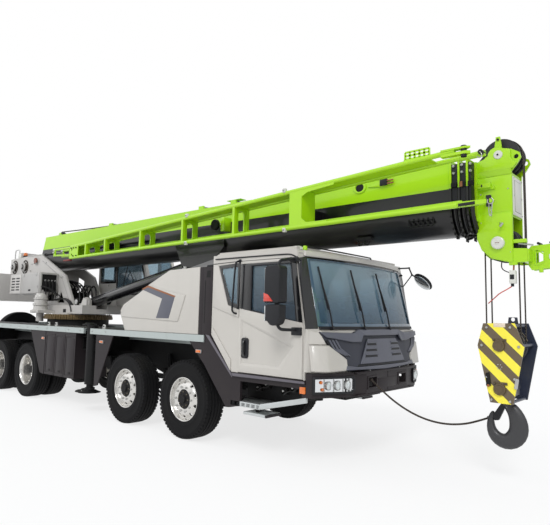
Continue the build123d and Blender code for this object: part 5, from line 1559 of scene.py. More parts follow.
        # Rows of dark slabs on the step's face: painted shade in its holes.
        for k in range(6):
            for j in range(3):
                x, z = 0.985 + 0.085 * k, 0.6 + 0.014 * j
                steps.block((x, 1.235, z), (x + 0.055, 1.2385, z + 0.006), MOULDED_AND_SHADE, 0.0)
        steps.prism([(1.436, 0.596), (1.502, 0.596), (2.17, 0.752), (2.17, 0.812), (1.47, 0.656)], Axis.Y,
                    1.212, 1.2395, ALU, 0.004)
        steps.mirror().done(CARRIER, "deck_aluminium")


@dataclass
class CabDoor:
    """Skin, window frame, handle and mirror of one door."""

    side: Side
    recess: Sequence[Flat] = ((1.15, 1.636), (1.958, 1.352), (1.758, 1.127), (1.16, 1.13))
    slope: Flat = (0.056, 0.036)

    def build(self) -> None:
        """Makes what the door carries."""
        body = f"{self.side.word}_door"
        skin = Shape(body + "_skin")
        outer = [(1.1, 1.8), (2.122, 1.64), (2.122, 1.012), (1.1, 1.012)]
        part = bmesh.new()
        faces = skin.bridged(part, outer, list(self.recess), Axis.Y, 1.249)
        skin.raise_faces(part, faces, Vector((0, 0.017, 0)))
        middle = Vector((sum(p[0] for p in self.recess) / 4, 0, sum(p[1] for p in self.recess) / 4))
        for vert in part.verts:
            if vert.co.y > 1.255 and any(abs(vert.co.x - x) + abs(vert.co.z - z) < 1e-4
                                         for x, z in self.recess):
                away = Vector((vert.co.x, 0, vert.co.z)) - middle
                vert.co.x += self.slope[0] * (1 if away.x > 0 else -0.4)
                vert.co.z += math.copysign(self.slope[1], away.z)
        skin.take(part, BODY, 0.002, 2)
        skin.prism([(1.1, 2.366), (1.1, 2.396), (1.998, 2.396), (2.004, 2.366)], Axis.Y, 1.249, 1.259, BODY)
        skin.sided(self.side).done(body, "body_paint")
        trim = Shape(body + "_trim")
        trim.hoop([(1.1, 2.364), (2.006, 2.364), (2.114, 1.646), (1.1, 1.803)],
                  [(1.3, 2.334), (1.932, 2.334), (2.024, 1.652), (1.294, 1.779)], Axis.Y, 1.248, 1.2585,
                  GLOSS)
        trim.hoop([(1.284, 2.345), (1.943, 2.345), (2.036, 1.64), (1.28, 1.768)],
                  [(1.304, 2.33), (1.928, 2.33), (2.02, 1.656), (1.298, 1.783)], Axis.Y, 1.236, 1.262,
                  MOULDED_AND_SHADE)
        self.handle(trim)
        trim.sided(self.side).done(body, "mirror_black")
        if self.side is Side.RIGHT:
            self.mirror(body)

    def handle(self, made: Shape) -> None:
        """Adds the handle in its cup.

        Args:
            made: the shape to add to.
        """
        made.prism([(1.146, 1.205), (1.146, 1.415), (1.164, 1.435), (1.252, 1.435), (1.27, 1.415),
                    (1.27, 1.205), (1.252, 1.185), (1.164, 1.185)], Axis.Y, 1.25, 1.264, MOULDED_AND_SHADE, 0.006)
        made.tube([(1.205, 1.258, 1.215), (1.205, 1.288, 1.235), (1.205, 1.29, 1.32), (1.205, 1.288, 1.39),
                   (1.205, 1.258, 1.408)], 0.016, GLOSS, sides=12)
        made.rod((1.205, 1.258, 1.447), (1.205, 1.264, 1.447), 0.008, STEEL, sides=12)

    def mirror(self, body: str) -> None:
        """Makes the two-part mirror with its arms in place of the plain one.

        Args:
            body: the door that carries it.
        """
        made = Shape(body + "_mirror_set")
        made.prism([(1.856, 1.872), (1.872, 1.858), (2.062, 1.858), (2.08, 1.88), (2.08, 2.244),
                    (2.056, 2.276), (1.888, 2.276), (1.86, 2.24)], Axis.Y, 1.492, 1.634, MOULDED_AND_SHADE, 0.022, 4)
        made.prism([(1.862, 1.842), (2.076, 1.842), (2.076, 1.69), (2.046, 1.628), (1.99, 1.606),
                    (1.94, 1.61), (1.876, 1.668)], Axis.Y, 1.498, 1.626, MOULDED_AND_SHADE, 0.018, 4)
        for y0, y1, z0, z1 in ((1.502, 1.618, 1.885, 2.25), (1.508, 1.612, 1.655, 1.825)):
            made.block((1.846, y0, z0), (1.8615, y1, z1), MIRROR, 0.004)
        made.prism([(1.853, 1.874), (1.853, 1.972), (1.918, 1.95), (1.972, 1.895), (1.99, 1.874)], Axis.Y,
                   1.578, 1.6385, RED, 0.004)
        made.tube([(2.0, 1.56, 2.26), (2.0, 1.55, 2.335), (2.0, 1.46, 2.35), (2.0, 1.33, 2.375),
                   (2.01, 1.262, 2.378)], 0.017, MOULDED_AND_SHADE, sides=12)
        made.tube([(1.945, 1.28, 2.395), (1.985, 1.33, 2.375), (2.0, 1.46, 2.355)], 0.013, MOULDED_AND_SHADE)
        made.block((1.935, 1.251, 2.345), (2.055, 1.298, 2.4), MOULDED_AND_SHADE, 0.012, 3)
        made.tube([(1.99, 1.56, 1.64), (2.0, 1.54, 1.575), (2.02, 1.46, 1.56), (2.05, 1.3, 1.562)], 0.018,
                  MOULDED_AND_SHADE, sides=12)
        made.block((1.985, 1.25, 1.5), (2.118, 1.306, 1.59), MOULDED_AND_SHADE, 0.01, 3)
        made.rod((1.99, 1.56, 1.835), (1.99, 1.56, 1.865), 0.03, MOULDED_AND_SHADE, sides=16)
        made.sided(self.side).done(body, "mirror_black", ["right_mirror"])


@dataclass
class CabInside:
    """Seats, dashboard and steering wheel behind the glass."""

    def build(self) -> None:
        """Makes the inside in place of the plain one."""
        made = Shape("cab_fittings")
        made.prism([(1.905, 1.31), (1.955, 1.5), (2.02, 1.548), (2.195, 1.548), (2.195, 1.31)], Axis.Y,
                   -1.055, 1.055, TRIM, 0.016, 3)
        made.prism([(1.895, 1.5), (1.96, 1.6), (2.08, 1.6), (2.08, 1.52)], Axis.Y, 0.4, 0.88, TRIM, 0.014,
                   3)
        made.block((1.955, -0.31, 1.052), (2.08, 0.31, 1.32), TRIM, 0.02, 3)
        tilt = Matrix.Rotation(math.radians(-60), 4, "Y")
        wheel = Shape("wheel")
        wheel.lathe([(0.195, -0.015), (0.187, 0.0), (0.195, 0.015), (0.215, 0.015), (0.225, 0.0),
                     (0.215, -0.015)], (0, 0, 0), Axis.Z, MOULDED_AND_SHADE, steps=40)
        wheel.lathe([(0.0, 0.012), (0.05, 0.01), (0.06, -0.01), (0.0, -0.012)], (0, 0, 0), Axis.Z, TRIM,
                    steps=24, closed=False)
        for angle in (math.pi / 2, math.pi * 7 / 6, math.pi * 11 / 6):
            end = (0.2 * math.cos(angle), 0.2 * math.sin(angle), 0)
            wheel.rod((0, 0, 0), end, 0.016, MOULDED_AND_SHADE, sides=10)
        wheel.rod((0, 0, 0), (0, 0, -0.26), 0.026, TRIM, sides=16)
        move = Matrix.Translation((1.74, 0.64, 1.59)) @ tilt @ Matrix.Rotation(math.pi, 4, "X")
        bmesh.ops.transform(wheel.bm, matrix=move, verts=wheel.bm.verts)
        made.join(wheel)
        for y in (-0.64, 0.64):
            made.block((0.99, y - 0.14, 1.052), (1.31, y + 0.14, 1.36), TRIM, 0.012)
        made.block((0.625, -1.15, 1.5), (0.64, 1.15, 1.86), TRIM, 0.004)
        made.done(CARRIER, "interior", ["cab_interior"])
        for label, y in (("right", -0.64), ("left", 0.64)):
            PaddedSeat(f"{label}_driver_seat", CARRIER, (0, y, 0), 0.235).build()


@dataclass
class PaddedSeat:
    """Cushion, back and headrest of a seat, with their seams.

    Each part is its lowest and highest corner in X and Z, and how far it leans back in radians,
    for the driver's seat on the machine's middle line.
    """

    name: str
    body: str
    shift: Point
    half: float
    PARTS = {"cushion": ((0.93, 1.352), (1.4, 1.468), 0.0), "back": ((0.9, 1.44), (1.02, 1.96), -0.155),
             "headrest": ((0.91, 1.99), (1.0, 2.12), -0.155)}
    pivot: Point = (0.95, 0.0, 1.44)
    headrest_share: float = 0.55
    seam_share: float = 0.62
    seam_depth: float = 0.008
    rim_share: float = 0.72
    fill: float = 0.7

    def build(self) -> None:
        """Makes the three parts."""
        pivot = Vector(self.pivot)
        for label, (lo, hi, lean) in self.PARTS.items():
            width = self.half * (self.headrest_share if label == "headrest" else 1.0)
            part = self.pad(Vector((hi[0] - lo[0], 2 * width, hi[1] - lo[1])),
                            0 if label == "cushion" else 2)
            middle = Vector(((lo[0] + hi[0]) / 2, 0, (lo[1] + hi[1]) / 2))
            tilt = Matrix.Translation(pivot) @ Matrix.Rotation(lean, 4, "Y")
            move = Matrix.Translation(self.shift) @ tilt @ Matrix.Translation(middle - pivot)
            bmesh.ops.transform(part, matrix=move, verts=part.verts)
            made = Shape(f"{self.name}_{label}")
            made.take(part, CLOTH, crease=3.0)
            piece = made.done(self.body, "interior")
            soft = piece.modifiers.new("soft", "SUBSURF")
            soft.levels = soft.render_levels = 1

    def pad(self, size: Vector, wide: int) -> bmesh.types.BMesh:
        """One stuffed part around the origin.

        Args:
            size: its size.
            wide: number of the axis along which it is wide, 0 for a level part and 2 for an upright one.
        Returns:
            The part.
        """
        part = cube(size)
        bmesh.ops.subdivide_edges(part, edges=part.edges, cuts=9, use_grid_fill=True)
        thin = 2 - wide
        for vert in part.verts:
            share = [abs(c) / (s / 2) for c, s in zip(vert.co, size)]
            crown = (1 - share[1] ** 4) * (1 - share[wide] ** 4)
            vert.co[thin] *= self.rim_share + (1 - self.rim_share) * crown
            if share[thin] > 0.5 and abs(abs(vert.co.y) - size.y / 2 * self.seam_share) < size.y / 24:
                vert.co[thin] -= math.copysign(self.seam_depth, vert.co[thin])
            vert.co.y *= 1 - 0.05 * share[wide] ** 2
        bmesh.ops.smooth_vert(part, verts=part.verts, factor=0.5, use_axis_x=True, use_axis_y=True,
                              use_axis_z=True)
        return part


# ------------------------------------------------------------------ engine cover and carrier
@dataclass
class EngineCover:
    """Raised plates, dark wedge, a brown strip of painted shade under the recess's top edge, columns, top
    and side lamps of the cover behind the cab.
    """

    def build(self) -> None:
        """Makes the trim on both sides and the cover's top."""
        made = Shape("cover_plates")
        plate = [(-1.493, 1.443), (-1.64, 1.7), (-1.6, 1.79), (-0.905, 2.15), (-0.392, 2.352),
                 (0.288, 2.367), (0.288, 1.443)]
        made.prism(plate, Axis.Y, 1.232, 1.246, BODY, 0.008, 3)
        made.prism([(-1.61, 1.77), (-1.58, 1.655), (-0.15, 1.606), (0.004, 1.983), (-0.13, 2.0),
                    (-0.892, 2.136), (-0.96, 2.112)], Axis.Y, 1.236, 1.262, BODY, 0.014, 3)
        # Brown strip on the recess's downward-facing top wall: painted shade.
        made.prism([(-1.049, 2.087), (-0.892, 2.14), (-0.205, 1.972), (-0.24, 1.955), (-0.885, 2.112),
                    (-1.01, 2.075)], Axis.Y, 1.25, 1.2655, BRONZE_AND_SHADE, 0.002)
        made.prism([(-1.03, 2.078), (-0.89, 2.118), (-0.225, 1.956), (-0.348, 1.65), (-0.655, 1.648),
                    (-0.525, 1.938)], Axis.Y, 1.25, 1.2645, GRILLE, 0.003)
        made.mirror().done(CARRIER, "body_paint")
        self.column()
        self.top()
        self.lamps()

    def column(self) -> None:
        """Dark faceted column between cover and cab, with a slot at its top and a groove."""
        made = Shape("intake_columns")
        for low, high, face in ((0.298, 0.4, 1.246), (0.39, 0.566, 1.256)):
            made.prism(rectangle(low, 1.446, high, 2.352), Axis.Y, 1.238, face, DARK, 0.006, 3)
        made.prism(rectangle(0.418, 1.6, 0.432, 2.18), Axis.Y, 1.25, 1.2575, BLACK, 0.0)
        made.prism([(0.44, 2.215), (0.53, 2.215), (0.53, 2.312), (0.455, 2.312)], Axis.Y, 1.25, 1.2575,
                   BLACK, 0.0)
        made.block((0.4, 1.1, 2.36), (0.53, 1.22, 2.395), MOULDED_AND_SHADE, 0.01)
        made.mirror().done(CARRIER, "grille_grey")

    def top(self) -> None:
        """Louvres and lifting eyes on the cover's top."""
        made = Shape("cover_top")
        for k in range(11):
            x = -0.3 + 0.05 * k
            made.block((x, -0.8, 2.362), (x + 0.026, 0.8, 2.384), DARK, 0.004)
        for y in (-1.05, 1.05):
            made.tube([(-0.35, y, 2.352), (-0.35, y, 2.395), (-0.27, y, 2.398), (-0.27, y, 2.355)], 0.009,
                      STEEL)
        made.rod((0.12, 0.95, 2.36), (0.12, 0.95, 2.64), 0.06, MOULDED_AND_SHADE, sides=24, bevel=0.008)
        made.rod((0.12, 0.95, 2.6), (0.12, 0.95, 2.68), 0.085, MOULDED_AND_SHADE, sides=24, bevel=0.012)
        made.done(CARRIER, "dark_paint")

    def lamps(self) -> None:
        """Amber side lamps in their bright sockets."""
        made = Shape("side_lamps")
        for x, z in ((0.314, 1.217), (-2.173, 1.226), (-4.3, 1.2), (-6.95, 1.2)):
            made.prism(rectangle(x - 0.058, z - 0.024, x + 0.058, z + 0.024), Axis.Y, 1.236, 1.247, STEEL,
                       0.008)
            made.prism(rectangle(x - 0.046, z - 0.017, x + 0.046, z + 0.017), Axis.Y, 1.24, 1.258, AMBER,
                       0.006)
        made.mirror().done(CARRIER, "glass")


@dataclass
class FrontEnd:
    """Headlamps, bumper trim and tow fittings."""

    nose: float = 2.5
    knee_y: float = 0.5
    sweep: float = 0.171
    corner: float = 2.44
    corner_y: float = 0.85
    corner_sweep: float = 0.475

    def build(self) -> None:
        """Makes the lamps and the bumper's trim."""
        self.headlamps()
        self.bumper()

    def headlamps(self) -> None:
        """Three round lamps and two turn lamps in a dark frame at each corner."""
        made = Shape("headlamps")
        outline = ((1.225, 0.88), (0.765, 0.872), (0.742, 0.9), (0.742, 1.0), (0.765, 1.022),
                   (1.225, 1.022))
        for sign in (1, -1):
            made.facing(to_side(outline, sign), self.front(0.004), 0.02, CHROME, bevel=0.0, cuts=6)
            for y, r in ((0.835, 0.052), (0.955, 0.052), (1.065, 0.046)):
                centre = (self.front(0.004)(y, 0.94), sign * y, 0.946)
                made.lathe([(0.0, -0.005), (r * 0.6, 0.004), (r * 0.95, 0.016), (r * 1.06, 0.016),
                            (r * 1.06, -0.005)], centre, Axis.X, STEEL, steps=28, closed=False)
                made.lathe([(0.0, 0.022), (r * 0.7, 0.019), (r * 0.96, 0.011), (r * 0.96, 0.004),
                            (0.0, 0.004)], centre, Axis.X, HEADLAMP, steps=28, closed=False)
            for y, z in ((1.135, 0.905), (1.15, 0.985)):
                x = self.front(0.006)(y, z)
                made.rod((x, sign * y, z), (x + 0.014, sign * y, z), 0.02, AMBER, sides=14, bevel=0.003)
            frame_line = [(1.243, 0.858), (0.752, 0.85), (0.718, 0.885), (0.718, 1.015), (0.752, 1.046),
                          (1.243, 1.046)]
            made.facing(to_side(frame_line, sign), self.front(0.024), 0.05, MOULDED_AND_SHADE,
                        inner=to_side(outline, sign), bevel=0.003, cuts=6)
            for k in range(3):
                y = 0.893 + 0.11 * k
                made.facing(to_side(rectangle(y + 0.004, 0.88, y - 0.004, 1.015), sign),
                            self.front(0.014), 0.01, STEEL, bevel=0.0, cuts=2)
        made.done(CARRIER, "glass")

    def front(self, off: float) -> Callable[[float, float], float]:
        """Station of the bumper's front face, moved forwards by a distance.

        Args:
            off: the distance.
        Returns:
            Function that gives the station at a place in Y and Z.
        """
        def face(y: float, _: float) -> float:
            """Station at a distance across, the same at every height.

            Args:
                y: the distance across.
                _: the height; not used.
            Returns:
                The station.
            """
            out = abs(y)
            if out > self.corner_y:
                return self.corner - self.corner_sweep * (out - self.corner_y) + off
            return self.nose - self.sweep * max(0.0, out - self.knee_y) + off

        return face

    def bumper(self) -> None:
        """Lips, seam, tow openings' frames, tow pins with their rings, and the step behind the lip."""
        made = Shape("bumper_trim")
        made.block((2.47, -0.72, 1.06), (2.512, 0.72, 1.083), DARK, 0.006)
        made.block((2.48, -0.7, 0.806), (2.508, 0.7, 0.826), DARK, 0.006)
        made.block((2.497, -0.004, 0.83), (2.503, 0.004, 1.06), BLACK, 0.0)
        for sign in (1, -1):
            made.hoop(rectangle(sign * 0.258, 0.873, sign * 0.482, 1.027),
                      rectangle(sign * 0.278, 0.893, sign * 0.462, 1.007), Axis.X, 2.492, 2.509, DARK,
                      0.004)
            made.rod((2.445, sign * 0.37, 1.055), (2.445, sign * 0.37, 1.098), 0.026, STEEL, sides=18,
                     bevel=0.004)
            made.tube([(2.445, sign * 0.37, 1.095), (2.445, sign * 0.34, 1.125),
                       (2.445, sign * 0.37, 1.148), (2.445, sign * 0.4, 1.125),
                       (2.445, sign * 0.37, 1.095)], 0.007, STEEL)
        made.block((2.49, -0.24, 0.865), (2.504, 0.2, 0.985), DARK, 0.004)
        made.block((2.18, -0.5, 1.06), (2.47, 0.5, 1.09), BLACK, 0.004)
        made.done(CARRIER, "dark_paint")


@dataclass
class CarrierFittings:
    """Side box doors, deck edge, axle springs, dampers, and the outriggers' jacks."""

    jacks: Sequence[tuple[str, float]] = (("front", -2.775), ("rear", -7.75))
    jack_y: float = 1.136

    def build(self) -> None:
        """Makes the fittings on the carrier."""
        self.boxes()
        self.deck_edge()
        self.chassis()
        self.outriggers()

    def boxes(self) -> None:
        """Door frames, raised panels and latches of the side boxes."""
        made = Shape("box_doors")
        y = abs(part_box("side_boxes")[0].y)
        for lo, hi in ((-4.175, -3.805), (-3.785, -3.425), (-3.405, -3.035)):
            made.hoop(rectangle(lo, 0.545, hi, 1.29), rectangle(lo + 0.03, 0.575, hi - 0.03, 1.26), Axis.Y,
                      y - 0.006, y + 0.006, DARK, 0.003)
            made.prism(rectangle(lo + 0.045, 0.59, hi - 0.045, 1.245), Axis.Y, y - 0.006, y + 0.004, DARK,
                       0.004)
            made.block(((lo + hi) / 2 - 0.04, y, 0.6), ((lo + hi) / 2 + 0.04, y + 0.01, 0.64), BLACK, 0.004)
        made.mirror().done(CARRIER, "dark_paint")

    def deck_edge(self) -> None:
        """Bolts and lugs along the deck's edge."""
        made = Shape("deck_rails")
        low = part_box("deck")[0]
        tail, edge = low.x - FRONT_AXLE, abs(low.y)
        x = tail + 0.3
        while x < -1.7:
            made.bolt((x, edge - 0.001, 1.395), LEFTWARDS, 0.01, STEEL)
            x += 0.42
        for x in (-7.35, -6.75, -4.15, -3.85, -2.15):
            made.prism([(x - 0.05, 1.44), (x - 0.03, 1.515), (x + 0.03, 1.515), (x + 0.05, 1.44)], Axis.Y,
                       edge - 0.045, edge - 0.025, STEEL, 0.004)
            made.rod((x, edge - 0.052, 1.485), (x, edge - 0.018, 1.485), 0.014, BLACK, sides=14)
        made.mirror().done(CARRIER, "deck_aluminium")

    def chassis(self) -> None:
        """Leaf springs and dampers at the axles, and an air tank on each side."""
        made = Shape("running_gear")
        for x in AXLES:
            for k in range(5):
                half = 0.48 - 0.07 * k
                z = 0.775 - 0.016 * k
                made.tube([(x - half, 0.4, z + 0.04), (x - half * 0.5, 0.4, z + 0.004), (x, 0.4, z - 0.006),
                           (x + half * 0.5, 0.4, z + 0.004), (x + half, 0.4, z + 0.04)], 0.012, BLACK)
            made.block((x - 0.07, 0.35, 0.58), (x + 0.07, 0.45, 0.79), BLACK, 0.008)
            made.rod((x + 0.22, 0.5, 0.62), (x + 0.1, 0.46, 1.05), 0.038, BLACK, sides=18, bevel=0.006)
            made.rod((x + 0.24, 0.51, 0.56), (x + 0.22, 0.5, 0.64), 0.024, STEEL, sides=14)
        made.rod((-2.34, 0.56, 0.86), (-2.34, 1.0, 0.86), 0.115, BLACK, sides=30, bevel=0.02)
        made.mirror().done(CARRIER, "frame_black")

    def outriggers(self) -> None:
        """Foot plates and jack heads."""
        for place, x in self.jacks:
            for side in Side:
                body = f"{place}_{side.word}_jack"
                foot = Shape(body + "_foot")
                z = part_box(body)[0].z
                foot.lathe([(0.0, 0.055), (0.075, 0.05), (0.095, 0.03), (0.165, 0.022), (0.178, 0.012),
                            (0.178, 0.0), (0.0, 0.0)], (x, self.jack_y, z), Axis.Z, BLACK, steps=36,
                           closed=False)
                foot.bolt_circle(6, 0.135, (x, self.jack_y, z + 0.024), Axis.Z, UP, 0.011, STEEL)
                foot.sided(side).done(body, "frame_black")
                beam = f"{place}_{side.word}_outrigger_beam"
                cap = Shape(f"{place}_{side.word}_beam_cap")
                cap.lathe([(0.0, 0.048), (0.06, 0.046), (0.085, 0.03), (0.112, 0.026), (0.118, 0.0),
                           (0.0, 0.0)], (x, self.jack_y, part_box(beam)[1].z - 0.004), Axis.Z, BLACK,
                          steps=30, closed=False)
                cap.sided(side).done(beam, "frame_black")


# ------------------------------------------------------------------ turntable
@dataclass
class Turntable:
    """Drives, winches, valves, hoses and counterweight trim of the upper works."""

    winches: Sequence[tuple[str, float, float]] = (("main_winch", -7.43, 2.81),
                                                   ("auxiliary_winch", -8.03, 2.83))
    boom_pin: Flat = (-6.79, 2.93)
    lift_pin: Flat = (-4.7, 1.93)
    ballast_joints: Flat = (2.16, 2.4)
    rope_radius: float = 0.168
    rope_pitch: float = 0.02
    teeth: int = 110

    def build(self) -> None:
        """Makes the pieces that ride on the turntable and its winches."""
        self.drive()
        self.side_plates()
        self.cover_box()
        self.winch_box()
        self.hoses()
        self.ballast()
        for name, x, z in self.winches:
            self.drum(name, x, z)
        self.ring()

    def drive(self) -> None:
        """Slewing drive: stepped housing with flanges, bolts and a motor on top."""
        made = Shape("slewing_drive")
        centre = (-5.7, -0.7, 1.68)
        made.lathe([(0.0, 0.535), (0.05, 0.53), (0.06, 0.5), (0.062, 0.45), (0.098, 0.425), (0.124, 0.385),
                    (0.132, 0.33), (0.15, 0.326), (0.15, 0.3), (0.132, 0.296), (0.136, 0.2), (0.16, 0.196),
                    (0.16, 0.166), (0.142, 0.16), (0.15, 0.08), (0.182, 0.06), (0.182, 0.02), (0.1, 0.0),
                    (0.0, 0.0)], centre, Axis.Z, UPPER, steps=40, closed=False)
        for circle, up in ((0.142, 0.326), (0.152, 0.196)):
            made.bolt_circle(16, circle, (*centre[:2], centre[2] + up), Axis.Z, UP, 0.008, STEEL)
        made.block((-5.745, -0.745, 2.21), (-5.655, -0.655, 2.3), BLACK, 0.012, 3)
        made.rod((-5.7, -0.745, 2.255), (-5.7, -0.79, 2.255), 0.022, STEEL, sides=6)
        for y, z in ((-0.745, 2.262), (-0.665, 2.24)):
            made.tube([(-5.655, y, z), (-5.6, y, z + 0.01), (-5.52, y + 0.12, z - 0.03),
                       (-5.46, y + 0.3, z - 0.2)], 0.013, HOSE, sides=10)
        made.done("turntable", "light_paint")

    def side_plates(self) -> None:
        """Pin heads, thick edges, ribs and bolts of the turntable's side plates."""
        made = Shape("turntable_trim")
        x, z = self.boom_pin
        for y in (-0.3615, 0.3315):
            made.rod((x, y, z), (x, y + 0.03, z), 0.105, UPPER, sides=36, bevel=0.006)
        for sign in (-1, 1):
            self.plate(made, sign)
        made.block((-4.7, 0.3, 2.3), (-4.66, 0.33, 2.34), UPPER, 0.004)
        made.done("turntable", "light_paint")

    def plate(self, made: Shape, sign: int) -> None:
        """Adds the trim of one side plate.

        Args:
            made: the shape to add to.
            sign: the plate's side.
        """
        outwards = LEFTWARDS * sign
        x, z = self.boom_pin
        made.rod((x, sign * 0.385, z), (x, sign * 0.415, z), 0.072, AMBER_CAP, sides=30, bevel=0.006)
        made.block((-6.86, sign * 0.392 - 0.006, 2.845), (-6.72, sign * 0.392 + 0.006, 2.885), STEEL, 0.003)
        for x in (-6.84, -6.74):
            made.bolt((x, sign * 0.398, 2.865), outwards, 0.011, STEEL)
        x, z = self.lift_pin
        made.rod((x, sign * 0.37, z), (x, sign * 0.398, z), 0.085, BLACK, sides=30, bevel=0.006)
        made.rod((x, sign * 0.395, z), (x, sign * 0.41, z), 0.055, STEEL, sides=24, bevel=0.004)
        for _, x, z in self.winches:
            made.lathe([(0.0, 0.05), (0.036, 0.048), (0.042, 0.024), (0.07, 0.02), (0.078, 0.01),
                        (0.112, 0.008), (0.114, -0.004), (0.0, -0.004)],
                       (x, sign * 0.412, z), Axis.Y, GREY_AND_SHADE, steps=36, closed=False, flip=sign < 0)
            made.lathe([(0.044, 0.034), (0.06, 0.034), (0.06, 0.016), (0.044, 0.016)], (x, sign * 0.412, z),
                       Axis.Y, BLACK, steps=30, flip=sign < 0)
            made.bolt_circle(8, 0.092, (x, sign * 0.418, z), Axis.Y, outwards, 0.01, STEEL)
        for x, z in ((-4.98, 1.94), (-5.46, 2.5), (-6.3, 2.86), (-6.52, 2.62), (-7.05, 2.86), (-7.1, 2.7)):
            made.bolt((x, sign * 0.3605, z), outwards, 0.015, STEEL)
        edge = [(-4.88, 1.895), (-5.32, 2.527), (-6.585, 3.079), (-7.3, 3.086)]
        within = [(-4.898, 1.882), (-5.335, 2.51), (-6.59, 3.06), (-7.3, 3.066)]
        for k in range(3):
            made.prism([edge[k], edge[k + 1], within[k + 1], within[k]], Axis.Y, sign * 0.345 - 0.028,
                       sign * 0.345 + 0.028, UPPER, 0.003)
        rib = [(-5.02, 1.9), (-5.46, 2.47), (-6.5, 2.925), (-6.5, 2.905), (-5.475, 2.452), (-5.035, 1.885)]
        for k in range(2):
            made.prism([rib[k], rib[k + 1], rib[4 - k], rib[5 - k]], Axis.Y, sign * 0.36 - 0.006,
                       sign * 0.36 + 0.006, GREY_AND_SHADE, 0.002)

    def cover_box(self) -> None:
        """Vented cover on the right: doors, the right one in a darker grey as painted shade, louvres with
        dark slots of painted shade, hinges, and hoses at its open front end, where a black sheet paints the
        shade inside.
        """
        made = Shape("vented_cover")
        made.prism(rectangle(-7.175, 2.12, -6.6, 2.56), Axis.Y, -0.794, -0.776, UPPER, 0.012, 3)
        # Right door in a darker grey than the left one: painted shade.
        made.prism(rectangle(-6.585, 2.12, -5.66, 2.56), Axis.Y, -0.79, -0.776, GREY_AND_SHADE, 0.012, 3)
        made.hoop(rectangle(-0.772, 2.125, -0.385, 2.56), rectangle(-0.735, 2.15, -0.405, 2.535), Axis.X,
                  -5.655, -5.628, GREY_AND_SHADE, 0.004)
        # Black sheet in the open front end: painted shade inside the cover.
        made.block((-5.652, -0.74, 2.145), (-5.644, -0.4, 2.54), BLACK, 0.0)
        for k in range(4):
            y = -0.695 + 0.075 * k
            made.block((-5.646, y, 2.19), (-5.622, y + 0.055, 2.36), BLACK, 0.005)
            made.rod((-5.632, y + 0.027, 2.4), (-5.612, y + 0.027, 2.4), 0.02, STEEL, sides=6)
            made.tube([(-5.622, y + 0.027, 2.4), (-5.59, y + 0.03, 2.38), (-5.585, y + 0.04, 2.22),
                       (-5.62, y + 0.05, 2.06), (-5.64, y + 0.06, 1.98)], 0.012, HOSE, sides=10)
        made.block((-7.18, -0.77, 2.562), (-5.655, -0.38, 2.58), GREY_AND_SHADE, 0.006)
        # Dark louvre slots: painted shade under the brows.
        for column in (-7.09, -6.84):
            for k in range(5):
                z = 2.19 + 0.066 * k
                made.prism(rectangle(column, z, column + 0.185, z + 0.03), Axis.Y, -0.7955, -0.785, MOULDED_AND_SHADE,
                           0.002, 1)
                made.prism(rectangle(column - 0.004, z + 0.028, column + 0.189, z + 0.042), Axis.Y, -0.803,
                           -0.788, UPPER, 0.003, 1)
        for x in (-6.45, -5.8):
            made.block((x - 0.03, -0.8, 2.5), (x + 0.03, -0.785, 2.566), STEEL, 0.004)
        made.block((-6.16, -0.8, 2.165), (-6.06, -0.786, 2.205), MOULDED_AND_SHADE, 0.004)
        made.done("turntable", "light_paint")

    def winch_box(self) -> None:
        """Electric box, lamp and handrail above the winches."""
        made = Shape("winch_top_parts")
        made.block((-7.93, -0.335, 3.045), (-7.76, 0.1, 3.195), UPPER, 0.014, 3)
        made.block((-7.925, -0.345, 3.065), (-7.765, -0.333, 3.175), PALE, 0.006)
        made.rod((-7.6, -0.3, 3.045), (-7.6, -0.3, 3.115), 0.055, MOULDED_AND_SHADE, sides=24, bevel=0.008)
        made.lathe([(0.0, 0.08), (0.038, 0.07), (0.052, 0.035), (0.054, 0.0), (0.0, 0.0)],
                   (-7.6, -0.3, 3.112), Axis.Z, AMBER, steps=24, closed=False)
        made.tube([(-8.22, -0.3, 3.04), (-8.22, -0.3, 3.26), (-8.18, -0.3, 3.285), (-8.0, -0.3, 3.285),
                   (-7.96, -0.3, 3.26), (-7.96, -0.3, 3.06)], 0.012, STEEL, sides=10)
        for y in (-0.15, 0.05, 0.22):
            made.tube([(-7.8, y, 3.1), (-7.6, y, 3.13), (-7.45, y + 0.03, 3.1), (-7.32, y + 0.05, 3.02)],
                      0.013, HOSE, sides=10)
        made.done("turntable", "light_paint")

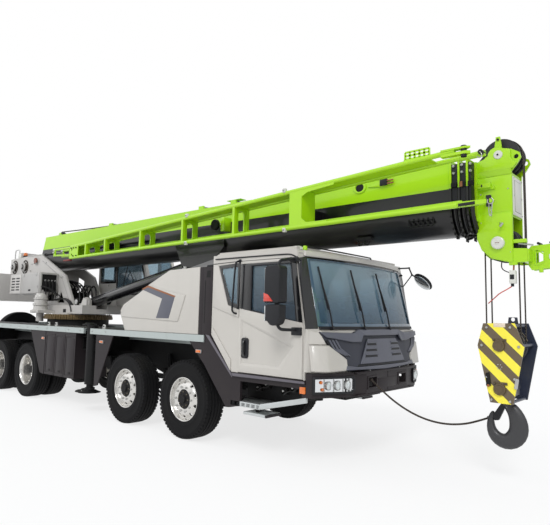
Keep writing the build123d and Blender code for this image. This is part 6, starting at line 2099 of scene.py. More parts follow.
    def hoses(self) -> None:
        """Valve bank, its hoses and pipes between the side plates."""
        made = Shape("valves_and_hoses")
        made.block((-6.05, -0.24, 2.02), (-5.55, 0.04, 2.24), BLACK, 0.01)
        for k in range(6):
            x = -6.01 + 0.085 * k
            made.block((x, -0.29, 2.05), (x + 0.06, -0.2, 2.21), BLACK, 0.008)
            made.rod((x + 0.03, -0.3, 2.2), (x + 0.03, -0.3, 2.27), 0.012, STEEL, sides=12)
            made.tube([(x + 0.03, -0.25, 2.2), (x + 0.03, -0.24, 2.36), (x + 0.2, -0.18, 2.44),
                       (x + 0.42, -0.1 + 0.03 * k, 2.3), (x + 0.46, -0.06 + 0.03 * k, 1.98)], 0.015, HOSE,
                      sides=10)
        for k in range(4):
            y = -0.26 + 0.05 * k
            made.tube([(-7.25, y, 2.72), (-6.95, y, 2.7), (-6.65, y, 2.52), (-6.35, y, 2.12),
                       (-6.1, y, 2.02), (-6.0, y, 1.95)], 0.016, HOSE, sides=10)
        for k in range(3):
            y = -0.395 - 0.034 * k
            made.tube([(-5.6, y, 1.97), (-5.3, y, 2.02), (-5.02, y, 1.98), (-4.82, y, 1.86),
                       (-4.78, y, 1.72)], 0.014, HOSE, sides=10)
        made.block((-5.16, -0.452, 1.7), (-5.02, -0.4, 1.78), BLACK, 0.006)
        made.tube([(-4.92, -0.372, 1.86), (-4.88, -0.385, 1.76), (-4.74, -0.395, 1.735),
                   (-4.6, -0.39, 1.755), (-4.52, -0.372, 1.83)], 0.01, STEEL)
        for k, x in enumerate((-6.06, -5.93, -5.8)):
            made.block((x, -0.3, 1.98), (x + 0.1, -0.1, 2.2 + 0.1 * k), BLACK, 0.012)
            made.tube([(x + 0.05, -0.3, 2.1 + 0.1 * k), (x + 0.06, -0.34, 2.16 + 0.1 * k),
                       (x + 0.14, -0.33, 2.3), (x + 0.1, -0.28, 2.46)], 0.014, HOSE, sides=10)
        for k in range(5):
            y = -0.2 + 0.1 * k
            made.tube([(-5.4, y, 1.95), (-5.3, y + 0.02, 2.22), (-5.16, y + 0.05, 2.34),
                       (-5.02, y + 0.03, 2.2), (-4.92, y, 1.94)], 0.018, HOSE, sides=10)
            made.rod((-5.4, y, 1.92), (-5.4, y, 1.99), 0.026, STEEL, sides=8)
        made.block((-5.5, -0.27, 1.925), (-5.22, 0.27, 2.03), BLACK, 0.012)
        made.block((-6.2, -0.28, 1.93), (-5.66, 0.28, 2.12), BLACK, 0.012)
        made.block((-5.62, -0.24, 1.925), (-5.34, 0.24, 2.16), BLACK, 0.012)
        made.done("turntable", "frame_black")

    def ballast(self) -> None:
        """Joints, lifting eyes and lamps of the counterweight."""
        made = Shape("counterweight_trim")
        lo, hi = (p - Vector((FRONT_AXLE, 0, 0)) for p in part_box("counterweight"))
        for side in (-1, 1):
            y = side * (hi.y + 0.001)
            for z in self.ballast_joints:
                made.block((lo.x + 0.05, y - 0.004, z), (hi.x - 0.05, y + 0.004, z + 0.012), BLACK, 0.0)
            made.tube([(-8.3, side * 0.85, 2.63), (-8.3, side * 0.85, 2.7), (-8.12, side * 0.85, 2.7),
                       (-8.12, side * 0.85, 2.63)], 0.018, STEEL, sides=12)
            made.block((lo.x - 0.002, side * 1.02 - 0.06, 2.05), (lo.x + 0.012, side * 1.02 + 0.06, 2.12),
                       RED, 0.004)
        for z in self.ballast_joints:
            made.block((lo.x - 0.001, -hi.y + 0.04, z), (lo.x + 0.006, hi.y - 0.04, z + 0.012), BLACK, 0.0)
        made.done("turntable", "light_paint")

    def drum(self, name: str, x: float, z: float) -> None:
        """Rope wound on a drum in even turns.

        Args:
            name: the winch's body.
            x: station of its pin.
            z: height of its pin.
        """
        made = Shape(name + "_rope")
        low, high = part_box(name)
        half = min(abs(low.y), abs(high.y)) - 0.035
        floor = self.rope_radius - 0.02
        rope: list[Flat] = []
        for k in range(int(2 * half / self.rope_pitch)):
            y = -half + self.rope_pitch * (k + 0.5)
            rope += [(self.rope_radius + out, y + across) for out, across in (
                (-0.004, -0.0095), (0.007, -0.004), (0.007, 0.004), (-0.004, 0.0095))]
        made.lathe([(floor, -half)] + rope + [(floor, half)], (x, 0, z), Axis.Y, WIRE, steps=48)
        made.done(name, "rope_steel")

    def ring(self) -> None:
        """Teeth and bolts of the slewing ring."""
        made = Shape("ring_teeth")
        low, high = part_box("slewing_ring")
        radius = (high.x - low.x) / 2
        middle = ((low.x + high.x) / 2 - FRONT_AXLE, 0.0, 1.575)
        for angle in round_turn(self.teeth):
            part = cube((0.03, 0.018, 0.052))
            move = Matrix.Translation(middle) @ Matrix.Rotation(angle, 4, "Z") @ Matrix.Translation(
                (radius - 0.002, 0, 0.012))
            bmesh.ops.transform(part, matrix=move, verts=part.verts)
            made.take(part, GEAR)
        made.bolt_circle(40, radius - 0.05, (middle[0], 0, high.z - 0.002), Axis.Z, UP, 0.013, STEEL)
        made.done(CARRIER, "gear_steel")


@dataclass
class OperatorCab:
    """Upper cab's window frames, wipers, door trim, seat and controls."""

    def build(self) -> None:
        """Makes what rides on the turntable and on the sliding door."""
        self.frames()
        self.door()
        self.inside()

    def frames(self) -> None:
        """Dark window frames, the roof's edge, wiper and handrail."""
        made = Shape("operator_cab_trim")
        made.hoop(rectangle(-5.27, 2.38, -4.6, 3.12), rectangle(-5.22, 2.43, -4.65, 3.07), Axis.Y, 0.46,
                  0.474, GLOSS)
        made.hoop([(-4.58, 2.11), (-4.58, 3.12), (-3.735, 3.12), (-3.49, 2.485), (-3.49, 2.11)],
                  [(-4.53, 2.16), (-4.53, 3.07), (-3.77, 3.07), (-3.54, 2.476), (-3.54, 2.16)], Axis.Y,
                  0.46, 0.474, GLOSS)
        made.prism([(-5.36, 3.185), (-5.36, 3.215), (-3.7, 3.215), (-3.66, 3.19), (-3.7, 3.175)], Axis.Y,
                   0.462, 1.252, UPPER, 0.008)
        made.tube([(-4.3, 0.452, 2.16), (-4.26, 0.44, 2.45), (-4.08, 0.44, 2.82)], 0.009, MOULDED_AND_SHADE)
        made.tube([(-3.72, 0.452, 2.16), (-3.84, 0.44, 2.4), (-4.05, 0.44, 2.64)], 0.009, MOULDED_AND_SHADE)
        made.tube([(-4.2, 0.44, 2.5), (-4.02, 0.44, 3.0)], 0.008, MOULDED_AND_SHADE)
        made.tube([(-5.348, 1.15, 2.1), (-5.378, 1.15, 2.15), (-5.378, 1.15, 2.85), (-5.348, 1.15, 2.9)],
                  0.012, MOULDED_AND_SHADE)
        made.done("turntable", "mirror_black")

    def door(self) -> None:
        """Window frame and handle of the sliding door."""
        made = Shape("operator_door_trim")
        made.hoop(rectangle(-4.85, 2.05, -4.09, 3.08), rectangle(-4.8, 2.1, -4.14, 3.03), Axis.Y, 1.282,
                  1.29, GLOSS)
        made.tube([(-4.8, 1.287, 1.93), (-4.8, 1.315, 1.94), (-4.68, 1.315, 1.94), (-4.68, 1.287, 1.93)],
                  0.01, MOULDED_AND_SHADE)
        made.done("operator_door", "mirror_black")

    def inside(self) -> None:
        """Seat, armrests and levers."""
        made = Shape("operator_controls")
        made.block((-4.85, 0.68, 1.815), (-4.48, 1.04, 2.145), TRIM, 0.02, 3)
        for y in (0.585, 1.1):
            made.block((-4.8, y - 0.035, 2.3), (-4.42, y + 0.035, 2.345), TRIM, 0.015, 3)
            made.rod((-4.46, y, 2.34), (-4.44, y, 2.47), 0.012, BLACK, sides=12)
            made.rod((-4.44, y, 2.46), (-4.435, y, 2.53), 0.022, MOULDED_AND_SHADE, sides=16, bevel=0.006)
        made.done("turntable", "interior")
        PaddedSeat("operator_seat", "turntable", (-5.83, 0.86, 0.795), 0.215).build()


# ------------------------------------------------------------------ boom, head and jib
@dataclass
class BoomTrim:
    """Pads, brackets, hoses and pins on the boom's sections."""

    collars: Sequence[tuple[str, float]] = (("boom_base", 3.47), ("boom_section_2", 3.565),
                                            ("boom_section_3", 3.66))
    half: float = 0.32
    step: float = 0.03
    inside: float = 0.3365
    belly: float = 2.99

    def build(self) -> None:
        """Makes the trim of every section."""
        for body, x in self.collars:
            self.collar(body, x)
        self.base()
        self.side()
        self.jib()
        self.top_rope()

    def collar(self, body: str, x: float) -> None:
        """Slide pads, their bolts and the hanging hoses in front of one collar.

        Args:
            body: the section it rides on.
            x: station of the collar's rear face.
        """
        made = Shape(body + "_collar_trim")
        half = self.half - self.step * (1 + [name for name, _ in self.collars].index(body))
        front = x + (0.05 if body == "boom_section_3" else 0.088)
        gap = (self.inside - half) / 2
        for sign in (-1, 1):
            y = sign * (half + self.inside) / 2
            made.block((x + 0.0225, y - gap + 0.001, self.belly), (front, y + gap, 3.455), MOULDED_AND_SHADE, 0.004)
            for z in (3.35, 3.43):
                made.bolt((x + 0.05, sign * 0.337, z), LEFTWARDS * sign, 0.016, STEEL)
            made.block((x + 0.024, sign * 0.352 - 0.012, 3.185), (x + 0.088, sign * 0.352 + 0.012, 3.235),
                       BLACK, 0.004)
            for k in range(6):
                a = math.radians(8 + 11 * k)
                made.bolt((x + 0.01, sign * 0.349 * math.cos(a), self.belly - 0.385 * math.sin(a)),
                          Vector((0, sign * math.cos(a), -math.sin(a))), 0.013, BLACK)
        arc = [math.radians(a) for a in (0, 16, 32, 48, 62)]
        for sign in (-1, 1):
            for low, thick in ((0.318, 0.022), (0.352, 0.012)):
                run = [(x + 0.056, sign * low * math.cos(a), self.belly - low * 1.04 * math.sin(a))
                       for a in arc]
                made.tube([*run, (x + 0.012, *run[-1][1:])], thick, HOSE, sides=12)
        if body == "boom_section_2":
            made.block((x + 0.028, -0.368, 3.18), (x + 0.062, -0.36, 3.24), BRONZE_AND_SHADE, 0.003)
        if body == "boom_base":
            for sign in (-1, 1):
                made.block((x - 0.03, sign * 0.2 - 0.05, 3.48), (x + 0.02, sign * 0.2 + 0.05, 3.505), LIME,
                           0.004)
        made.done(body, "boom_green")

    def base(self) -> None:
        """Cylinder pin's heads, clipped pipe, rear guide sheave, top pads and cable of the base section."""
        made = Shape("boom_base_trim")
        for sign in (-1, 1):
            made.rod((-1.39, sign * 0.123, 2.57), (-1.39, sign * 0.15, 2.57), 0.085, BLACK, sides=30,
                     bevel=0.006)
            made.rod((-1.39, sign * 0.15, 2.57), (-1.39, sign * 0.162, 2.57), 0.055, STEEL, sides=24,
                     bevel=0.004)
            made.bolt((-1.39, sign * 0.16, 2.57), LEFTWARDS * sign, 0.014, STEEL)
        made.tube([(-6.45, -0.345, 3.05), (-6.0, -0.345, 3.06), (-4.2, -0.345, 3.06), (-2.0, -0.345, 3.06)],
                  0.014, BLACK, sides=10)
        for k in range(6):
            x = -6.4 + 0.8 * k
            made.block((x - 0.02, -0.36, 3.035), (x + 0.02, -0.318, 3.085), BLACK, 0.003)
        made.block((-6.41, -0.12, 3.478), (-6.18, 0.12, 3.5), LIME, 0.004)
        made.rod((-6.3, -0.045, 3.56), (-6.3, 0.045, 3.56), 0.075, NYLON, sides=30, bevel=0.008)
        for y in (-0.07, 0.07):
            made.prism([(-6.4, 3.495), (-6.34, 3.61), (-6.26, 3.61), (-6.2, 3.495)], Axis.Y, y - 0.008,
                       y + 0.008, LIME, 0.003)
        made.rod((-6.3, -0.09, 3.56), (-6.3, 0.09, 3.56), 0.02, STEEL, sides=16)
        for x in (-5.2, -3.6, -2.0, -0.4, 1.2, 2.8):
            for sign in (-1, 1):
                made.block((x - 0.05, sign * 0.24 - 0.03, 3.478), (x + 0.05, sign * 0.24 + 0.03, 3.49),
                           LIME, 0.003)
        made.tube([(-6.5, 0.12, 3.49), (-3.0, 0.12, 3.492), (0.5, 0.12, 3.492), (3.3, 0.12, 3.49)], 0.012,
                  HOSE, sides=8)
        made.done("boom_base", "boom_green")

    def side(self) -> None:
        """Boss, latch, roller mount, perforated plates and hooks on the right side of the base section."""
        made = Shape("boom_side_trim")
        ring = [(math.cos(a), math.sin(a)) for a in round_turn(28)]
        made.hoop([(2.282 + 0.095 * u, 3.373 + 0.075 * v) for u, v in ring],
                  [(2.282 + 0.062 * u, 3.373 + 0.052 * v) for u, v in ring], Axis.Y, -0.334, -0.319, LIME,
                  0.002)
        made.rod((2.282, -0.326, 3.373), (2.282, -0.318, 3.373), 0.056, BLACK, sides=24)
        made.prism([(2.4, 3.362), (2.62, 3.335), (2.72, 3.345), (2.72, 3.425), (2.6, 3.415)], Axis.Y,
                   -0.338, -0.319, LIME, 0.003)
        made.block((2.59, -0.362, 3.345), (2.69, -0.33, 3.425), MOULDED_AND_SHADE, 0.004)
        for z in (3.365, 3.4):
            made.rod((2.69, -0.35, z), (2.77, -0.35, z), 0.01, BRONZE_AND_SHADE, sides=12)
        made.block((-0.17, -0.47, 3.02), (-0.09, -0.32, 3.24), LIME, 0.006)
        made.rod((-0.27, -0.52, 3.13), (-0.27, -0.46, 3.13), 0.085, BLACK, sides=28, bevel=0.01)
        made.rod((-0.27, -0.46, 3.13), (-0.27, -0.32, 3.13), 0.03, STEEL, sides=16)
        self.ladder(made, (2.955, 3.255), (2.79, 2.92), -0.3, BLACK)
        for x in (2.2, 2.3):
            made.tube([(x, -0.22, 2.735), (x, -0.235, 2.66), (x + 0.03, -0.235, 2.635),
                       (x + 0.07, -0.235, 2.65), (x + 0.075, -0.235, 2.69)], 0.01, BLACK)
        made.block((2.17, -0.25, 2.7), (2.4, -0.19, 2.745), BLACK, 0.006)
        made.done("boom_base", "boom_green")

    def ladder(self, made: Shape, along: tuple[float, float], up: tuple[float, float], y: float,
               finish: Finish) -> None:
        """Adds a thin plate with two rows of square holes, as rails and rungs.

        Args:
            made: the shape to add to.
            along, up: its extent along X and Z.
            y: its place across.
            finish: its surface.
        """
        for k in range(3):
            z = up[0] + (up[1] - up[0]) * k / 2
            made.block((along[0], y - 0.004, z - 0.011), (along[1], y + 0.004, z + 0.011), finish, 0.001)
        for k in range(6):
            x = along[0] + (along[1] - along[0]) * k / 5
            made.block((x - 0.012, y - 0.004, up[0]), (x + 0.012, y + 0.004, up[1]), finish, 0.001)

    def jib(self) -> None:
        """Clamps, pins, perforated plate, folding struts and rear fittings of the stowed jib."""
        made = Shape("jib_trim")
        self.ladder(made, (3.185, 3.463), (3.445, 3.525), -0.84, LIME)
        made.block((3.17, -0.852, 3.425), (3.48, -0.828, 3.445), LIME, 0.003)
        for x, z in ((1.471, 3.35), (1.483, 2.826), (-0.52, 3.245), (-0.52, 2.812)):
            made.block((x - 0.022, -0.88, z - 0.028), (x + 0.022, -0.835, z + 0.028), PALE, 0.004)
            made.bolt((x, -0.88, z), -LEFTWARDS, 0.014, STEEL)
        made.rod((3.832, -0.84, 3.355), (3.832, -0.84, 3.475), 0.03, MOULDED_AND_SHADE, sides=20, bevel=0.004)
        made.rod((3.7, -0.58, 3.43), (3.955, -0.58, 3.44), 0.034, LIME, sides=20, bevel=0.004)
        made.rod((3.93, -0.66, 3.44), (3.93, -0.5, 3.44), 0.026, MOULDED_AND_SHADE, sides=18, bevel=0.003)
        made.tube([(3.93, -0.665, 3.44), (3.96, -0.67, 3.4), (3.93, -0.67, 3.36), (3.9, -0.67, 3.39)],
                  0.005, STEEL)
        made.rod((4.068, -0.84, 2.815), (4.068, -0.84, 2.925), 0.026, MOULDED_AND_SHADE, sides=18, bevel=0.003)
        made.tube([(4.1, -0.864, 2.895), (4.13, -0.868, 2.86), (4.1, -0.868, 2.83), (4.06, -0.868, 2.845),
                   (4.07, -0.868, 2.88)], 0.005, STEEL)
        made.tube([(4.11, -0.868, 2.84), (4.105, -0.868, 2.76), (4.085, -0.868, 2.7), (4.075, -0.868, 2.77),
                   (4.08, -0.868, 2.83)], 0.004, STEEL)
        made.prism([(3.775, 2.846), (3.942, 2.85), (3.942, 2.88), (3.775, 2.876)], Axis.Y, -0.869, -0.862,
                   MOULDED_AND_SHADE, 0.001)
        for y in (-0.8, -0.62):
            made.rod((-4.97, y, 3.02), (-4.16, y, 3.02), 0.024, LIME, sides=16, bevel=0.003)
            made.rod((-5.02, y, 3.02), (-4.96, y, 3.02), 0.032, STEEL, sides=16, bevel=0.003)
            made.rod((-4.97, y, 2.9), (-4.16, y, 2.86), 0.02, LIME, sides=16, bevel=0.003)
            made.block((-5.02, y - 0.012, 2.88), (-4.94, y + 0.012, 3.04), LIME, 0.004)
        made.rod((-4.98, -0.84, 2.96), (-4.98, -0.58, 2.96), 0.02, STEEL, sides=16)
        made.block((-4.47, -0.86, 2.745), (-4.2, -0.8, 2.775), MAROON, 0.006)
        for x, z in ((-4.14, 2.99), (-4.05, 2.99), (-3.95, 2.99), (-4.05, 2.83), (-3.93, 2.83)):
            made.bolt((x, -0.864, z), -LEFTWARDS, 0.014, MOULDED_AND_SHADE)
        for x in (-3.3, 1.66):
            made.rod((x, -0.58, 3.02), (x, -0.36, 3.02), 0.03, STEEL, sides=18, bevel=0.004)
        made.done("boom_base", "boom_green")

    def top_rope(self) -> None:
        """Hoist rope over the base section, from the rear guide sheave to the front collar."""
        made = Shape("hoist_rope_over_boom")
        for y in (-0.02, 0.02):
            made.tube([(-6.31, y, 3.643), (-5.2, y, 3.6), (-3.69, y, 3.565), (-0.09, y, 3.548),
                       (3.46, y, 3.53)], 0.008, WIRE, sides=8)
        for x in (-3.69, -0.87, -0.09):
            made.rod((x, -0.275, 3.532), (x, 0.275, 3.532), 0.014, STEEL, sides=14)
        made.block((-0.24, -0.285, 3.54), (0.07, -0.155, 3.548), LIME, 0.002)
        made.done("boom_base", "rope_steel")


@dataclass
class BoomHead:
    """Raised panels, pin heads, brackets, chain and limit switch of the boom's head."""

    def build(self) -> None:
        """Makes the head's trim on the last section."""
        made = Shape("head_trim")
        for sign in (-1, 1):
            self.panels(made, sign)
            out = sign * 0.18
            for (x, z), r, proud in (((3.961, 3.514), 0.048, 0.036), ((3.938, 2.545), 0.068, 0.052)):
                made.lathe([(0.0, proud), (r * 0.3, proud), (r * 0.36, proud - 0.004),
                            (r * 0.86, proud - 0.004), (r, proud - 0.01), (r * 1.02, -0.002),
                            (0.0, -0.002)], (x, out, z), Axis.Y, PALE, steps=36, closed=False,
                           flip=sign < 0)
            made.bolt((3.961, out + sign * 0.034, 3.514), LEFTWARDS * sign, 0.01, MOULDED_AND_SHADE)
            for dx in (-0.016, 0.0, 0.016):
                made.block((3.938 + dx - 0.005, out + sign * 0.0515 - 0.0015, 2.541),
                           (3.938 + dx + 0.005, out + sign * 0.0515 + 0.0015, 2.549), MAROON, 0.0005)
            made.bolt((3.957, out, 3.69), LEFTWARDS * sign, 0.014, MOULDED_AND_SHADE)
            for x, z in ((4.06, 2.44), (3.76, 3.1), (3.76, 2.78), (4.05, 3.13)):
                made.bolt((x, out, z), LEFTWARDS * sign, 0.008, STEEL)
            for dx in (-0.045, -0.015, 0.015, 0.045):
                made.block((4.011 + dx - 0.01, out - 0.004, 2.428), (4.011 + dx + 0.01, out + 0.004, 2.436),
                           BLACK, 0.001)
        made.block((4.081, -0.15, 2.845), (4.096, 0.15, 3.27), PALE, 0.008, 3)
        made.block((4.0955, -0.11, 2.885), (4.0975, 0.11, 3.23), GUN, 0.002)
        made.block((4.0965, -0.106, 2.889), (4.099, 0.106, 3.226), PALE, 0.002)
        for y in (-0.13, 0.13):
            for z in (2.865, 3.057, 3.25):
                made.bolt((4.095, y, z), AHEAD, 0.007, STEEL)
        made.block((3.655, -0.236, 3.16), (3.88, -0.196, 3.212), LIME, 0.005)
        made.block((3.785, -0.242, 3.172), (3.797, -0.234, 3.2), MOULDED_AND_SHADE, 0.001)
        made.rod((3.96, -0.182, 2.765), (3.99, -0.232, 2.735), 0.011, STEEL, sides=14, bevel=0.003)
        made.rod((3.972, -0.232, 2.715), (4.004, -0.232, 2.752), 0.013, STEEL, sides=14, bevel=0.003)
        made.block((4.08, -0.175, 2.535), (4.215, -0.12, 2.575), LIME, 0.005)
        made.rod((4.13, -0.15, 2.53), (4.275, -0.15, 2.505), 0.009, STEEL, sides=12)
        made.prism([(3.705, 2.64), (3.8, 2.56), (3.81, 2.44), (3.76, 2.4), (3.69, 2.46), (3.67, 2.58)],
                   Axis.Y, 0.12, 0.15, LIME, 0.006)
        self.ropes(made)
        self.pin_and_chain(made)
        self.limit_switch(made)
        self.nose(made)
        made.done("boom_section_4", "boom_green")

    def panels(self, made: Shape, sign: int) -> None:
        """Adds the panels above and below the head's two fold lines.

        Args:
            made: the shape to add to.
            sign: side of the head.
        """
        out = sign * 0.18
        upper = [(3.713, 3.345), (4.105, 3.345), (4.15, 3.4), (4.105, 3.43), (4.085, 3.47), (4.088, 3.555),
                 (3.99, 3.588), (3.925, 3.604), (3.882, 3.586), (3.812, 3.492), (3.715, 3.463)]
        self.folded(made, upper, out, sign, 0.022, 0.06)
        lower = [(3.713, 2.87), (3.713, 2.602), (3.759, 2.484), (3.86, 2.384), (4.066, 2.33),
                 (4.082, 2.332), (4.082, 2.87)]
        self.folded(made, lower, out, sign, 0.01, 0.0)
        made.prism([(3.716, 3.28), (4.086, 3.28), (4.084, 2.885), (3.716, 2.885)], Axis.Y, out - 0.002,
                   out + 0.006, LIME, 0.004)

    def folded(self, made: Shape, outline: list[Flat], out: float, sign: int, proud: float,
               skirt: float) -> None:
        """Adds a raised panel whose lower edge slopes back to the plate.

        Args:
            made: the shape to add to.
            outline: the panel's outline, its bottom edge first.
            out: the plate's face.
            sign: side of the head.
            proud: how far it stands out.
            skirt: height of the sloping edge under it.
        """
        made.prism(outline, Axis.Y, min(out, out + sign * proud), max(out, out + sign * proud), LIME, 0.003)
        if skirt:
            (x0, z), (x1, _) = outline[0], outline[1]
            side = [(out, z), (out + sign * proud, z), (out, z - skirt)]
            made.prism(side, Axis.X, x0, x1 - 0.015, LIME, 0.0)

    def ropes(self, made: Shape) -> None:
        """Adds the ropes that come over the boom's top and fall down the head's front.

        Args:
            made: the shape to add to.
        """
        for y in (-0.02, 0.02):
            made.tube([(3.7, y, 3.528), (3.8, y, 3.64), (3.88, y, 3.7), (3.961, y, 3.722), (4.06, y, 3.7),
                       (4.14, y, 3.63), (4.165, y, 3.52), (4.165, y, 3.0), (4.165, y, 2.45),
                       (4.15, y, 2.33)], 0.008, WIRE, sides=8)
        for y in (-0.05, 0.05):
            made.tube([(3.72, y, 3.5), (3.76, y, 3.6), (3.8, y, 3.63)], 0.007, HOSE, sides=8)

    def pin_and_chain(self, made: Shape) -> None:
        """Adds the cross pin with its spring clip and short chain.

        Args:
            made: the shape to add to.
        """
        made.rod((3.847, -0.235, 3.028), (3.847, 0.205, 3.028), 0.026, MOULDED_AND_SHADE, sides=20, bevel=0.004)
        made.tube([(3.847, -0.238, 3.06), (3.885, -0.24, 3.045), (3.88, -0.24, 3.0), (3.84, -0.24, 2.99),
                   (3.815, -0.24, 3.02)], 0.005, STEEL)
        at = Vector((3.885, -0.238, 3.01))
        step = Vector((0.0005, 0.001, -0.0235))
        for k in range(8):
            turn = Matrix.Rotation(math.pi / 2 * (k % 2), 4, "Z")
            made.tube([at + turn @ Vector((0.009 * math.cos(a), 0, 0.015 * math.sin(a)))
                       for a in round_turn(9)], 0.0028, STEEL, sides=4)
            at = at + step

    def limit_switch(self, made: Shape) -> None:
        """Adds the hoist limit switch, hung under the head, with its cables.

        Args:
            made: the shape to add to.
        """
        x, y = 4.07, -0.165
        made.block((x - 0.03, y - 0.03, 2.105), (x + 0.035, y + 0.03, 2.245), PALE, 0.008, 3)
        made.block((x - 0.02, y - 0.034, 2.15), (x + 0.022, y - 0.028, 2.2), MOULDED_AND_SHADE, 0.003)
        made.rod((x - 0.005, y, 2.075), (x - 0.005, y, 2.11), 0.016, MOULDED_AND_SHADE, sides=14)
        made.rod((x + 0.01, y, 2.24), (x + 0.016, y, 2.34), 0.009, BRONZE_AND_SHADE, sides=12)
        made.block((x - 0.03, y - 0.02, 2.3), (x + 0.05, y + 0.02, 2.338), LIME, 0.004)
        made.tube([(3.965, y, 2.35), (3.95, y, 2.29), (3.985, y, 2.24), (4.045, y, 2.222)], 0.006, HOSE,
                  sides=8)
        made.tube([(4.062, y, 2.08), (4.02, y, 2.05), (3.93, y, 2.005), (3.87, -0.13, 1.96),
                   (3.79, -0.1, 1.9)], 0.006, RED, sides=8)

    def nose(self, made: Shape) -> None:
        """Adds the bright pin, the rollers and the framed opening of the nose.

        Args:
            made: the shape to add to.
        """
        for sign in (-1, 1):
            made.lathe([(0.0, 0.018), (0.03, 0.016), (0.046, 0.008), (0.048, 0.0), (0.0, 0.0)],
                       (4.6, sign * 0.058, 2.4), Axis.Y, PALE, steps=28, closed=False, flip=sign < 0)
        made.hoop([(4.262, 2.3), (4.262, 2.445), (4.32, 2.445), (4.358, 2.415), (4.358, 2.33), (4.32, 2.3)],
                  [(4.276, 2.314), (4.276, 2.431), (4.315, 2.431), (4.344, 2.409), (4.344, 2.336),
                   (4.315, 2.314)], Axis.Y, -0.0625, -0.056, LIME, 0.001)
        for x in (4.3, 4.42, 4.54):
            made.rod((x, -0.066, 2.53), (x, 0.066, 2.53), 0.014, MOULDED_AND_SHADE, sides=14, bevel=0.002)
        made.block((4.4, -0.064, 2.36), (4.44, -0.057, 2.41), PALE, 0.002)
        made.block((4.3, -0.062, 2.222), (4.34, -0.04, 2.285), LIME, 0.004)


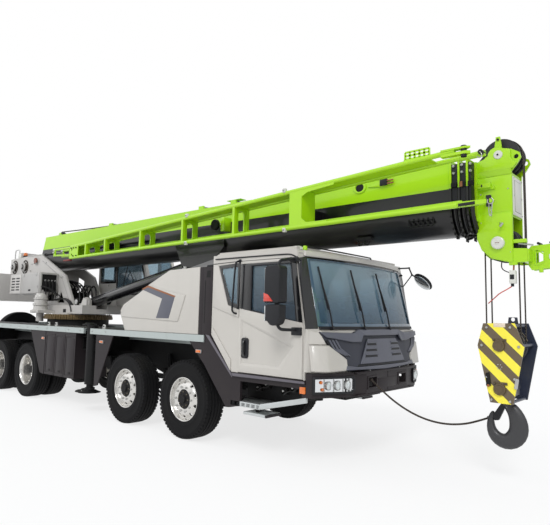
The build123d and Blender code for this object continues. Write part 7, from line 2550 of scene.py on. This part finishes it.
# ------------------------------------------------------------------ hook block
@dataclass
class HookBlock:
    """Trim of the hook block, and the forged hook with its swivel.

    Each row of the hook's line is a section's station and height, its half sizes along and across,
    and its heading in degrees. The first three sections are level.
    """

    x: float = 3.938
    near_y: float = -0.25
    LINE = ((3.938, 0.925, 0.046, 0.046, 90), (3.938, 0.868, 0.054, 0.048, 90),
            (3.944, 0.822, 0.066, 0.05, 88), (3.97, 0.78, 0.076, 0.052, 62),
            (4.004, 0.724, 0.092, 0.052, 42), (4.03, 0.655, 0.104, 0.052, 20),
            (4.038, 0.582, 0.11, 0.052, 0), (4.016, 0.51, 0.112, 0.052, -24),
            (3.964, 0.458, 0.106, 0.052, -55), (3.898, 0.434, 0.092, 0.052, -90),
            (3.828, 0.454, 0.082, 0.05, -122), (3.778, 0.504, 0.068, 0.048, -152),
            (3.756, 0.572, 0.05, 0.044, 178), (3.756, 0.64, 0.038, 0.036, 168),
            (3.768, 0.7, 0.028, 0.028, 158), (3.788, 0.738, 0.016, 0.017, 150))
    level: int = 3
    sides: int = 20
    flat: float = 0.86
    swell: float = 0.06

    def build(self) -> None:
        """Makes the trim and the hook."""
        self.trim()
        self.cross_head()
        self.hook()

    def trim(self) -> None:
        """Keeper plates, pin caps, bolts, guides and edge strips on both cheeks."""
        made = Shape("hook_block_trim")
        for sign in (-1, 1):
            out = sign * 0.25
            for z, r in ((1.453, 0.062), (1.006, 0.063)):
                made.lathe([(0.0, 0.018), (r * 0.62, 0.018), (r * 0.7, 0.024), (r * 0.92, 0.024),
                            (r, 0.014), (r * 1.03, -0.002), (0.0, -0.002)], (self.x, out, z), Axis.Y, BUSH,
                           steps=36, closed=False, flip=sign < 0)
                made.block((self.x - 0.062, out - 0.01, z + r * 0.72),
                           (self.x + 0.078, out + 0.01, z + r * 1.16), BUSH, 0.003)
                for dx in (-0.046, 0.06):
                    made.bolt((self.x + dx, out + sign * 0.01, z + r * 0.94), LEFTWARDS * sign, 0.01, BUSH)
            for dx, z in ((-0.12, 1.64), (0.118, 1.645), (0.198, 1.45), (-0.175, 1.45), (-0.085, 0.892),
                          (0.1, 0.892), (-0.13, 1.12), (0.15, 1.12)):
                made.bolt((self.x + dx, out, z), LEFTWARDS * sign, 0.014, STEEL)
        made.block((self.x - 0.05, self.near_y - 0.003, 1.645), (self.x + 0.07, self.near_y + 0.012, 1.688),
                   CREAM, 0.004)
        made.prism([(4.079, 1.024), (4.1, 1.131), (4.13, 1.124), (4.112, 1.02)], Axis.Y, -0.266, -0.249,
                   STEEL, 0.005)
        made.prism([(3.802, 1.029), (3.798, 1.16), (3.838, 1.175), (3.852, 1.032)], Axis.Y, -0.266, -0.249,
                   BLACK, 0.005)
        made.rod((3.826, -0.256, 1.035), (3.826, -0.276, 1.035), 0.014, BRONZE_AND_SHADE, sides=16, bevel=0.003)
        for at in ring_of(6, 0.026, (self.x, -0.2505, 1.235), Axis.Y):
            made.rod(at, at - LEFTWARDS * 0.004, 0.006, STEEL, sides=8)
        for dx, z in ((-0.11, 1.655), (0.13, 1.66), (0.2, 1.46), (-0.185, 1.46), (0.105, 0.88),
                      (-0.09, 0.88)):
            made.rod((self.x + dx, -0.236, z), (self.x + dx, 0.236, z), 0.016, NAVY, sides=18)
        for y in (-0.11, 0.0, 0.11):
            made.tube([(self.x - 0.19, y - 0.03, 1.5), (self.x - 0.14, y, 1.6), (self.x, y, 1.648),
                       (self.x + 0.14, y, 1.6), (self.x + 0.19, y - 0.03, 1.5)], 0.007, GUN)
        made.done("hook_block", "block_yellow")

    def cross_head(self) -> None:
        """The hook's cross head and the bearing ring on it."""
        made = Shape("cross_head")
        made.block((self.x - 0.075, -0.15, 0.935), (self.x + 0.075, 0.15, 1.058), FORGED, 0.024, 4)
        made.lathe([(0.052, 0.0), (0.1, 0.0), (0.106, 0.01), (0.106, 0.034), (0.098, 0.042),
                    (0.052, 0.042)], (self.x, 0, 1.058), Axis.Z, STEEL, steps=36)
        made.done("hook_block", "hook_steel")

    def hook(self) -> None:
        """Forged hook: round shank, swelling bowl with a flat inner face, tip and safety latch."""
        made = Shape("forged_hook")
        part = bmesh.new()
        rings = [[part.verts.new(point) for point in self.section(number)]
                 for number in range(len(self.LINE))]
        for first, second in zip(rings, rings[1:]):
            for k in range(self.sides):
                part.faces.new((first[k - 1], first[k], second[k], second[k - 1]))
        part.faces.new(rings[0])
        part.faces.new(list(reversed(rings[-1])))
        made.take(part, FORGED, crease=2.2)
        made.lathe([(0.0, 0.105), (0.032, 0.105), (0.047, 0.098), (0.047, 0.0), (0.0, 0.0)],
                   (self.x, 0, 0.93), Axis.Z, FORGED, steps=28, closed=False)
        made.lathe([(0.0, 0.04), (0.06, 0.038), (0.066, 0.03), (0.066, 0.004), (0.0, 0.0)],
                   (self.x, 0, 0.872), Axis.Z, FORGED, steps=28, closed=False)
        made.prism([(3.884, 0.85), (3.93, 0.836), (3.842, 0.648), (3.8, 0.64), (3.776, 0.69)], Axis.Y,
                   -0.024, 0.024, MOULDED_AND_SHADE, 0.006)
        made.rod((self.x, -0.062, 0.8), (self.x, 0.062, 0.8), 0.01, STEEL, sides=14)
        piece = made.done("lifting_hook", "hook_steel", ["lifting_hook"])
        soft = piece.modifiers.new("round", "SUBSURF")
        soft.levels = soft.render_levels = 1

    def section(self, number: int) -> list[Point]:
        """Corners of one of the hook's sections, which is flatter on its inner side.

        Args:
            number: which row of the line.
        Returns:
            The corners.
        """
        x, z, along, across, heading = self.LINE[number]
        corners = []
        for angle in round_turn(self.sides):
            u, v = math.cos(angle), math.sin(angle)
            if number < self.level:
                corners.append((x + u * along, v * across, z))
                continue
            out = u * along * (self.flat if u < 0 else 1.0)
            wide = across * (1.0 + self.swell * max(0.0, -u))
            corners.append((x + math.cos(math.radians(heading)) * out, v * wide,
                            z + math.sin(math.radians(heading)) * out))
        return corners


# ------------------------------------------------------------------ tie-down rope
@dataclass
class TieRope:
    """Rope from the right tow opening to the hook, hanging slack."""

    route: Sequence[Point] = ((2.483, -0.37, 0.975), (2.637, -0.318, 0.825), (2.792, -0.266, 0.706),
                              (2.946, -0.214, 0.619), (3.101, -0.163, 0.5625), (3.255, -0.111, 0.5375),
                              (3.409, -0.059, 0.544), (3.564, -0.007, 0.581), (3.718, 0.045, 0.65))
    diameter: float = 0.022
    length: float = 1.467
    knot_turns: Sequence[Flat] = ((0.0, 0.0145), (1.1, 0.015), (-1.0, 0.014))
    knot_strand: float = 0.009

    def build(self) -> None:
        """Makes the rope and the knot at each of its ends."""
        points = [(x + FRONT_AXLE, y, z) for x, y, z in self.route]
        curve = smooth_run("tie_rope", points, self.diameter / 2, 4, 12)
        curve.materials.append(ROPE.material())
        rope = placed("tie_rope", curve)
        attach(rope, CARRIER)
        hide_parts("tie_down_rope")
        knots = [self.knot("bumper_knot", self.route[0]), self.knot("hook_knot", self.route[-1])]

    def knot(self, name: str, at: Point) -> bpy.types.Object:
        """Makes a tight knot of three turns.

        Args:
            name: the piece's name.
            at: its middle, in stations.
        Returns:
            The knot.
        """
        made = Shape(name)
        middle = Vector(at)
        for tilt, size in self.knot_turns:
            turn = Matrix.Rotation(tilt, 4, "X") @ Matrix.Rotation(0.6 + tilt, 4, "Y")
            around = [middle + turn @ Vector((size * math.cos(a), size * math.sin(a), 0))
                      for a in round_turn(10)]
            made.tube(around + around[:1], self.knot_strand, ROPE, sides=8)
        return made.done(CARRIER, "rope_fibre")


# ------------------------------------------------------------------ finishes of the CAD nodes
NODE_FINISHES = {"body_paint": BODY, "dark_paint": DARK, "grille_grey": GRILLE, "light_paint": UPPER,
                 "boom_green": LIME, "frame_black": BLACK, "deck_aluminium": DECK, "tyre": RUBBER,
                 "gear_steel": GEAR, "cylinder_black": CYLINDER, "rod_chrome": CHROME, "rope_steel": WIRE,
                 "block_yellow": BLOCK, "hook_steel": FORGED, "glass": WINDOW, "interior": TRIM,
                 "mirror_black": MOULDED_AND_SHADE, "rope_fibre": ROPE, "sheave": NYLON}
OTHER_FINISHES = {"boom_base": BOOM, "boom_section_2": BOOM, "boom_section_3": BOOM,
                  "boom_section_4": BOOM_TIP, "cab_windows": SCREEN}


def finish_nodes() -> None:
    """Gives every CAD node the procedural finish of its slot."""
    slots = {entry["node"]: entry["material_slot"] for entry in frame["record"]["subparts"]}
    for name, node in frame["nodes"].items():
        finish = OTHER_FINISHES.get(name) or NODE_FINISHES[slots[name]]
        node.data.materials.clear()
        node.data.materials.append(finish.material())


def main() -> None:
    """Builds the crane's looks in order."""
    logging.basicConfig(level=logging.INFO, format="%(message)s")
    Studio().build()
    TieRope().build()
    finish_nodes()
    for number, station in enumerate(AXLES, start=1):
        for side in Side:
            Wheel(station, side, f"axle_{number}_{side.word}_wheel", twin=number > 2).build()
    for part in (FrontPanel(), CabTrim(), CabDoor(Side.RIGHT), CabDoor(Side.LEFT), CabInside(),
                 EngineCover(), FrontEnd(), CarrierFittings(), Turntable(), OperatorCab(), BoomTrim(),
                 BoomHead(), HookBlock()):
        part.build()


if __name__ == "__main__":
    main()
